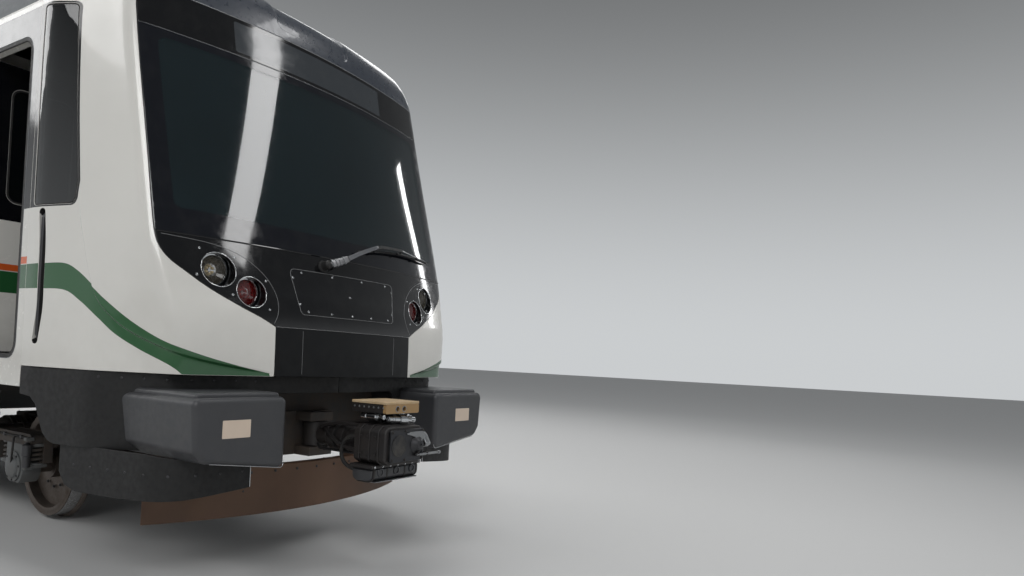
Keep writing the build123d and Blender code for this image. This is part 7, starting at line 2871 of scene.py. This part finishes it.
COUPLER_BLACK = chassis("coupler_black", (30, 30, 32), 0.42, 0.35, (62, 50, 40))
EDGE_STEEL = metal("machined_face", (74, 75, 78), 0.32, (1, 1, 1), 0.45)
CASE_DARK = paint("valve_case_paint", (44, 48, 54), 0.32, 0.3, 0.3, (84, 74, 62))
# Paler, rougher tan for the top face of the electric box than for its front
TAN_TOP = chassis("tan_top_paler", (168, 136, 92), 0.6, 0.7, (206, 194, 170))
coupler_head()
coupler_shank()
electric_box()
lower_case()
coupler_hose()


# Cab inside: the driver's seat and the desk's fittings
SEAT_X = at(1560)


PAD_RINGS, PAD_SIDES = 14, 40


def cushion(shape, middle, size, crown, turn):
    """A closed crowned pad with rounded sides about its middle; turn leans it back, in degrees."""
    half = np.array(size, float) / 2
    rings = []
    for k in range(PAD_RINGS + 1):
        a = -pi / 2 + pi * k / PAD_RINGS
        swell = np.sign(cos(a)) * abs(cos(a)) ** 0.42
        rise = np.sign(sin(a)) * abs(sin(a)) ** 0.7
        ring = []
        for j in range(PAD_SIDES):
            b = 2 * pi * j / PAD_SIDES
            u = np.sign(cos(b)) * abs(cos(b)) ** 0.36
            v = np.sign(sin(b)) * abs(sin(b)) ** 0.36
            x, y = half[0] * swell * u, half[1] * swell * v
            dome = crown * (1 - (x / half[0]) ** 2 * 0.8) * (1 - (y / half[1]) ** 2 * 0.8)
            ring.append((x, y, half[2] * rise + (dome if rise > 0 else 0) * abs(rise)))
        rings.append(ring)
    rings = np.array(rings)
    a = radians(turn)
    leaned = np.stack([rings[..., 0] * cos(a) - rings[..., 2] * sin(a), rings[..., 1],
                       rings[..., 0] * sin(a) + rings[..., 2] * cos(a)], -1)
    return shape.rings(leaned + np.asarray(middle, float))


def driver_seat():
    frame_shape = Shape()
    frame_shape.lathe([(0, 190), (10, 190), (22, 176), (24, 72), (40, 62), (300, 58), (306, 50), (340, 50)],
                      (SEAT_X, 0, FLOOR_TOP), (0, 0, 1), 40, 0)
    ring_of_bolts(frame_shape, (SEAT_X, 0, FLOOR_TOP + 12), (0, 0, 1), 150, 6, 12, 1)
    frame_shape.box(SEAT_X - 200, SEAT_X + 200, -190, 190, FLOOR_TOP + 322, FLOOR_TOP + 346, 8, 0)
    shell = rectangle(-236, 236, 0, 700, (40, 40, 90, 90), 6) + (0, FLOOR_TOP + 372)
    frame_shape.prism(shell, 0, at(1862), at(1846), 5, 0)
    for side in (-1, 1):
        frame_shape.tube([(at(1850), side * 190, FLOOR_TOP + 420), (at(1830), side * 232, FLOOR_TOP + 400),
                          (at(1700), side * 232, FLOOR_TOP + 350), (at(1640), side * 180, FLOOR_TOP + 336)],
                         16, 12, 0)
        frame_shape.tube([(at(1840), side * 236, FLOOR_TOP + 640), (at(1800), side * 238, FLOOR_TOP + 650),
                          (at(1560), side * 238, FLOOR_TOP + 650)], 12, 12, 1)
        frame_shape.box(at(1800), at(1540), side * 210, side * 239, FLOOR_TOP + 652, FLOOR_TOP + 684, 12, 0)
    frame_shape.tube([(at(1400), -200, FLOOR_TOP + 330), (at(1380), -236, FLOOR_TOP + 322),
                      (at(1340), -238, FLOOR_TOP + 320)], 8, 10, 1)
    frame_shape.piece("driver_seat_frame", "car_body", [BLACK_PLASTIC, STEEL], ["driver_seat"], "seat_fabric")
    for name, setback, rise, size, crown, turn in (("driver_seat_base", 1560, 396, (476, 470, 84), 12, 0),
                                                   ("driver_seat_back", 1812, 690, (560, 440, 60), 10, 90),
                                                   ("driver_head_rest", 1818, 1046, (130, 260, 52), 8, 90)):
        pad = Shape()
        cushion(pad, (at(setback), 0, FLOOR_TOP + rise), size, crown, turn)
        pad.piece(name, "car_body", [DRIVER_FABRIC], slot="seat_fabric")


def desk_fittings():
    shape = Shape()
    top = 2000
    for y in (-520, -170, 180, 530):
        face = rounded([(y - 140, 2008), (y + 140, 2008), (y + 132, 2140), (y - 132, 2140)], 12, 4)
        shape.prism(face, 0, at(880), at(800), 5, 0)
        shape.prism(inset(face, 12), 0, at(884), at(878), 1.5, 1)
    for side in (-1, 1):
        shape.lathe([(-2, 46), (6, 46), (10, 38), (12, 14), (90, 11), (94, 20), (110, 24), (126, 20),
                     (132, 4)], (at(1060), side * 330, top), (0, 0, 1), 28, 2)
        shape.box(at(1110), at(1000), side * 330 - 60, side * 330 + 60, top - 3, top + 5, 3, 0)
    for row in range(2):
        for k in range(9):
            shape.lathe([(-2, 13), (4, 13), (6, 10), (11, 10), (12, 0.5)],
                        (at(960 + row * 46), -190 + k * 44, top), (0, 0, 1), 16, 3 if (k + row) % 4 else 4)
    shape.piece("desk_fittings", "car_body", [BLACK_PLASTIC, DISPLAY, DARK_STEEL, STEEL, RED_LED])


driver_seat()
desk_fittings()


# Finishes of the CAD parts that stay as they are
def dress(material, *nodes):
    for node in nodes:
        for slot in NODES[node].material_slots:
            slot.material = material


dress(CHASSIS, "underframe", "bolsters", "front_coupler_mount", "rear_drawbar_mount")
dress(WHEEL_STEEL, "wheelset_1", "wheelset_2", "wheelset_3", "wheelset_4")
dress(DARK_STEEL, "rear_drawbar", "door_hinges")
dress(FLOOR, "floor")
dress(LINING, "saloon_ceiling", "cab_bulkhead", "bulkhead_door")
dress(POLE, "grab_poles")
dress(SEAT_SHELL, "bench_seats")
dress(DESK, "driver_desk")


# Stage: floor, backdrop light, lamps and the camera at the photograph's place
def hall_world():
    """Even light for the object, and a backdrop that darkens upwards.

    The backdrop is what the camera, mirrored rays and rays through glass see.
    """
    world = bpy.data.worlds.new("studio")
    bpy.context.scene.world = world
    world.use_nodes = True
    tree = world.node_tree
    tree.nodes.clear()
    path = tree.nodes.new("ShaderNodeLightPath")
    soft = tree.nodes.new("ShaderNodeBackground")
    soft.inputs[0].default_value = (0.94, 0.97, 1.0, 1)
    soft.inputs[1].default_value = 0.34
    direction = tree.nodes.new("ShaderNodeTexCoord")
    split = tree.nodes.new("ShaderNodeSeparateXYZ")
    tree.links.new(direction.outputs["Generated"], split.inputs[0])
    rise = tree.nodes.new("ShaderNodeMapRange")
    rise.interpolation_type = "SMOOTHSTEP"
    rise.inputs["From Min"].default_value = 0.02
    rise.inputs["From Max"].default_value = 0.55
    rise.inputs["To Min"].default_value = 0.62
    rise.inputs["To Max"].default_value = 0.16
    tree.links.new(split.outputs["Z"], rise.inputs["Value"])
    seen = tree.nodes.new("ShaderNodeBackground")
    seen.inputs[0].default_value = (0.95, 0.98, 1.0, 1)
    tree.links.new(rise.outputs[0], seen.inputs[1])
    most = path.outputs["Is Camera Ray"]
    for name in ("Is Glossy Ray", "Is Transmission Ray"):
        either = tree.nodes.new("ShaderNodeMath")
        either.operation = "MAXIMUM"
        tree.links.new(most, either.inputs[0])
        tree.links.new(path.outputs[name], either.inputs[1])
        most = either.outputs[0]
    mix = tree.nodes.new("ShaderNodeMixShader")
    tree.links.new(most, mix.inputs[0])
    tree.links.new(soft.outputs[0], mix.inputs[1])
    tree.links.new(seen.outputs[0], mix.inputs[2])
    output = tree.nodes.new("ShaderNodeOutputWorld")
    tree.links.new(mix.outputs[0], output.inputs[0])


def hall_floor():
    half = 80.0
    mesh = bpy.data.meshes.new("studio_floor")
    mesh.from_pydata([(-half, -half, 0), (half, -half, 0), (half, half, 0), (-half, half, 0)], [],
                     [(0, 1, 2, 3)])
    floor = bpy.data.objects.new("studio_floor", mesh)
    bpy.context.scene.collection.objects.link(floor)
    m = bpy.data.materials.new("studio_floor")
    m.use_nodes = True
    shader = m.node_tree.nodes["Principled BSDF"]
    shader.inputs["Base Color"].default_value = (0.52, 0.52, 0.515, 1)
    shader.inputs["Roughness"].default_value = 0.7
    mesh.materials.append(m)


def area_lamp(name, place, target, size, power, along=None):
    """A rectangle of light that faces target, with its length along a direction if one is given."""
    light = bpy.data.lights.new(name, "AREA")
    light.shape = "RECTANGLE"
    light.size, light.size_y = size
    light.energy = power
    lamp = bpy.data.objects.new(name, light)
    lamp.location = place
    back = (Vector(place) - Vector(target)).normalized()
    length = Vector((0, 0, 1) if along is None else along)
    if along is None and abs(back.z) > 0.99:
        length = Vector((0, 1, 0))
    across = length.cross(back).normalized()
    length = back.cross(across)
    lamp.rotation_euler = Matrix((across, length, back)).transposed().to_euler()
    bpy.context.scene.collection.objects.link(lamp)


# Place in metres, and directions of the picture's axes, as solved from the photograph
CAMERA_PLACE = (14.8048, -3.7720, 1.4776)
CAMERA_RIGHT = (0.84463, 0.53328, 0.04697)
CAMERA_DOWN = (0.02867, 0.04255, -0.99868)
CAMERA_AHEAD = (-0.53457, 0.84487, 0.02065)
FOCAL_PIXELS = 710.35
PRINCIPAL_ROW = 346.6
FRAME_WIDTH, FRAME_HEIGHT = 1024, 576
SENSOR = 36.0


def photo_camera():
    data = bpy.data.cameras.new("photo_camera")
    data.sensor_width = SENSOR
    data.lens = FOCAL_PIXELS / FRAME_WIDTH * SENSOR
    data.shift_y = (PRINCIPAL_ROW - FRAME_HEIGHT / 2) / FRAME_WIDTH
    data.clip_start, data.clip_end = 0.05, 400
    camera = bpy.data.objects.new("photo_camera", data)
    camera.matrix_world = Matrix((
        (CAMERA_RIGHT[0], -CAMERA_DOWN[0], -CAMERA_AHEAD[0], CAMERA_PLACE[0]),
        (CAMERA_RIGHT[1], -CAMERA_DOWN[1], -CAMERA_AHEAD[1], CAMERA_PLACE[1]),
        (CAMERA_RIGHT[2], -CAMERA_DOWN[2], -CAMERA_AHEAD[2], CAMERA_PLACE[2]),
        (0, 0, 0, 1),
    ))
    bpy.context.scene.collection.objects.link(camera)
    bpy.context.scene.camera = camera


hall_world()
hall_floor()
photo_camera()
bpy.context.scene.view_settings.view_transform = "Standard"
area_lamp("key", (18, -10, 10), (10, -1, 2), (6, 6), 620)
area_lamp("skylight", (15.9, 3.1, 9.0), (10.8, -0.5, 2.6), (0.95, 7.0), 170, along=(-0.62, 0.42, 0.66))
area_lamp("far_strip", (12.6, 11.0, 6.4), (10.8, 0.6, 2.6), (0.35, 4.0), 60, along=(0, 0.2, 1))
area_lamp("top", (-1, 0, 13), (-1, 0, 3), (24, 7), 1500)
area_lamp("side_right", (-4, -11, 11), (-4, 0, 2), (22, 4), 900)
area_lamp("side_left", (-4, 11, 11), (-4, 0, 2), (22, 4), 900)
area_lamp("tail", (-20, 0, 7), (-11, 0, 2), (6, 4), 420)
